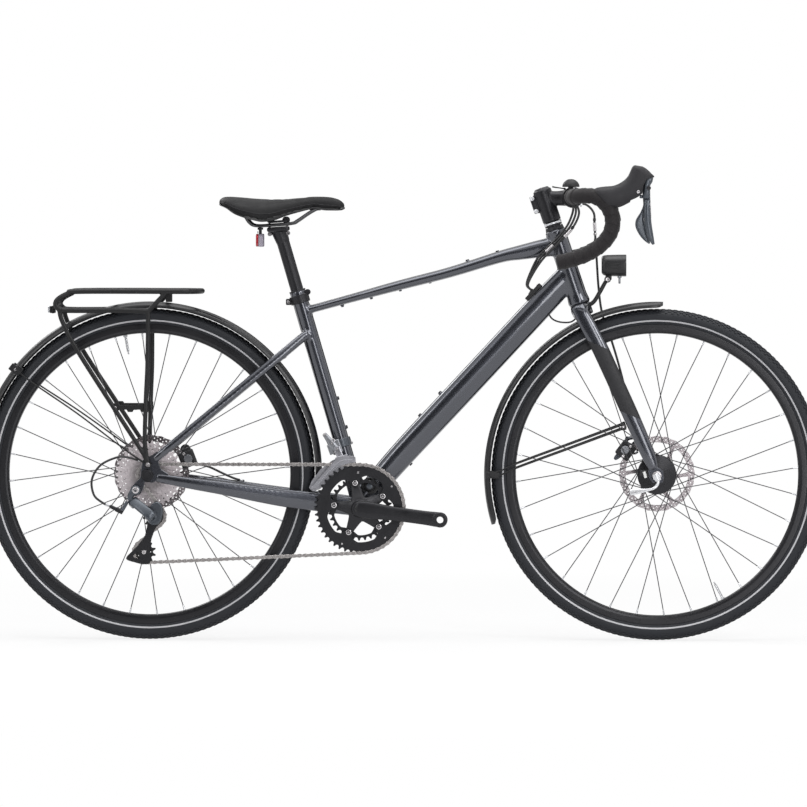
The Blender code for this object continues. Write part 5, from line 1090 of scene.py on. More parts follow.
def frame_and_fittings(sizes):
    """The frame's tubes joined by smooth fillets, with what is fixed to them."""
    tubes = [shaped_tube(DOWN_STATIONS, DOWN_SECTION), shaped_tube(TOP_STATIONS, TOP_SECTION),
             rod(seat_axis(BB_Z + 4), seat_axis(SEAT_TOP_Z - 0.5), SEAT_TUBE_R, 48, edge=0.6),
             rod(steer(HEAD_BOTTOM), steer(HEAD_TOP), HEAD_R, 56),
             rod(steer(HEAD_BOTTOM - 5.6), steer(HEAD_BOTTOM + 12), HEAD_R + 2.4, 56, HEAD_R + 0.4),
             rod(steer(HEAD_TOP - 10), steer(HEAD_TOP + 1), HEAD_R + 0.2, 56, HEAD_R + 1.4),
             ydisc(BB_X, BB_Z, -34, 34, 20.2, 64, edge=0.8), rod(V(282, -36, 598), V(282, 36, 598), 6.2, 32),
             rod(V(372, -32, 290), V(372, 32, 290), 6.8, 32)]
    for sign in (-1, 1):
        tubes += stays(sign)
    smooth = welded(tubes, sizes.weld / MM, 40, 0.8)
    smooth = carved(smooth, frame_bores())
    piece("frame_tubes", smooth, "metallic_lacquer", "frame", True, angle=60, weighted=False)
    piece("dropouts", [dropout(-1), dropout(1)], "metallic_lacquer", "frame")
    cup = rod(steer(HEAD_TOP + 1.2), steer(HEAD_TOP + 9), HEAD_R - 0.6, 56, HEAD_R - 1.8, edge=0.6)
    cup = carved(cup, rod(steer(HEAD_TOP - 8), steer(HEAD_TOP + 20), 15.2, 40))
    piece("upper_headset_cup", cup, "anodised_black", "frame")
    bosses()
    bottom_bracket()
    port()
    seat_collar()


LEG = [(903, 32, 703, 8, 14), (924, 37.5, 664, 9, 17), (947, 41.5, 621, 9, 16.6), (972, 45, 567.5, 8.7, 16.4),
       (1014.5, 50.5, 474.7, 8, 16.2), (1047.5, 54, 401, 6.9, 14.6), (1058.5, 54.6, 376, 5.4, 12.6),
       (1063, 54.6, 362, 4.4, 9.6)]


def fork_pieces(sizes):
    """Crown and legs in one skin, matt in the middle, with steerer, ends and caliper posts."""
    half = [V(905, -36, 690), V(909, -24, 697), V(911, -8, 699)]
    thick = [(17, 13), (18, 13.5), (18, 14)]
    crown = tube(half + mirrored(half), thick + thick[::-1], 40, 2.6, 6, first=X_AXIS)
    crown = carved(crown, rod(steer(HEAD_BOTTOM - 6.4), steer(HEAD_BOTTOM + 40), 60, 48))
    race = rod(steer(366), steer(HEAD_BOTTOM - 6.6), HEAD_R + 0.8, 56, edge=0.8)
    legs = [stations_tube([(x, sign * y, z, w, h) for x, y, z, w, h in LEG], 40, 2.4) for sign in (-1, 1)]
    smooth = welded([crown, race, *legs], sizes.weld / MM * 0.9, 36, 0.6)
    made = piece("fork_crown_and_legs", smooth, ("metallic_lacquer", "matt_lacquer"), "fork", True, angle=60,
                 weighted=False)
    low, high = V(0, 0, 476).z, V(0, 0, 623).z
    for face in made.data.polygons:
        lean = face.center.z + 0.42 * (face.center.x - V(980, 0, 0).x)
        if low + 0.42 * (1013 - 980) * MM < lean < high + 0.42 * (946 - 980) * MM:
            face.material_index = 1
    outline = [(-18, 10), (-12, 20), (2, 16), (12, 9), (14, -4), (11.5, -14), (7.5, -15.4), (5.6, -14.4),
               (5.4, 0), (4, 3.8), (0, 5.4), (-4, 3.8), (-5.4, 0), (-5.6, -14.4), (-8, -15.2), (-15, -5)]
    tips = [plate([rounded(outline, 2, 3)], 6.6, facing(sign * FRONT_END_Y, *FRONT_AXLE), edge=0.8)
            for sign in (-1, 1)]
    piece("fork_ends", tips, "metallic_lacquer", "fork")
    steerer = rod(steer(378), steer(641.5), 14.2, 40)
    ring = rod(steer(HEAD_BOTTOM - 6.7), steer(HEAD_BOTTOM - 5.7), HEAD_R + 1, 56)
    piece("steerer_and_race", [steerer, ring], "anodised_black", "fork")
    posts = []
    for around in (76, 94):
        cx, cz = beside_disc("front", around, -21.4)
        posts.append(rod(V(cx, 49, cz), V(cx + 16, 52, cz + 3), 4, 24))
        posts.append(nut(V(cx, 49.4, cz), -Y_AXIS, 5.4, 3))
    piece("caliper_posts", posts, "metallic_lacquer", "fork")


def lamp_and_arm():
    """The fluted lamp on its bent arm."""
    x, z = LAMP_PIVOT
    arm = tube([V(918, 0, 702), V(936, 0, 712), V(950, 0, 734), V(960, 0, 752), V(x, 0, z)],
               [(8, 4.4), (8, 4.4), (6, 4.4), (4, 4.2), (4, 4)], 28, 3, 6)
    eye = ydisc(x, z, -4, 4, 7, 40, edge=0.6)
    foot = block(V(921, 0, 703.5), (15, 17, 5), pitched(-0.55), edge=1.2)
    piece("lamp_arm", [arm, eye, foot], "powder_coat", "fork", angle=45)
    bolts = [hex_head(V(x, -8.8, z), -Y_AXIS, 4.6, 3.4, 0.5), ydisc(x, z, -8.6, 8.6, 2.4, 20),
             nut(V(x, 8.6, z), Y_AXIS, 4.4, 3.2)]
    piece("lamp_arm_bolt", bolts, "zinc_plate", "fork")
    rows = [(953.2, 17, 1.2), (954.2, 19.8, 0.8), (957, 22.2, 0.5), (961, 23.4, 0.2), (966, 24.1, 0.1),
            (974, 24.5, 0), (982, 24.7, 0), (992, 24.9, 0), (1000, 25, 0), (1003.4, 25, 0), (1005.3, 24.2, 0),
            (1005.3, 22.8, 0), (1003.2, 21.6, 0), (998, 21, 0)]
    rings = [oval(V(cx, 0, LAMP_Z + dz), Y_AXIS, Z_AXIS, r, r * 0.92, 56, 2.5) for cx, r, dz in rows]
    shell = skin(rings)
    flutes = []
    for k in range(5):
        level = LAMP_Z + 13.5 - k * 6.2
        for sign in (-1, 1):
            flutes.append(block(V(978 + (3 if k == 4 else 0), sign * 24.4, level), (27, 2.2, 1.4), edge=0.5))
    body = carved(shell, flutes)
    tabs = []
    for sign in (-1, 1):
        tabs.append(ydisc(x, z, sign * 4.4, sign * 8.2, 7, 32, edge=0.6))
        tabs.append(block(V(968, sign * 6.3, 766.5), (13, 3.8, 15), edge=0.8))
    piece("lamp_housing", [body, *tabs], "moulded_nylon", "headlight", True, angle=40)
    switch = merged(rod(V(991, -6, 768), V(991, -6, 751), 2.3, 20, edge=0.8),
                    rod(V(991, -6, 770), V(991, -6, 763), 4.2, 24))
    piece("lamp_cable_outlet", switch, "satin_grey", "headlight")
    lens_rings = [oval(V(cx, 0, LAMP_Z), Y_AXIS, Z_AXIS, r, r * 0.92, 56, 2.5)
                  for cx, r in ((999, 21.2), (1003.6, 21.3), (1004.6, 18), (1005.2, 12), (1005.4, 5))]
    piece("lamp_front_lens", skin(lens_rings), "lamp_lens", "headlight", angle=50)


# Drivetrain

BOLT_ANGLES = [CRANK_ANGLE + radians(36 + 72 * k) for k in range(5)]
TOOTH = [(0, -3.95), (0.13, -3.6), (0.22, -2.85), (0.29, -1.5), (0.355, 0.8), (0.43, 2.5), (0.57, 2.5),
         (0.645, 0.8), (0.71, -1.5), (0.78, -2.85), (0.87, -3.6)]
ROUTE_WHEELS = [(BB_X, BB_Z, 46, 1, RING_Y), (*TENSION, 11, 1, COG_Y), (*GUIDE, 11, -1, COG_Y),
                (0, WHEEL_R, 11, 1, COG_Y)]


def toothed(teeth, phase=0, middle=None):
    """Outline of a chain wheel whose first roller seat is at this angle."""
    middle = pitch_r(teeth) if middle is None else middle
    points = []
    for k in range(teeth):
        for part, over in TOOTH:
            angle = phase + 2 * pi * (k + part) / teeth
            points.append(((middle + over) * cos(angle), (middle + over) * sin(angle)))
    return points


def chain_route():
    """The chain's pins on its route, and the angle of a roller seat on each wheel it passes.

    The wheels are visited in the chain's own direction; a sense of +1 turns clockwise seen from the
    drive side. On a wheel the pins are one tooth apart, and the straight runs share out the rest.
    """
    leaving, arriving = [], []
    for i, (x0, z0, t0, s0, _) in enumerate(ROUTE_WHEELS):
        x1, z1, t1, s1, _ = ROUTE_WHEELS[(i + 1) % 4]
        reach = hypot(x1 - x0, z1 - z0)
        dx, dz = (x1 - x0) / reach, (z1 - z0) / reach
        k = (s0 * pitch_r(t0) - s1 * pitch_r(t1)) / reach
        q = sqrt(1 - k * k)
        nx, nz = k * dx - q * dz, k * dz + q * dx
        leaving.append(atan2(s0 * nz, s0 * nx))
        arriving.append(atan2(s1 * nz, s1 * nx))
    arcs, lines = [], []
    for i, (x, z, teeth, sense, y) in enumerate(ROUTE_WHEELS):
        start, end = arriving[i - 1], leaving[i]
        turn = (start - end) % (2 * pi) if sense > 0 else (end - start) % (2 * pi)
        arcs.append((x, z, pitch_r(teeth), sense, y, start, turn, turn * teeth / (2 * pi)))
        nx, nz, next_teeth, _, next_y = ROUTE_WHEELS[(i + 1) % 4]
        a = V(x + pitch_r(teeth) * cos(end), y, z + pitch_r(teeth) * sin(end))
        b = V(nx + pitch_r(next_teeth) * cos(arriving[i]), next_y,
              nz + pitch_r(next_teeth) * sin(arriving[i]))
        lines.append((a, b, (b - a).length / MM))
    on_wheels = sum(arc[7] for arc in arcs)
    straight = sum(line[2] for line in lines)
    count = 2 * round((on_wheels + straight / CHAIN_PITCH) / 2)
    step = straight / (count - on_wheels)
    pins, seats, gone = [], [], 0
    for (x, z, radius, sense, y, start, turn, links), (a, b, reach) in zip(arcs, lines):
        first = ceil(gone - 1e-9)
        seats.append(start - sense * (first - gone) * turn / links)
        for k in range(first, ceil(gone + links - 1e-9)):
            angle = start - sense * (k - gone) * turn / links
            pins.append(V(x + radius * cos(angle), y, z + radius * sin(angle)))
        gone += links
        links = reach / step
        for k in range(ceil(gone - 1e-9), ceil(gone + links - 1e-9)):
            pins.append(a.lerp(b, (k - gone) / links))
        gone += links
    return pins, seats


def chain_link(a, b, half_y, thick, end_r, waist):
    """The two side plates between two pins, round at the pins and narrow between them."""
    along = (b - a).normalized()
    up = Y_AXIS.cross(along).normalized()
    side = along.cross(up)
    reach = (b - a).length
    half = []
    for k in range(9):
        angle = pi / 2 + pi * k / 8
        half.append((end_r * cos(angle), end_r * sin(angle)))
    loop = half + [(reach / MM / 2, -waist)] + [(reach / MM - x, -y) for x, y in half]
    loop.append((reach / MM / 2, waist))
    parts = []
    for sign in (-1, 1):
        rings = []
        for level, shrink in ((half_y, 0.2), (half_y + 0.15, 0), (half_y + thick - 0.2, 0),
                              (half_y + thick, 0.3)):
            ring = []
            for x, y in loop:
                inset = 1 - shrink / end_r
                cx = reach / MM / 2
                ring.append(a + along * ((cx + (x - cx) * (1 - shrink / 10)) * MM) + up * (y * inset * MM)
                            + side * (sign * level * MM))
            rings.append(ring)
        parts.append(skin(rings))
    return merged(*parts)


def chain():
    """Roller chain: plates, rollers and pin ends, all on their pitch."""
    pins, _ = chain_route()
    inner, outer, rollers, ends = [], [], [], []
    for i, point in enumerate(pins):
        following = pins[(i + 1) % len(pins)]
        if i % 2:
            inner.append(chain_link(point, following, 1.25, 0.85, 4.1, 2.9))
        else:
            outer.append(chain_link(point, following, 2.2, 0.85, 4, 2.7))
        rollers.append(rod(point - Y_AXIS * (1.2 * MM), point + Y_AXIS * (1.2 * MM), 3.85, 16, edge=0.2))
        for sign in (-1, 1):
            ends.append(rod(point + Y_AXIS * (sign * 3 * MM), point + Y_AXIS * (sign * 3.55 * MM), 1.75, 10))
    piece("chain_links_and_rollers", [*inner, *outer, *rollers, *ends], "chain_steel", "chain", True,
          angle=40)


def ring_inside(outer, tab):
    """The inner outline of a chainring, with five rounded tabs that reach in to the bolts."""
    points = []
    for angle in BOLT_ANGLES:
        for offset, radius in ((-21, outer), (-11, outer - 6), (-7.6, tab + 1.5), (-3, tab), (3, tab),
                               (7.6, tab + 1.5), (11, outer - 6), (21, outer), (29, outer), (36, outer),
                               (43, outer)):
            turned_to = angle + radians(offset)
            points.append((radius * cos(turned_to), radius * sin(turned_to)))
    return rounded(points, 3, 3)


def chainset():
    """Both chainrings, their bolts, the cranks and the spindle."""
    _, seats = chain_route()
    holes = [circle(BOLT_CIRCLE_R * cos(a), BOLT_CIRCLE_R * sin(a), 5.2, 24) for a in BOLT_ANGLES]
    big = plate([toothed(46, seats[0]), ring_inside(71, 48.5)] + holes, RING_T, facing(RING_Y, BB_X, BB_Z),
                0.25)
    small_mesh = [toothed(32, CRANK_ANGLE), ring_inside(56.5, 48.5)] + holes
    small = plate(small_mesh, RING_T, facing(SMALL_RING_Y, BB_X, BB_Z), 0.25)
    piece("outer_chainring", big, "anodised_black", "chainring_outer", True, angle=30)
    piece("inner_chainring", small, "anodised_black", "chainring_inner", True, angle=30)
    pins = []
    for angle, radius in ((35, 82), (93, 76), (-49, 81), (-117, 83)):
        a = radians(angle)
        pins.append(ydisc(BB_X + radius * cos(a), BB_Z + radius * sin(a), RING_Y - 1.45, RING_Y + 2, 2.2, 20))
    piece("shift_pins", pins, "zinc_plate", "chainring_outer")
    bolts, sleeves, gaskets = [], [], []
    for a in BOLT_ANGLES:
        centre = V(BB_X + BOLT_CIRCLE_R * cos(a), -49.9, BB_Z + BOLT_CIRCLE_R * sin(a))
        bolts.append(hex_head(centre, -Y_AXIS, 5.6, 1.7, 0.3))
        gaskets.append(turned([(2, -52), (3.7, -52), (3.7, -51.2), (2, -51.2)], BB_X + BOLT_CIRCLE_R * cos(a),
                              BB_Z + BOLT_CIRCLE_R * sin(a), 28))
        back = Vector((centre.x, SMALL_RING_Y * MM + 0.0011, centre.z))
        bolts.append(rod(back, back + Y_AXIS * (1.6 * MM), 5.4, 28, edge=0.4))
        sleeves.append(rod(Vector((centre.x, -0.0385, centre.z)), Vector((centre.x, -0.0502, centre.z)), 4.6,
                           24))
    piece("chainring_bolts", bolts, "zinc_plate", "crank_right")
    piece("chainring_bolt_rings", gaskets, "anodised_black", "crank_right")
    piece("chainring_bolt_sleeves", sleeves, "anodised_black", "crank_right")
    piece("right_crank_and_spider", crank_shape(1), "anodised_black", "crank_right", True, angle=50,
          weighted=False)
    piece("left_crank_arm", crank_shape(-1), "anodised_black", "crank_left", True, angle=50, weighted=False)
    cap = turned([(0, -67), (7, -66.9), (10.2, -66.2), (11.2, -65), (11.2, -62), (0, -62)], BB_X, BB_Z, 48,
                 looped=False)
    screw = hex_head(V(BB_X, -66.6, BB_Z), -Y_AXIS, 5, 0.9, 0.6)
    piece("right_crank_cap", [cap, screw], "moulded_nylon", "crank_right")
    spindle = merged(ydisc(BB_X, BB_Z, -59.5, 58, 8.4, 40),
                     hex_head(V(BB_X, 66.4, BB_Z), Y_AXIS, 7.6, 1.4, 0.6))
    piece("crank_spindle", spindle, "brushed_stainless", "crank_left")


def crank_shape(sign):
    """A forged crank: hub, tapering arm and pedal eye, with the spider's arms on the drive side."""
    y_hub, y_end = (-61.5, -70.5) if sign > 0 else (57, 70.5)
    ux, uz = sign * cos(CRANK_ANGLE), sign * sin(CRANK_ANGLE)
    path, halves = [], []
    for t, half_y, half_up in ((-0.03, 6, 16.5), (0.08, 7.4, 18), (0.2, 7.4, 17.2), (0.45, 6.9, 15),
                               (0.8, 6.2, 14.8), (0.97, 6.2, 15.8), (1.05, 5.4, 14.6)):
        reach = CRANK_LENGTH * t
        path.append(V(BB_X + ux * reach, y_hub + (y_end - y_hub) * t, BB_Z + uz * reach))
        halves.append((half_y, half_up))
    arm = tube(path, halves, 40, 2.9, 6, round_ends=3)
    ex, ez = BB_X + ux * CRANK_LENGTH, BB_Z + uz * CRANK_LENGTH
    eye = ydisc(ex, ez, y_end - 6.6, y_end + 6.6, 16, 48, edge=1.4)
    if sign > 0:
        hub = turned([(0, -39.8), (17.4, -39.8), (18.6, -41.5), (18.2, -52), (17.6, -62), (15.4, -65.2),
                      (0, -65.9)], BB_X, BB_Z, 64, looped=False)
        shapes = [arm, eye, hub, ydisc(BB_X, BB_Z, -54, -46.5, 27.5, 56, edge=2.4)]
        for a in BOLT_ANGLES:
            out = Vector((cos(a), 0, sin(a)))
            across = Vector((-sin(a), 0, cos(a)))
            centre = V(BB_X, 0, BB_Z)
            spine = [centre + out * (r * MM) + Y_AXIS * (y * MM)
                     for r, y in ((8, -52.5), (20, -51.5), (32, -48.6), (45, -45.9), (56, -45.2))]
            shapes.append(tube(spine, [(18, 9.5), (15.5, 6.8), (12.4, 4.4), (9.6, 2.6), (7.8, 2.3)], 28, 3, 5,
                               first=across, round_ends=4.5))
        smooth = welded(shapes, 1.1, 8)
        holes = [ydisc(ex, ez, y_end - 20, y_end + 20, PEDAL_BORE_R, 40),
                 ydisc(BB_X, BB_Z, -30, -61, 8.7, 40)]
    else:
        hub = turned([(0, 39.2), (16, 39.2), (16.9, 40.4), (16.9, 62), (15, 65.2), (0, 65.9)], BB_X, BB_Z, 64,
                     looped=False)
        smooth = welded([arm, eye, hub], 1.1, 8)
        holes = [ydisc(ex, ez, y_end - 20, y_end + 20, PEDAL_BORE_R, 40)]
    return carved(smooth, holes)


def cassette():
    """Eight cogs with round windows on their carrier, and the notched lockring."""
    _, seats = chain_route()
    cogs = []
    for k, teeth in enumerate(COG_TEETH):
        loops = [toothed(teeth, seats[3])]
        middle = pitch_r(teeth)
        if teeth >= 20:
            rows = [(middle - 9.5, 1.8)]
            if teeth >= 26:
                rows.append((middle - 16, 1.7))
            if teeth >= 34:
                rows += [(middle - 23, 1.8), (middle - 30.5, 1.9), (middle - 38, 1.8)]
            for row, (radius, size) in enumerate(rows):
                count = max(8, int(2 * pi * radius / 10))
                loops += [circle(*spot, size, 10)
                          for spot in circle(0, 0, radius, count, pi * (row % 2) / count)]
        loops.append(circle(0, 0, 17.2 if k else 12, 32))
        cogs.append(plate(loops, COG_T, facing(COG_Y + k * COG_STEP, 0, WHEEL_R), 0.2))
    piece("cogs", cogs, "cog_plate", "cassette", True, angle=30)
    carrier = [(5.8, COG_Y + 1.2), (17.4, COG_Y + 1.2), (17.4, COG_Y + 34), (5.8, COG_Y + 34)]
    piece("cog_carrier", turned(carrier, 0, WHEEL_R, 64), "moulded_nylon", "cassette")
    profile = [(6.2, COG_Y - 3.4), (12.4, COG_Y - 3.4), (15.2, COG_Y - 2.4), (15.6, COG_Y - 1),
               (6.2, COG_Y - 1)]
    notches = [ydisc(*spot, COG_Y - 4.2, COG_Y - 2.8, 0.9, 8) for spot in circle(0, WHEEL_R, 10.4, 12)]
    piece("cassette_lockring", [turned(profile, 0, WHEEL_R, 64), *notches], "anodised_black", "cassette")


def along_axis(centre, start, end, radius, sides=32, edge=0.5):
    """A cylinder on the rear changer's link axis through this centre."""
    return rod(V(*(centre + RD_AXIS * start)), V(*(centre + RD_AXIS * end)), radius, sides, edge=edge)


def rear_changer():
    """Mount, link, knuckle, cage and pulleys of the rear changer."""
    link_dir = (RD_B - RD_A).normalized()
    out = RD_AXIS.cross(link_dir) * -1
    mount = tube([V(-24, -81.5, 318), V(-31, -81.5, 312), V(-36, -80.5, 303), V(-33.5, -79.4, 297), V(*RD_A)],
                 [(5.5, 9), (5.5, 7.4), (5, 6), (4.4, 5.4), (4.2, 4.8)], 28, 2.4, 6, round_ends=2.5)
    head = ydisc(*HANGER, -75.4, -86, 10, 48, edge=1.2)
    smooth = welded([mount, head, along_axis(RD_A, -5.8, 5.8, 5.2),
                     rod(V(-36, -81.5, 303), V(-54.5, -82, 272), 4, 28)], 0.8, 6)
    piece("changer_mount", smooth, "cast_grey", "rear_derailleur_mount", True, angle=55, weighted=False)
    silver = [hex_head(V(HANGER[0], -85.6, HANGER[1]), -Y_AXIS, 7, 2.9, 0.44),
              ydisc(*HANGER, -68.5, -76, 4.9, 28), along_axis(RD_A, -11.5, 11.5, 2.5, 20),
              hex_head(V(-41, -85.6, 296), -Y_AXIS, 2.4, 1.4)]
    piece("changer_hanger_bolt", silver, "zinc_plate", "rear_derailleur_mount")
    barrel = [rod(V(-51, -82, 271), V(-66, -82, 278.2), 5, 12, edge=0.8),
              rod(V(-64, -82, 277.2), V(-78.2, -82, 284.1), 3.9, 28, edge=0.8)]
    piece("changer_cable_adjuster", barrel, "anodised_black", "rear_derailleur_mount")

    middle = (RD_A + RD_B) / 2
    spine = [middle + link_dir * d + out * h
             for d, h in ((-31, 4.4), (-24, 6.6), (-10, 8), (8, 8.6), (22, 7.8), (30, 4.8))]
    cover = tube([V(*p) for p in spine],
                 [(9, 2.4), (10.4, 3.3), (10.8, 4.2), (10.8, 4.3), (10.4, 3.6), (9, 2.6)], 32, 2.5, 6,
                 first=RD_AXIS, round_ends=1.6)
    ears = []
    for centre in (RD_A, RD_B):
        for start, end in ((-11, -6.2), (6.2, 11)):
            ears.append(along_axis(centre, start, end, 7.3, 36, 0.8))
    link = carved(welded([cover, *ears], 0.8, 5), [along_axis(c, -14, 14, 2.7) for c in (RD_A, RD_B)])
    piece("changer_link_cover", link, "cast_grey", "rear_derailleur_link", True, angle=55, weighted=False)

    inward = Vector((GUIDE[0], -80, GUIDE[1])) - RD_B
    inward -= RD_AXIS * inward.dot(RD_AXIS)
    arm = tube([V(GUIDE[0], -75, GUIDE[1]), V(*(RD_B + inward * 0.72)), V(*RD_B)],
               [(6, 6), (4.8, 5.2), (4.8, 4.9)], 28, 2.4, 6, first=RD_AXIS, round_ends=2)
    drum = turned([(0, -79.3), (9.6, -79.2), (12.6, -78), (13.5, -75.6), (13.5, -68.2), (12.6, -66.7),
                   (0, -66.7)], *GUIDE, 56, looped=False)
    face = rounded([(3, 252), (10, 246), (21, 247), (28, 256), (31, 273), (29, 287), (20, 293), (10, 287),
                    (4, 272)], 5, 6)
    face = plate([face], 7, facing(-76.6), 2.2)
    smooth = welded([arm, drum, face, along_axis(RD_B, -5.8, 5.8, 5.2)], 0.8, 5)
    smooth = carved(smooth, ydisc(*GUIDE, -60, -76, 4.35, 32))
    piece("changer_knuckle_body", smooth, "cast_grey", "rear_derailleur_knuckle", True, angle=55,
          weighted=False)
    pins = merged(along_axis(RD_B, -11.5, 11.5, 2.5, 20),
                  hex_head(V(GUIDE[0] - 6, -79, GUIDE[1] - 6), -Y_AXIS, 2.3, 1.4))
    piece("changer_knuckle_pin", pins, "zinc_plate", "rear_derailleur_knuckle")
    cage_and_pulleys()


def cage_outline(top_r, low_r, waist, tail=()):
    """A cage plate: round at both pulleys, narrow between them, or with a tail below."""
    gx, gz = GUIDE
    tx, tz = TENSION
    tilt = atan2(gz - tz, gx - tx)
    outline = []
    for k in range(11):
        a = tilt - pi / 2 + pi * k / 10
        outline.append((gx + top_r * cos(a), gz + top_r * sin(a)))
    nx, nz = -sin(tilt), cos(tilt)
    for t, half in ((0.3, waist + 1.5), (0.6, waist)):
        outline.append((gx + (tx - gx) * t + nx * half, gz + (tz - gz) * t + nz * half))
    if tail:
        outline += [(tx + dx, tz + dz) for dx, dz in tail]
    else:
        for k in range(11):
            a = tilt + pi / 2 + pi * k / 10
            outline.append((tx + low_r * cos(a), tz + low_r * sin(a)))
    for t, half in ((0.6, waist), (0.3, waist + 1.5)):
        outline.append((gx + (tx - gx) * t - nx * half, gz + (tz - gz) * t - nz * half))
    return outline


def cage_and_pulleys():
    """Two cage plates, their bolts and the toothed pulleys."""
    _, seats = chain_route()
    tail = [(-14, 12), (-35, -8), (-38, -14), (-33.5, -17.5), (-6, -25), (8, -25.6), (13.5, -21.5), (15, -8),
            (12.6, 6)]
    window = [(TENSION[0] + dx, TENSION[1] + dz)
              for dx, dz in ((-12.5, 2.5), (-24, -8), (-22, -12), (-9, -14.5))]
    slot = [(GUIDE[0] + (TENSION[0] - GUIDE[0]) * t + dx, GUIDE[1] + (TENSION[1] - GUIDE[1]) * t)
            for t, dx in ((0.34, -3), (0.62, -3), (0.62, 3), (0.34, 3))]
    outer = plate([rounded(cage_outline(14, 9, 7.2, tail), 4, 4), rounded(window, 2.4, 3)], 1.5,
                  facing(COG_Y - 5.7), 0.3)
    inner = plate([rounded(cage_outline(10, 9, 5), 2, 2), rounded(slot, 2.4, 3)], 1.5, facing(COG_Y + 5.7),
                  0.3)
    rim_path = [V(TENSION[0] + dx, COG_Y - 6.3, TENSION[1] + dz)
                for dx, dz in ((-32, -10), (-34, -14), (-8, -23), (8, -23.4))]
    piece("changer_cage_plates",
          [outer, inner, wire(rim_path, 1.1, 4, 10), ydisc(*GUIDE, COG_Y - 6.2, -75.5, 4.2, 32)],
          "anodised_black", "rear_derailleur_cage", True)
    bolts = [ydisc(*TENSION, COG_Y - 6, COG_Y + 7, 2.9, 24), ydisc(*GUIDE, COG_Y - 6, COG_Y + 6.2, 2.9, 24),
             hex_head(V(TENSION[0], COG_Y - 6.4, TENSION[1]), -Y_AXIS, 4.3, 1.3)]
    piece("pulley_bolts", bolts, "zinc_plate", "rear_derailleur_cage")
    for name, (x, z), seat in (("guide_pulley", GUIDE, seats[2]), ("tension_pulley", TENSION, seats[1])):
        loops = [toothed(11, seat), circle(0, 0, 7, 32)]
        loops += [circle(*spot, 2.6, 14) for spot in circle(0, 0, 12.2, 5)]
        wheel = plate(loops, 2.2, facing(COG_Y, x, z), 0.25)
        boss_ring = turned([(3.3, COG_Y - 4.4), (7.2, COG_Y - 4.4), (7.9, COG_Y - 3.4), (7.9, COG_Y + 3.4),
                            (7.2, COG_Y + 4.4), (3.3, COG_Y + 4.4)], x, z, 40)
        piece(name + "_wheel", [wheel, boss_ring], "moulded_nylon", name, True, angle=30)


def polar(points):
    """Points given as (degrees, radius) about the bottom bracket."""
    return [(BB_X + r * cos(radians(a)), BB_Z + r * sin(radians(a))) for a, r in points]


def front_changer():
    """The cage of two bowed plates, its body and the band round the seat tube."""
    outer = [(95, 99), (95, 110), (99, 112.5), (106, 116), (113, 118.5), (120, 112.5), (130, 107.5),
             (140, 106.4), (150, 108), (154.5, 110.5), (156, 107), (153, 99.4)]
    outer += [(a, 98.8) for a in (148, 142, 136, 130, 124, 118, 112, 106, 100)]
    inner = [(101, 96), (101, 106), (104, 112), (110, 116), (120, 117), (135, 117), (150, 117), (158, 116),
             (160, 106), (154, 94), (140, 88), (125, 88), (110, 91)]
    bridge = [(103, 112.5), (103, 117), (110, 118.5), (116, 118.5), (116, 115.5), (110, 114)]
    shapes = [plate([rounded(polar(outer), 1.6, 4)], 1.4, facing(-56.4), 0.3),
              plate([rounded(polar(inner), 3, 4)], 1.4, facing(-42.6), 0.3),
              plate([rounded(polar(bridge), 1.2, 3)], 14.2, facing(-49.5), 0.5)]
    rib = [V(x, -57.3, z)
           for x, z in polar([(99, 105), (112, 108.5), (125, 102.5), (140, 100.5), (152, 103.5)])]
    shapes.append(tube(rib, 0.9, 12, steps=5, round_ends=0.5))
    shapes.append(tube([V(404, -42.4, 388), V(400, -40.5, 397), V(397, -39.5, 408)],
                       [(1.6, 7), (1.6, 7), (1.6, 6)], 24, 3, 5, round_ends=1))
    made = carved(shapes[-1], ydisc(*CHANGER_PIN, -30, -50, 2.3, 24))
    tail = ydisc(*polar([(156, 110)])[0], -57.4, -41.6, 2.6, 28)
    piece("front_cage", [*shapes[:-1], made, tail], "cage_steel", "front_derailleur_cage", True)
    turn = pitched(-0.35)
    band = carved(rod(seat_axis(406.5), seat_axis(423.5), SEAT_TUBE_R + 3.6, 64, edge=0.8),
                  rod(seat_axis(380), seat_axis(450), SEAT_TUBE_R + 0.3, 64))
    arm = tube([V(399, -24, 398), V(388, -25, 410), V(378, -25, 424), V(370, -25.5, 434)],
               [(4.6, 8), (4.6, 8.5), (4, 6), (3.4, 4.4)], 28, 2.8, 6, round_ends=2)
    body = [block(V(395, -23.5, 407), (22, 9, 30), turn, edge=3, segments=4), arm,
            block(V(384, -27.4, 402), (11, 2.6, 22), turn, edge=1),
            ydisc(*CHANGER_PIN, -24, -29, 5, 32, edge=0.8)]
    piece("front_changer_clamp", body, "satin_grey", "front_derailleur_body", True, angle=45)
    piece("front_changer_band", band, "cast_grey", "front_derailleur_body")
    silver = [hex_head(V(371, -28.4, 433), -Y_AXIS, 3.4, 2.4),
              hex_head(V(386, -28.8, 414), -Y_AXIS, 2.3, 1.6),
              hex_head(V(392, -28.8, 395), -Y_AXIS, 2.3, 1.6), ydisc(*CHANGER_PIN, -25, -43, 2, 24),
              rod(seat_axis(415, 0) + Vector((0.020, -0.006, 0)),
                  seat_axis(415, 0) + Vector((0.020, 0.009, 0)), 3.2, 24)]
    coil = []
    for k in range(49):
        a = 2 * pi * k / 8
        coil.append(V(389 + 3.6 * cos(a), -28.6 - 0.06 * k, 421 + 3.6 * sin(a)))
    silver.append(tube(coil, 0.6, 8, steps=1))
    piece("front_changer_screws", silver, "zinc_plate", "front_derailleur_body")


# Mudguards and rack

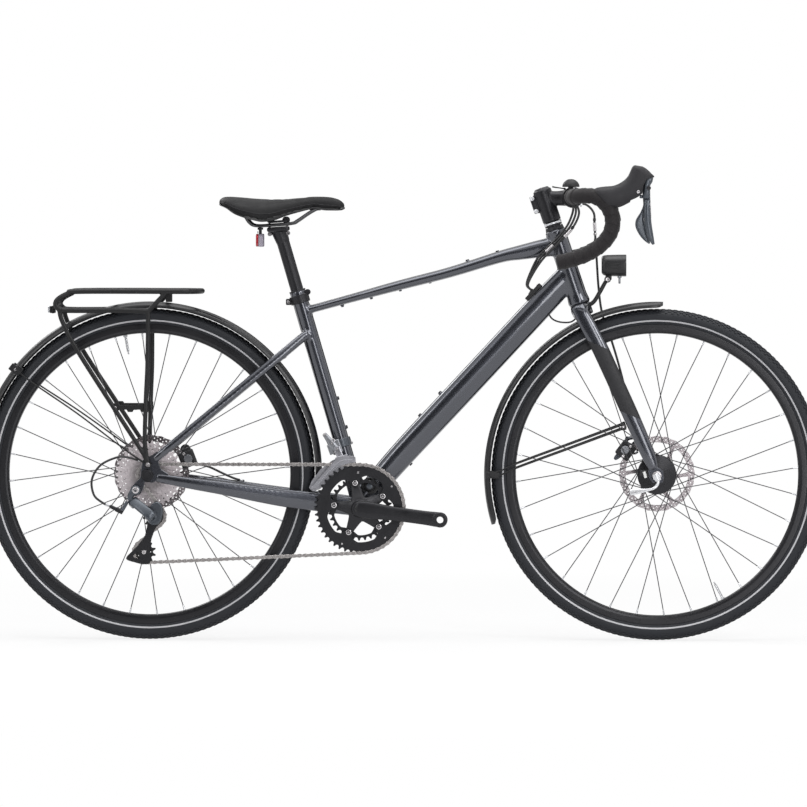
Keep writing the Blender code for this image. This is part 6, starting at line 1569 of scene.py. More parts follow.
def guard(x, z, start, end, steps):
    """A mudguard: a thin curved channel with rolled edges, rounded at both ends."""
    half = [(10, 363.8), (16, 362.6), (20, 360.2), (22.6, 357), (23.8, 353.5), (24, 351), (22.2, 351.2),
            (21.8, 354), (20.8, 356.4), (18.6, 359), (15.2, 361), (9.6, 362.1)]
    left = [(-y, r) for y, r in reversed(half)]
    section = left[6:] + [(0, 364)] + half + [(0, 362.4)] + left[:6]
    rings = []
    for k in range(steps + 1):
        t = k / steps
        a = radians(start + (end - start) * t)
        ends = min(t, 1 - t) * abs(end - start) * 6.35
        narrow = 1 if ends > 22 else 0.45 + 0.55 * sqrt(max(0, 1 - (1 - ends / 22) ** 2))
        ring = []
        for y, r in section:
            if narrow < 1 and abs(y) > 20:
                r += (1 - narrow) * 9
            ring.append(V(x + r * cos(a), y * narrow, z + r * sin(a)))
        rings.append(ring)
    return skin(rings)


def front_guard():
    """Front mudguard with its clips and paired wire stays."""
    shapes = [guard(*FRONT_AXLE, 88, 197, 90)]
    shapes.append(rod(about(*FRONT_AXLE, 115.6, 361.5), V(910.5, 0, 682), 6, 32, edge=0.8))
    clips, wires = [], []
    for sign in (-1, 1):
        clips.append(block(V(724, sign * 25.2, 348), (29, 4.4, 14), edge=1.4, segments=3))
        clips.append(block(V(728, sign * 27.2, 349.5), (19, 3.4, 12), pitched(0.3), edge=1.2))
        for dz in (4.5, -4.5):
            stay = [V(715, sign * 26.6, 348 + dz * 0.8), V(737, sign * 27.4, 351.5 + dz),
                    V(778, sign * 31, 369 + dz), V(890, sign * 41, 410.5 + dz),
                    V(1000, sign * 51, 451.6 + dz)]
            wires.append(wire(stay, 1.7, 5, 12))
        clips.append(block(V(1000, sign * 51, 451), (9, 5.4, 15), pitched(-0.35), edge=1.6, segments=3))
    piece("front_mudguard", shapes, "mudguard_plastic", "front_fender", True, angle=50)
    piece("front_mudguard_clips", clips, "moulded_nylon", "front_fender")
    piece("front_mudguard_stays", wires, "powder_coat", "front_fender")
    screws = []
    for sign in (-1, 1):
        screws.append(hex_head(V(724, sign * 27.2, 348), Y_AXIS * sign, 2.6, 1.4))
        screws.append(hex_head(V(1000, sign * 53.4, 451), Y_AXIS * sign, 2.5, 1.6))
    piece("front_mudguard_screws", screws, "zinc_plate", "front_fender")


def rear_guard():
    """Rear mudguard with its clips and stays to the eyelets."""
    shapes = [guard(*REAR_AXLE, -4, 188, 150)]
    shapes.append(rod(about(*REAR_AXLE, 41.5, 361.5), about(*REAR_AXLE, 41.5, 367), 6, 32, edge=0.8))
    clips, wires, screws = [], [], []
    turn = pitched(0.66)
    for sign in (-1, 1):
        clips.append(block(about(*REAR_AXLE, 142, 358, sign * 25.4), (26, 4.6, 16), turn, edge=1.6,
                           segments=3))
        clips.append(block(about(*REAR_AXLE, 141, 352, sign * 27), (15, 4, 12), turn, edge=1.6, segments=3))
        stay = [about(*REAR_AXLE, 142, 361, sign * 25.6), V(-240, sign * 30, 538), V(-150, sign * 47, 478),
                V(-60, sign * 69, 412), V(-20, sign * 76.4, 384), V(-6, sign * 76.45, 375)]
        wires.append(tube(stay, [1.7, 1.7, 1.7, 1.7, (1.4, 2), (1.2, 2.4)], 12, steps=6))
        wires.append(turned(on_side(sign, [(2.75, 75.4), (5.2, 75.4), (5.5, 76), (5.5, 77), (5.2, 77.5),
                                           (2.75, 77.5)]), *EYELET, 32))
        screws.append(hex_head(about(*REAR_AXLE, 142, 358, sign * 27.5), Y_AXIS * sign, 2.6, 1.4))
    piece("rear_mudguard", shapes, "mudguard_plastic", "rear_fender", True, angle=50)
    piece("rear_mudguard_clips", clips, "moulded_nylon", "rear_fender")
    piece("rear_mudguard_stays", wires, "powder_coat", "rear_fender")
    piece("rear_mudguard_screws", screws, "zinc_plate", "rear_fender")


def rack():
    """Rack of bent tube with its legs, plates, bolts and rear light."""
    half, top_z, low_z = 58, 735, 695
    side = [V(2, -half, low_z - 2), V(-60, -half, low_z), V(-172, -half, low_z), V(-188, -half, low_z + 4),
            V(-194, -half, low_z + 13), V(-188, -half, low_z + 24), V(-168, -half, top_z - 5),
            V(-145, -half, top_z), V(60, -half, top_z), V(88, -half + 7, top_z), V(104, -half + 24, top_z),
            V(110, -half + 44, top_z)]
    path = side + mirrored(side)
    tubes = [tube(path, 5.8, 24, steps=5, round_ends=2.5)]
    for x in (41, -80):
        tubes.append(rod(V(x, -half, top_z), V(x, half, top_z), 5, 24))
    tubes.append(rod(V(-192, -half, low_z + 8), V(-192, half, low_z + 8), 4.4, 24))
    bolts, heads = [], []
    plates = [block(V(-203, 0, low_z + 1), (5, 52, 16), edge=1.2),
              block(V(-197, 0, low_z + 4), (12, 16, 6), edge=0.8),
              block(V(41, 0, 721.5), (13, 20, 19.5), edge=1.2)]
    for sign in (-1, 1):
        diagonal = [V(-186, sign * half, low_z + 3), V(-180, sign * 59, 672), V(-150, sign * 62, 614),
                    V(-80, sign * 70, 505), V(-10, sign * 78, 397), V(-1, sign * 80, 378)]
        upright = [V(1, sign * half, low_z), V(1, sign * 60, 652), V(0, sign * 66, 575),
                   V(-3, sign * 71, 505), V(-5, sign * 77.5, 420), V(1, sign * 80, 376)]
        tubes += [rod(V(0, sign * half, low_z - 3), V(40, sign * half, top_z - 1), 5.2, 24),
                  tube(diagonal, [5, 5, 5, 5, 4.6, (2.1, 5.4)], 24, 2.2, 6),
                  tube(upright, [5, 5, 5, 5, 4.6, (2.1, 5.4)], 24, 2.2, 6)]
        outline = [(-37, -9), (-37, 9), (-27, 9), (-25, 5), (20, 5), (22, 9), (37, 9), (37, -9), (22, -9),
                   (20, -4), (6, -4), (4, -9), (-6, -9), (-8, -4), (-25, -4), (-27, -9)]
        plates.append(plate([rounded(outline, 1.6, 2)], 2.6, facing(sign * 71.5, -35, 491), 0.4))
        for dx in (-32, 32):
            heads.append(hex_head(V(-35 + dx, sign * 72.8, 491), Y_AXIS * sign, 3.2, 2.2))
        foot = on_side(sign, [(2.6, 78), (6.6, 78), (7, 78.6), (7, 81.4), (6.6, 82), (2.6, 82)])
        plates.append(turned(foot, *EYELET, 40))
        bolts.append(ydisc(*EYELET, sign * 68.5, sign * 83.5, 2.45, 20))
        heads.append(hex_head(V(EYELET[0], sign * 81.8, EYELET[1]), Y_AXIS * sign, 4.5, 3.1))
    smooth = welded(tubes, 1.3, 5)
    piece("rack_tubes", smooth, "powder_coat", "rear_rack", True, angle=60, weighted=False)
    piece("rack_plates", plates, "powder_coat", "rear_rack")
    piece("rack_bolts", [*bolts, *heads], "zinc_plate", "rear_rack")
    light = block(V(-207.2, 0, low_z + 1), (3.2, 50, 14.6), edge=1.2, segments=3)
    piece("rear_light_body", light, "moulded_nylon", "rear_rack")
    glass = block(V(-211, 0, low_z + 1), (4.6, 48, 13.4), edge=1.6, segments=4)
    piece("rear_light_lens", glass, "lamp_lens", "rear_rack")


def seat_post():
    """Seat post with its cradle, yoke and bolts, and the saddle's rail wires."""
    post = rod(seat_axis(SEAT_TOP_Z - 150), seat_axis(858), POST_R, 56, edge=1)
    tilt = pitched(radians(-4))
    head = [block(V(272, 0, 865.6), (46, 54, 10), tilt, edge=3.6, segments=4),
            rod(seat_axis(838), V(272, 0, 866), 14.3, 48, 17, edge=1)]
    smooth = welded([post, *head], 1.2, 6)
    piece("post_and_cradle", smooth, "anodised_black", "seatpost", True, angle=55, weighted=False)
    yoke = [block(V(272, 0, 881.6), (40, 54, 5), tilt, edge=1.8, segments=3),
            ydisc(288.5, 885, -22, 22, 7.2, 40, 1.6),
            block(V(255.5, 0, 884.8), (14, 44, 8.6), tilt, edge=2, segments=3),
            tube([V(252.6, y, 881 + (2.4 if abs(y) > 17 else 0)) for y in (-26, -18, 0, 18, 26)], (3.4, 3),
                 16, 2.4, 4, first=X_AXIS)]
    piece("post_yoke", yoke, "anodised_black", "seatpost")
    bolts = [rod(V(292, 0, 855), V(290.5, 0, 887), 2.9, 24), hex_head(V(290.6, 0, 884.6), Z_AXIS, 4.6, 3.6),
             rod(V(254, 0, 852), V(252.5, 0, 884.5), 2.9, 24), hex_head(V(252.6, 0, 883.2), Z_AXIS, 4.6, 3),
             rod(V(292.2, -9, 857), V(292.2, 9, 857), 4.4, 24),
             rod(V(254.2, -9, 855), V(254.2, 9, 855), 4.4, 24)]
    piece("post_bolts", bolts, "zinc_plate", "seatpost")
    half = [V(198, -33, 907.9), V(203, -31, 895), V(212, -27, 880), V(226, -22.5, 872.8), V(262, -22, 874.2),
            V(301, -22, 877.6), V(313, -20.5, 883), V(335, -16, 898), V(351, -11, 907), V(359, -4, 908.2)]
    path = half + mirrored(half)
    piece("saddle_rail_wires", tube(path, 3.5, 20, steps=6, round_ends=1.4), "spoke_wire", "saddle_rails",
          True)


def reflector():
    """The red reflector below the saddle: a lens on a moulded back that hangs from the rails."""
    upright = Matrix.Rotation(pi / 2, 4, "X") @ Matrix.Rotation(pi / 2, 4, "Y")
    outline = rounded([(-22, -12.5), (22, -12.5), (22, 12.5), (-22, 12.5)], 6, 6)
    face, back = [plate([outline], thick, Matrix.Translation(V(x, 0, 842)) @ upright, edge)
                  for x, thick, edge in ((228.2, 5, 0.8), (236, 10.5, 1.2))]
    clamp = merged(block(V(234, 0, 860.5), (6, 12, 17), edge=1.4),
                   block(V(234, 0, 866.4), (9, 54, 4.6), edge=1.2))
    piece("reflector_lens", face, "reflector_acrylic", "rear_reflector", True)
    piece("reflector_back", back, "pale_abs", "rear_reflector")
    piece("reflector_clamp", clamp, "moulded_nylon", "rear_reflector")
    piece("reflector_screw", hex_head(V(229.4, 0, 858.5), -X_AXIS, 2.4, 1.6), "zinc_plate", "rear_reflector")


# Stem, bar, hoods and levers

def stem():
    """Spacers, stem and face plate, with their bolts and slits."""
    post = [rod(steer(575.2), steer(645), 19.4, 64, edge=1.2),
            rod(steer(644), steer(649.5), 16.5, 48, 15, 1.2)]
    arm = tube([steer(623), V(838, 0, 930.5), V(864, 0, 930.5), V(BAR_CENTRE[0], 0, BAR_CENTRE[1])],
               [(16.5, 17), (15.5, 15.4), (16.5, 15.6), (20, 19)], 48, 2.6, 8)
    clamp = ydisc(*BAR_CENTRE, -22, 22, 22.3, 64, 1.4)
    upright = pitched(HEAD_ANGLE - pi / 2)
    ear = block(steer(620, -20), (20, 15, 38), upright, 2.4, 3)
    body = welded([*post, arm, clamp, ear], 1.1, 6)
    slit = [block(steer(620, -24), (26, 2.2, 46), upright, 0.1, 1),
            block(V(894.5, 0, 954), (2, 60, 14), pitched(-0.1), 0.1, 1),
            block(V(894.5, 0, 911), (2, 60, 14), pitched(0.1), 0.1, 1),
            ydisc(*BAR_CENTRE, -40, 40, BAR_CLAMP_R + 0.3, 64, 0.1)]
    body = carved(body, *slit)
    piece("stem_body", body, "anodised_black", "stem", True, angle=50, weighted=False)
    piece("headset_silver_ring", rod(steer(569), steer(573.6), 18.9, 64, edge=0.8), "polished_alloy", "stem")
    piece("headset_cone",
          [rod(steer(564.7), steer(568.8), 18.2, 64, edge=0.6), rod(steer(573.8), steer(575), 18.6, 64)],
          "anodised_black", "stem")
    piece("stem_cap_bolt", hex_head(steer(649), (steer(650) - steer(600)).normalized(), 5.2, 1.2, 0.6),
          "zinc_plate", "stem")
    bolts = []
    for s in (606, 634):
        seat = steer(s, -25)
        bolts += [hex_head(seat + Y_AXIS * 0.0072, Y_AXIS, 4.9, 2.2),
                  hex_head(seat - Y_AXIS * 0.0072, -Y_AXIS, 4.9, 3.2)]
    for y in (-15.5, 15.5):
        for z in (948.6, 916.4):
            tilted = X_AXIS + Z_AXIS * copysign(0.35, z - 930)
            bolts.append(hex_head(V(909, y, z), tilted.normalized(), 3.6, 3))
    piece("stem_bolts", bolts, "polished_alloy", "stem")


def bar_path(start_side):
    """The bar's centreline from its middle to the end on one side."""
    half = [V(892.5, 0, 932.5), V(892.5, 22, 932.5), V(892.5, 50, 932.5), V(892.5, 110, 932.8),
            V(892.6, 160, 933.4), V(895, 182, 934.2), V(903, 198, 935.2), V(917, 207.5, 936),
            V(938, 210, 934.5), V(956, 210, 925), V(969.5, 210, 909), V(976.5, 210, 889), V(975, 210, 867),
            V(966, 210, 848), V(947, 210, 829), V(920, 210, 813), V(886, 210, 802), V(863.5, 210, 797)]
    return [Vector((p.x, p.y * start_side, p.z)) for p in half]


def handlebar():
    """The bare bar, thicker where the stem clamps it."""
    right = bar_path(-1)
    path = bar_path(1)[::-1] + right[1:]
    sizes = [BAR_R] * len(path)
    middle = len(right) - 1
    for step, size in ((0, BAR_CLAMP_R), (1, BAR_CLAMP_R), (2, BAR_R + 0.6)):
        sizes[middle - step] = sizes[middle + step] = size
    piece("bar_tube", tube(path[1:-1], sizes[1:-1], 32, steps=6), "anodised_black", "handlebar", True)


def grip_tape(label, sign, sizes):
    """Tape wound along the bar: each turn laps the one before and leaves a slanting ridge."""
    path = curved(bar_path(sign)[3:], 30)
    placed = frames_along(path)
    run, rings, sides = 0, [], 40
    turn = sizes.wrap / MM
    for i, (point, side, up) in enumerate(placed):
        if i:
            run += (point - placed[i - 1][0]).length / MM
        left = min(run, 16) / 16
        ring = []
        for k in range(sides):
            a = 2 * pi * k / sides
            phase = (run / turn - sign * k / sides) % 1
            rise = 1.5 * (phase ** 1.6)
            if phase >= 0.86:  # the lap's edge, where the tape drops to the turn before
                rise = 1.5 * (1 - ((phase - 0.86) / 0.14) ** 2) * 0.86 ** 1.6
            base = 14.6 + min(1, left * 1.5) * 0.75
            reach = base + rise * min(1, left * 2)
            ring.append(point + (side * cos(a) + up * sin(a)) * (reach * MM))
        rings.append(ring)
    wound = skin(rings)
    piece("grip_tape_" + label, wound, "foam_tape", "bar_tape_" + label, True, angle=70, weighted=False)
    start = bar_path(sign)[3]
    band = rod(start - Y_AXIS * (sign * 0.004), start + Y_AXIS * (sign * 0.014), 15.5, 48, edge=0.6)
    piece("finishing_band_" + label, band, "moulded_nylon", "bar_tape_" + label)
    end, before = path[-1], path[-6]
    along = (end - before).normalized()
    plug = rod(end - along * 0.001, end + along * 0.0026, 15.4, 40, 13.4, 1.2)
    piece("bar_plug_" + label, plug, "moulded_nylon", "bar_tape_" + label)


HOOD_ROWS = [  # (x, z, direction in degrees, half width, half height)
    (953, 931.5, 0, 16.4, 17.2), (957, 932, 1, 18.8, 20.6), (966, 932.6, 6, 19.5, 22.4),
    (985, 934.5, 14, 18.8, 23.2), (1002, 942, 30, 17.8, 22.6), (1019, 951.2, 45, 16.8, 24.8),
    (1031, 965.2, 62, 16.2, 25), (1038.5, 979.5, 76, 15.5, 26), (1037, 988.5, 74, 14, 20.8),
    (1034, 995, 76, 10.5, 14), (1032, 998, 80, 5.4, 7.5)]


HOOD_MOUTH = [(1038.6, 920), (1038.6, 937), (1040.6, 956), (1047.5, 970), (1062, 974.6), (1080, 974.6),
              (1080, 920)]


def hood(label, sign):
    """The rubber hood: a horn-topped grip with the lever's mouth cut out below."""
    rings, rows = [], curved([Vector(row) for row in HOOD_ROWS], 5)
    for i, (x, z, lean, half, high) in enumerate(rows):
        a = radians(lean)
        up = Vector((-sin(a), 0, cos(a)))
        ring = []
        for k in range(40):
            t = 2 * pi * k / 40
            c, s = cos(t), sin(t)
            across = copysign(abs(c) ** 0.84, c) * half
            rise = copysign(abs(s) ** 0.84, s) * high
            slant = 0.92 * rise * max(0, 1 - i / 14)
            ring.append(V(x - slant, sign * BAR_HALF + across, z) + up * (rise * MM))
        rings.append(ring)
    px, pz = LEVER_PIVOT
    side_y = sign * BAR_HALF
    shell = skin(rings)
    cutters = [block(V(px - 1, side_y, pz - 1), (27, 21, 15), None, 2, 3),
               block(V(1037.5, side_y - sign * 0.5, 929.5), (49, 22, 37), None, 3, 3),
               ydisc(px, pz, side_y - 13.4, side_y + 13.4, 5.2, 32, 0.1),
               plate([HOOD_MOUTH], 44, facing(side_y), 0.1)]
    body = carved(shell, *cutters)
    piece("hood_grip_" + label, body, "hood_rubber", "hood_" + label, True, angle=48, weighted=False)
    screws = [hex_head(V(1030.4, side_y + out * 14.4, 944), Y_AXIS * out, 3.3, 1.6) for out in (-1, 1)]
    piece("hood_screws_" + label, screws, "brushed_stainless", "hood_" + label)


def lever(label, sign):
    """Bracket, cap, brake blade with its inlay, and shift paddle."""
    px, pz = LEVER_PIVOT
    y = sign * BAR_HALF
    paddle_y = sign * (BAR_HALF - 8)
    node_name = "lever_bracket_" + label
    bracket = tube([V(1047, y, 956), V(1047, y, 946), V(1046.6, y, 940), V(1046.4, y, 931.4)],
                   [(9, 7.4), (9, 7.4), (8.8, 7.4), (8.2, 8)], 32, 3, 5)
    bracket = merged(bracket, block(V(1040, paddle_y + sign * 3, 934), (14, 10, 7), None, 1.4, 3))
    piece("lever_bracket_body_" + label, bracket, "cast_grey", node_name, True, angle=50)
    pins = [ydisc(px, pz, y - 12.2, y + 12.2, 4.6, 28, 0.6), hex_head(V(px, y + 12, pz), Y_AXIS, 3.6, 0.8),
            hex_head(V(px, y - 12, pz), -Y_AXIS, 3.6, 0.8)]
    piece("lever_pin_" + label, pins, "anodised_black", node_name)
    cap = tube([V(1056, y, 976), V(1052, y, 968.5), V(1048.4, y, 960), V(1048, y, 951), V(1048.2, y, 938),
                V(1048.6, y, 930.8)], [(7, 6), (10.4, 8.4), (11.6, 7.6), (11, 6.8), (9.8, 6.9), (8.2, 6.4)],
               32, 2.6, 7, round_ends=1.4)
    piece("lever_cap_" + label, cap, "cast_grey", node_name)
    blade = [V(1048.4, y, 928.9), V(1048.4, y, 925), V(1048.6, y + sign, 912), V(1049.2, y + sign * 2, 893),
             V(1051.4, y + sign * 2, 873), V(1056, y + sign, 851), V(1061.6, y, 836)]
    shape = tube(blade, [(4, 6.8), (6.4, 7.2), (7.6, 7.4), (7.4, 7.4), (6.4, 7.2), (5.4, 6.2), (3.6, 3)], 36,
                 2.4, 8, round_ends=1.2)
    barrel = rod(V(1042.4, y, 930), V(1055.4, y, 930), 3.5, 28, edge=0.5)
    piece("blade_" + label, [shape, barrel], "cast_grey", "brake_blade_" + label, True, angle=50)
    cover = tube([V(1055.2, y + sign * 1, 921), V(1055.6, y + sign * 1.5, 905), V(1056.4, y + sign * 2, 890)],
                 [(3.8, 0.9), (4.6, 1), (3.6, 0.9)], 20, 2.6, 6, round_ends=0.5)
    piece("blade_inlay_" + label, cover, "brushed_stainless", "brake_blade_" + label)
    paddle = [V(1043, y - sign * 8, 929), V(1043.5, y - sign * 11.5, 915), V(1038.5, y - sign * 13, 900),
              V(1033.6, y - sign * 13, 879), V(1038.4, y - sign * 12.4, 861), V(1045.6, y - sign * 11, 847),
              V(1053.6, y - sign * 10, 837.5)]
    shape = tube(paddle, [(1.5, 3), (1.8, 3), (2, 3.6), (2, 9.6), (2, 8.4), (1.8, 5), (1.4, 2)], 32, 2.6, 8,
                 round_ends=0.8)
    lip = tube([V(1028.6, y - sign * 11.2, 888), V(1026.4, y - sign * 11, 875),
                V(1032, y - sign * 10.6, 860)], [(1.5, 0.8), (1.9, 1), (1.5, 0.8)], 14, 2.2, 6,
               round_ends=0.4)
    piece("paddle_" + label, [shape, lip, rod(V(1040.2, paddle_y, 930), V(1047.4, paddle_y, 930), 1.5, 20)],
          "cast_grey", "shift_paddle_" + label, True, angle=50)


def bell():
    """Band, dome and sprung striker."""
    y = -41.5
    band = turned([(14.9, y - 6), (17.2, y - 6), (17.8, y - 5.4), (17.8, y + 5.4), (17.2, y + 6),
                   (14.9, y + 6)], *BAR_CENTRE, 64)
    post = [rod(V(889, y, 946), V(889, y, 956), 6, 28, edge=0.6),
            rod(V(884, y, 946), V(878.6, y, 948.3), 2.6, 20)]
    piece("bell_band", [band, *post], "moulded_nylon", "bell", True)
    profile = [(1, 970.9), (4.8, 970.6), (8.4, 969.3), (12, 966.9), (15, 963.8), (17, 960.4), (18, 957.2),
               (18, 955.2), (17.4, 954.2), (16.6, 955.2), (16.4, 957.6), (14.6, 961.4), (11, 965), (6, 967.4),
               (1, 968.2)]
    rings = [oval(V(889, y, z), X_AXIS, Y_AXIS, r, r, 56) for r, z in profile]
    piece("bell_dome", skin(rings), "powder_coat", "bell")
    piece("bell_cap_screw", hex_head(V(889, y, 970.2), Z_AXIS, 2.4, 1), "zinc_plate", "bell")
    pivot = V(876, y, 950.4)
    striker = tube([pivot, V(866, y, 952.2), V(856, y, 953.6), V(850.4, y, 954.8)],
                   [(3.6, 1.5), (3.3, 1.3), (3.5, 1.5), (4.2, 1.7)], 24, 2.6, 6, round_ends=1)
    pin = rod(pivot - Y_AXIS * 0.0045, pivot + Y_AXIS * 0.0045, 2.5, 24, edge=0.4)
    piece("striker_lever", [striker, pin], "moulded_nylon", "bell_striker", True)


def cockpit(sizes):
    """Stem, handlebar, tape, hoods, levers and bell."""
    stem()
    handlebar()
    for label, sign in (("right", -1), ("left", 1)):
        grip_tape(label, sign, sizes)
        hood(label, sign)
        lever(label, sign)
    bell()


# Brakes

CALIPERS = {
    "front": (FRONT_AXLE, radians(143), FRONT_DISC_Y, 56, (1018.5, 391, 57), -3, (84, 0), 223),
    "rear": (REAR_AXLE, radians(21), REAR_DISC_Y, 68.5, (97, 366.5, 69.5), 2.5, (84, 20), 262),
}


def beside_disc(end, radius, around=0):
    """(x, z) at this radius of a brake disc, moved round it in millimetres."""
    (x, z), angle = CALIPERS[end][:2]
    return (x + radius * cos(angle) - around * sin(angle), z + radius * sin(angle) + around * cos(angle))


def brake(end):
    """A cable-pulled disc caliper with its knob, stop, adjuster and arm."""
    _, angle, disc_y, arm_y, (stop_x, stop_z, stop_y), lift, pivot, lean = CALIPERS[end]
    spin = pitched(-angle)
    cx, cz = beside_disc(end, 82)
    inner, outer = disc_y - 12, arm_y - 2.6
    px, pz = beside_disc(end, *pivot)
    kx, kz = beside_disc(end, 84)
    halves = [block(V(cx, (inner + disc_y - 1.6) / 2, cz), (33, disc_y - 1.6 - inner, 35), spin, 3.2, 3),
              block(V(cx, (outer + disc_y + 1.6) / 2, cz), (33, outer - disc_y - 1.6, 35), spin, 3, 3)]
    rim_x, rim_z = beside_disc(end, 94)
    halves.append(block(V(rim_x, (inner + outer) / 2, rim_z), (9, outer - inner - 2, 26), spin, 2, 3))
    body = welded([*halves, ydisc(px, pz, outer - 4, arm_y - 0.4, 11.3, 48, 1)], 0.8, 4)
    gx, gz = beside_disc(end, 66)
    lighten = [block(V(gx, disc_y, gz), (36, DISC_T + 1.2, 80), spin, 0.05, 1)]
    for around in (-9, 9):
        hx, hz = beside_disc(end, 90, around)
        lighten.append(ydisc(hx, hz, outer - 1.6, outer + 3, 2.6, 24, 0.3))
    body = carved(body, *lighten)
    piece(end + "_brake_body", body, "matt_lacquer", end + "_caliper", True, angle=48, weighted=False)
    ribs = [ydisc(*spot, inner - 3.2, inner + 1, 0.9, 10) for spot in circle(kx, kz, 8.6, 12)]
    knob = ydisc(kx, kz, inner - 3.5, inner + 3, 8.8, 40, 0.9)
    piece(end + "_brake_knob", [knob, *ribs], "satin_grey", end + "_caliper")
    bright = [ydisc(px, pz, arm_y - 2, arm_y + 3.4, 3.4, 28),
              hex_head(V(px, arm_y + 3.3, pz), Y_AXIS, 3.4, 1.1)]
    adjuster = V(stop_x - 9, stop_y, stop_z + lift)
    seat = V(stop_x, stop_y, stop_z)
    out = (seat - adjuster).normalized()
    bright.append(rod(adjuster, seat, 3.8, 24, edge=0.6))
    for k in range(5):
        bright.append(nut(adjuster + out * (0.0016 + 0.0014 * k), out, 4.1, 0.7, 10))
    for around in (-12.5, 12.5):
        bx, bz = beside_disc(end, 79, around)
        bright.append(hex_head(V(bx, outer - 0.2, bz), Y_AXIS, 3.2, 1.5))
        bright.append(hex_head(V(bx, inner + 0.2, bz), -Y_AXIS, 3.2, 1.5))
    piece(end + "_brake_bolts", bright, "zinc_plate", end + "_caliper")
    a = radians(lean)
    ux, uz = cos(a), sin(a)
    outline = []
    for t, w in ((0, 8.2), (12, 6.4), (26, 4.4), (30.6, 2.4)):
        outline.append((t * ux - w * uz, t * uz + w * ux))
    for t, w in ((30.6, 2.4), (26, 4.4), (12, 6.4), (0, 8.2), (-6.6, 4.4)):
        outline.append((t * ux + w * uz, t * uz - w * ux))
    outline.append((-6.6 * ux - 4.4 * uz, -6.6 * uz + 4.4 * ux))
    holes = [circle(0, 0, 3.8, 28), circle(14 * ux, 14 * uz, 2, 20)]
    arm = plate([rounded(outline, 2.4, 4)] + holes, 3, facing(arm_y + 1.6, px, pz), 0.4)
    piece(end + "_brake_arm_plate", arm, "cast_grey", end + "_caliper_arm", True)
    clamp = V(px + 26 * ux, arm_y + 0.2, pz + 26 * uz)
    grip = [rod(clamp, clamp + Y_AXIS * 0.0042, 3.5, 28, edge=0.4),
            hex_head(clamp + Y_AXIS * 0.0042, Y_AXIS, 3.2, 1.5)]
    piece(end + "_brake_arm_clamp", grip, "zinc_plate", end + "_caliper_arm")


# Saddle: a cushion swells out of a slightly smaller start and a thin shell closes it below

SADDLE = [  # (x, half width, top z, side edge z)
    (147.6, 16, 926, 922), (150, 36, 930.5, 919), (156, 54, 934.4, 916.4),
    (166, 66, 935.6, 912), (182, 73, 934.4, 901), (202, 74, 932, 893), (222, 70, 930.2, 887.5),
    (240, 62, 929.2, 884), (262, 50, 929, 887), (286, 38.5, 930, 896),
    (312, 29.5, 932.8, 903.5), (340, 23.5, 935, 910.5), (353, 21.8, 935.4, 911.6),
    (368, 20.5, 935.4, 908.4), (384, 19, 934, 907.8), (398, 16.5, 930.4, 907.8),
    (407, 12, 925, 908.8), (413, 5.5, 918, 912)]


def hollow(top, edge):
    """How far a section of the saddle is hollowed below its edge."""
    return max(2.5, min(top - edge - 17, 26))


def saddle_ring(x, half, top, edge, shrink):
    """A saddle section: crowned top, drawn-in lower sides, hollowed underside."""
    half, top = half - shrink, top - shrink
    deep = hollow(top, edge)
    ring = []
    for k in range(33):
        a = pi * k / 32
        c, s = cos(a), sin(a)
        dip = 1.8 * exp(-(c * half / 9) ** 2) if half > 24 else 0
        ring.append(V(x, half * copysign(abs(c) ** 0.86, c), edge + (top - edge) * s ** 0.62 - dip))
    for k in range(17):
        a = pi * (1 - (k + 0.5) / 17)
        c, s = cos(a), sin(a)
        ring.append(V(x, (half - 5) * c * 0.97, edge - 0.8 + deep * s ** 0.7))
    return ring


def cushioned(shape):
    """The same pad swollen a little by air pressure, its underside and rim held still."""
    made = holder_of(welded(shape, 4.2, 2), "cushion")
    rest = [v.co.copy() for v in made.data.vertices]
    rows = sorted(SADDLE)
    held = made.vertex_groups.new(name="held")
    for v in made.data.vertices:
        x = v.co.x / MM + X_MID
        near = min(rows, key=lambda row: abs(row[0] - x))
        if v.co.z / MM < near[3] + 5 or v.normal.z < -0.2:
            held.add([v.index], 1, "REPLACE")
    cloth = made.modifiers.new("swell", "CLOTH")
    chosen = {"quality": 5, "mass": 0.3, "tension_stiffness": 12, "compression_stiffness": 12,
              "shear_stiffness": 6, "bending_stiffness": 1.2, "use_pressure": True,
              "uniform_pressure_force": 4, "vertex_group_mass": "held"}
    for name, value in chosen.items():
        setattr(cloth.settings, name, value)
    cloth.settings.effector_weights.gravity = 0
    for number in range(1, 21):
        bpy.context.scene.frame_set(number)
    points, faces = evaluated(made)
    bpy.context.scene.frame_set(1)
    kept = []
    for before, after in zip(rest, points):
        shift = after - before
        if shift.length > 2.6 * MM:
            shift = shift.normalized() * (2.6 * MM)
        kept.append(before + shift)
    return kept, faces


def refined(shape):
    """A smoother skin, each face split in four."""
    made = holder_of(shape)
    made.modifiers.new("fine", "SUBSURF").levels = 1
    return evaluated(made)


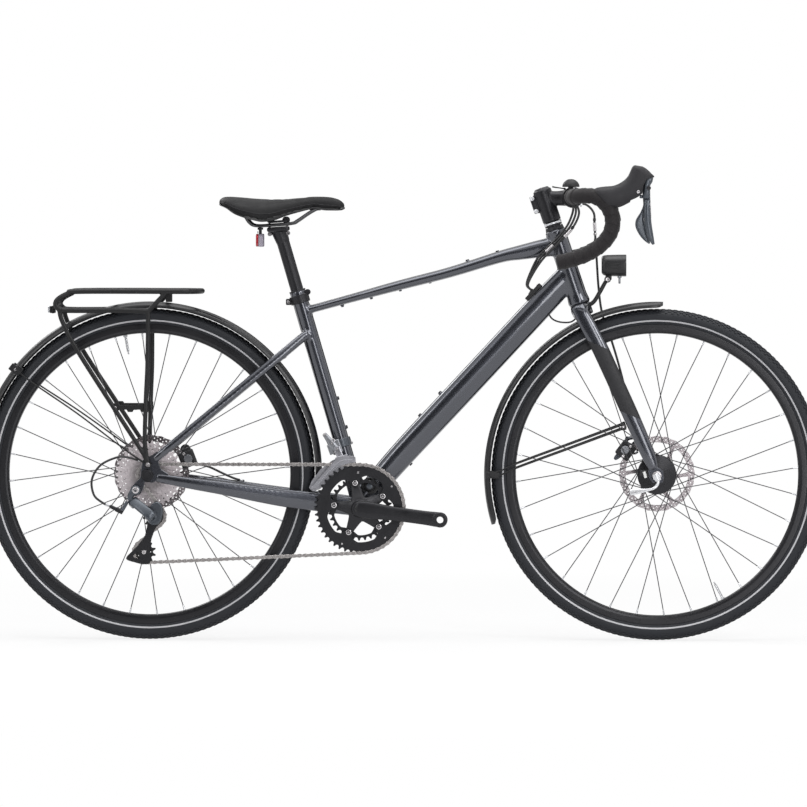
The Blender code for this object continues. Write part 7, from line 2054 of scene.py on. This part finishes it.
def saddle():
    """Cushion, shell below it, rail seats and a fine seam along each side."""
    rows = curved([Vector(row) for row in SADDLE], 5)
    pad = skin([saddle_ring(*row, 1.4) for row in rows])
    shape = cushioned(pad)
    made = piece("saddle_pad", refined(shape), "saddle_leather", "saddle", True, angle=60, weighted=False)
    shell = []
    for x, half, top, edge in rows[3:-1]:
        inner = []
        deep = hollow(top, edge)
        for k in range(25):
            a = pi * k / 24
            c, s = cos(a), sin(a)
            inner.append(V(x, (half - 3.4) * c * 0.98, edge - 2 + (deep + 0.5) * s ** 0.7))
        for k in range(25):
            a = pi * (1 - k / 24)
            c, s = cos(a), sin(a)
            inner.append(V(x, (half - 5.2) * c * 0.97, edge - 3.2 + (deep - 0.3) * s ** 0.7))
        shell.append(inner)
    piece("saddle_shell", skin(shell), "moulded_nylon", "saddle", angle=60)
    seats = [block(V(195, 0, 902.5), (30, 74, 11), None, 2.5, 3),
             block(V(349, 0, 908.6), (22, 27, 7), None, 2, 3)]
    piece("saddle_rail_seats", seats, "moulded_nylon", "saddle")
    seam = []
    for side in (-1, 1):
        line = []
        for x, half, top, edge in rows[4:-3]:
            line.append(V(x, side * half * 0.985, edge + (top - edge) * 0.30))
        seam.append(tube(line[::2], 0.55, 8, steps=3, round_ends=0.3))
    piece("saddle_piping", seam, "hood_rubber", "saddle")


# Cables

def sleeve_on(points, at, length_mm, radius, sides=24):
    """A short ferrule on a cable, centred at a share of its length."""
    path = curved(points, 16)
    total = sum((b - a).length for a, b in zip(path, path[1:]))
    run = 0
    for a, b in zip(path, path[1:]):
        step = (b - a).length
        if run + step >= total * at:
            along = (b - a).normalized()
            middle = a + along * (total * at - run)
            half = along * (length_mm * MM / 2)
            return rod(middle - half, middle + half, radius, sides, edge=0.5)
        run += step
    return rod(path[-1] - along * (length_mm * MM), path[-1], radius, sides, edge=0.5)


def cables():
    """Brake, gear and lamp cables with their ferrules, adjusters and clips."""
    front = [V(899, 58, 918.2), V(920, 60, 917), V(936, 60, 900), V(938, 59, 874), V(942, 56, 810),
             V(947, 54, 737), V(955, 53, 684), V(973, 55, 633), V(989, 58, 580), V(1004, 59.2, 520),
             V(1011, 62.2, 470), V(1019, 64, 434), V(1028, 64, 406), V(1028, 59, 394), V(1020.2, 57, 390.6)]
    piece("front_brake_hose", wire(front, HOSE_R, 8, 16), "cable_sheath", "brake_cable_front", True)
    piece("front_brake_ferrules", [sleeve_on(front, 0.012, 8, 2.75), sleeve_on(front, 0.988, 8, 2.9)],
          "turned_aluminium", "brake_cable_front")
    piece("front_inline_adjuster", [sleeve_on(front, 0.132, 17, 3.5), sleeve_on(front, 0.158, 4, 4, 12)],
          "brushed_stainless", "brake_cable_front")
    clips = [sleeve_on(front, at, 6, 3.2) for at in (0.105, 0.18, 0.55, 0.80)]
    piece("front_brake_clips", clips, "moulded_nylon", "brake_cable_front")
    lines, bright, dark = [], [], []
    for k, y in enumerate((-4.4, 0, 4.4)):
        # The three cables fan out between the bar and the frame's port
        fan = (k - 1) * 7
        route = [V(897.5 - fan * 0.4, -55.6 + y, 919.4), V(899 - fan, -53 + y, 898),
                 V(885 - fan, -42 + y, 868), V(852 - fan * 0.9, -36 + y, 832),
                 V(826 - fan * 0.7, -33 + y, 806 + fan * 0.3), V(808 - fan * 0.5, -24 + y, 776),
                 V(797 - fan * 0.2, -10 + y, 749), V(805.5, -2 + y, 737.3)]
        lines.append(wire(route, HOSE_R, 8, 16))
        if k < 2:
            at = 0.30 if k == 0 else 0.50
            bright.append(sleeve_on(route, at, 17, 3.5))
            bright.append(sleeve_on(route, at + 0.045, 5, 4, 12))
            dark.append(sleeve_on(route, at - 0.055, 6, 3.2))
            dark.append(sleeve_on(route, at + 0.085, 6, 3.2))
    piece("bar_hoses", lines, "cable_sheath", "bar_cables", True)
    piece("inline_adjusters", bright, "brushed_stainless", "bar_cables")
    piece("inline_caps", dark, "moulded_nylon", "bar_cables")
    loop = [V(842.2, -12.9, 686.8), V(851, -15, 676), V(868, -17, 670), V(890, -18, 671), V(904, -17, 683.6)]
    piece("light_lead", wire(loop, 1.8, 8, 16), "cable_sheath", "light_cable", True)
    tail = [V(-11.5, -71.4, 378.5), V(-24, -71.8, 381.5), V(-42, -75, 386.5), V(-64, -80, 386.5),
            V(-98, -83, 370), V(-116, -83, 340), V(-112, -82, 308), V(-94, -82, 291.5), V(-78.4, -82, 284.2)]
    piece("gear_hose", wire(tail, HOSE_R, 8, 16), "cable_sheath", "shift_cable_rear", True)
    piece("gear_ferrules", [sleeve_on(tail, 0.02, 8, 2.8), sleeve_on(tail, 0.975, 9, 2.9)],
          "turned_aluminium", "shift_cable_rear")
    rear = [V(196, 53.4, 331.9), V(176, 56, 337), V(150, 60, 348), V(124, 66, 360), V(107, 69.3, 364.6),
            V(97.4, 69.5, 366.4)]
    piece("rear_brake_hose", wire(rear, HOSE_R, 8, 16), "cable_sheath", "brake_cable_rear", True)
    piece("rear_brake_ferrules", [sleeve_on(rear, 0.05, 7, 2.75), sleeve_on(rear, 0.94, 8, 2.9)],
          "turned_aluminium", "brake_cable_rear")


# Studio

CAMERA = Vector((0.5055, -14.4, 0.947))
LOOK_AT = Vector((0.0085, 0, 0.498))
LENS, SENSOR = 305, 36


def soft_light(name, place, aim, size, power):
    """A soft box that aims at a point."""
    lamp = bpy.data.lights.new(name, "AREA")
    lamp.shape = "RECTANGLE"
    lamp.size, lamp.size_y = size
    lamp.energy = power
    made = bpy.data.objects.new(name, lamp)
    made.location = place
    made.rotation_euler = (Vector(aim) - Vector(place)).to_track_quat("-Z", "Y").to_euler()
    bpy.context.scene.collection.objects.link(made)
    return made


def sheet(name, corners, material):
    """A flat studio surface that belongs to the stage."""
    mesh = bpy.data.meshes.new(name)
    mesh.from_pydata([tuple(p) for p in corners], [], [(0, 1, 2, 3)])
    mesh.materials.append(material)
    made = bpy.data.objects.new(name, mesh)
    bpy.context.scene.collection.objects.link(made)
    return made


def seen_white(tree):
    """One for camera, mirror and glass rays, which see the studio as plain white."""
    path = add(tree, "LightPath").outputs
    first = worked_out(tree, "ADD", path["Is Camera Ray"], path["Is Glossy Ray"])
    return worked_out(tree, "ADD", first, path["Is Transmission Ray"], use_clamp=True)


def floor_material(colours):
    """A matt white paper sweep: it keeps the soft shadow and reads as paper white to the eye."""
    material = bpy.data.materials.new("paper_sweep")
    material.use_nodes = True
    tree = material.node_tree
    tree.nodes.clear()
    paper = add(tree, "BsdfDiffuse", {"Color": shaded(colours.floor, 1)})
    glow = add(tree, "Emission", {"Color": (1, 1, 1, 1), "Strength": 1})
    place = add(tree, "TexCoord").outputs["Object"]
    reach = add(tree, "VectorMath", {0: place}, operation="LENGTH").outputs["Value"]
    share = worked_out(tree, "MULTIPLY", seen_white(tree), ranged(tree, reach, 1, 2.6, 0.78, 1))
    mixed = add(tree, "MixShader", {0: share, 1: paper.outputs[0], 2: glow.outputs[0]})
    add(tree, "OutputMaterial", {"Surface": mixed.outputs[0]})
    return material


def white_room():
    """The studio's far walls: white to the camera, a soft grey fill for everything else."""
    world = bpy.data.worlds.new("white_room")
    world.use_nodes = True
    tree = world.node_tree
    tree.nodes.clear()
    bright = add(tree, "Background", {"Color": (1, 1, 1, 1), "Strength": 1})
    fill = add(tree, "Background", {"Color": (0.34, 0.34, 0.35, 1), "Strength": 1})
    mixed = add(tree, "MixShader", {0: seen_white(tree), 1: fill.outputs[0], 2: bright.outputs[0]})
    add(tree, "OutputWorld", {"Surface": mixed.outputs[0]})
    bpy.context.scene.world = world


def studio(colours):
    """Camera at the photo's angle, a paper floor and soft boxes above and beside the bike."""
    scene = bpy.context.scene
    scene.view_settings.view_transform = "Standard"
    white_room()
    paper = floor_material(colours)
    sheet("floor", [(-15, -15, -0.0006), (15, -15, -0.0006), (15, 15, -0.0006), (-15, 15, -0.0006)], paper)
    card = bpy.data.materials.new("black_card")
    card.use_nodes = True
    card.node_tree.nodes["Principled BSDF"].inputs["Base Color"].default_value = (0.012, 0.012, 0.014, 1)
    card.node_tree.nodes["Principled BSDF"].inputs["Roughness"].default_value = 0.9
    for name, y in (("front_card", -4), ("back_card", 4)):
        made = sheet(name, [(-5, y, 0.1), (5, y, 0.1), (5, y, 2.7), (-5, y, 2.7)], card)
        made.visible_camera = False
        made.visible_shadow = False
    soft_light("overhead_box", (0.2, -0.4, 4), (0, 0, 0.5), (5, 2.6), 120)
    soft_light("front_box", (3, -3.4, 2.9), (0.1, 0, 0.5), (1.4, 1.6), 52)
    soft_light("rear_box", (-2.8, -3.3, 1.9), (0, 0, 0.5), (0.8, 1.8), 26)
    soft_light("tall_strip", (1.2, -3.5, 1.2), (0.3, 0, 0.8), (0.75, 2.4), 30)
    soft_light("back_box", (-2.4, 3.4, 3), (0, 0, 0.6), (2.4, 1.6), 45)
    view = bpy.data.cameras.new("camera")
    view.lens, view.sensor_width = LENS, SENSOR
    view.clip_end = 60
    made = bpy.data.objects.new("camera", view)
    made.location = CAMERA
    made.rotation_euler = (LOOK_AT - CAMERA).to_track_quat("-Z", "Y").to_euler()
    scene.collection.objects.link(made)
    scene.camera = made


# Add-on: one operator for each group of pieces and one for the stage

class WheelsOperator(bpy.types.Operator):
    """Tyres, rims, spokes, hubs, brake discs, axles and quick releases"""
    bl_idname = "bike.wheels"
    bl_label = "Wheels"

    def execute(self, context):
        make_finishes(context.scene.bike_colours, context.scene.bike_sizes)
        wheels(context.scene.bike_sizes)
        return {"FINISHED"}


class FrameOperator(bpy.types.Operator):
    """Frame, fork, lamp and their fittings"""
    bl_idname = "bike.frame"
    bl_label = "Frame and fork"

    def execute(self, context):
        frame_and_fittings(context.scene.bike_sizes)
        fork_pieces(context.scene.bike_sizes)
        lamp_and_arm()
        return {"FINISHED"}


class DriveOperator(bpy.types.Operator):
    """Chain, chainset, cassette and both changers"""
    bl_idname = "bike.drive"
    bl_label = "Drive"

    def execute(self, context):
        chainset()
        cassette()
        rear_changer()
        front_changer()
        chain()
        return {"FINISHED"}


class GuardsOperator(bpy.types.Operator):
    """Mudguards and rear rack"""
    bl_idname = "bike.guards"
    bl_label = "Mudguards and rack"

    def execute(self, context):
        front_guard()
        rear_guard()
        rack()
        return {"FINISHED"}


class CockpitOperator(bpy.types.Operator):
    """Stem, bar, tape, hoods, levers and bell"""
    bl_idname = "bike.cockpit"
    bl_label = "Cockpit"

    def execute(self, context):
        cockpit(context.scene.bike_sizes)
        return {"FINISHED"}


class SaddleOperator(bpy.types.Operator):
    """Saddle, seat post and reflector"""
    bl_idname = "bike.saddle"
    bl_label = "Saddle and post"

    def execute(self, context):
        seat_post()
        saddle()
        reflector()
        return {"FINISHED"}


class BrakesOperator(bpy.types.Operator):
    """Disc calipers and cables"""
    bl_idname = "bike.brakes"
    bl_label = "Brakes and cables"

    def execute(self, context):
        brake("front")
        brake("rear")
        cables()
        return {"FINISHED"}


class StageOperator(bpy.types.Operator):
    """Floor, soft boxes and camera"""
    bl_idname = "bike.stage"
    bl_label = "Studio"

    def execute(self, context):
        studio(context.scene.bike_colours)
        return {"FINISHED"}


OPERATORS = (WheelsOperator, FrameOperator, DriveOperator, GuardsOperator, CockpitOperator, SaddleOperator,
             BrakesOperator, StageOperator)


class BikePanel(bpy.types.Panel):
    bl_label = "Gravel bike"
    bl_idname = "VIEW3D_PT_gravel_bike"
    bl_space_type = "VIEW_3D"
    bl_region_type = "UI"
    bl_category = "Bike"

    def draw(self, context):
        for group in (context.scene.bike_sizes, context.scene.bike_colours):
            box = self.layout.box()
            for name in group.bl_rna.properties.keys():
                if name not in {"rna_type", "name"}:
                    box.prop(group, name)
        for operator in OPERATORS:
            self.layout.operator(operator.bl_idname)


CLASSES = (BikeColours, BikeSizes, *OPERATORS, BikePanel)


def register():
    """Adds the classes and the two property groups."""
    for one in CLASSES:
        bpy.utils.register_class(one)
    bpy.types.Scene.bike_colours = bpy.props.PointerProperty(type=BikeColours)
    bpy.types.Scene.bike_sizes = bpy.props.PointerProperty(type=BikeSizes)


def unregister():
    """Takes them away again."""
    del bpy.types.Scene.bike_sizes
    del bpy.types.Scene.bike_colours
    for one in reversed(CLASSES):
        bpy.utils.unregister_class(one)


def main():
    """Builds the bike piece by piece."""
    register()
    for operator in OPERATORS:
        group, name = operator.bl_idname.split(".")
        getattr(getattr(bpy.ops, group), name)()


if __name__ == "__main__":
    main()
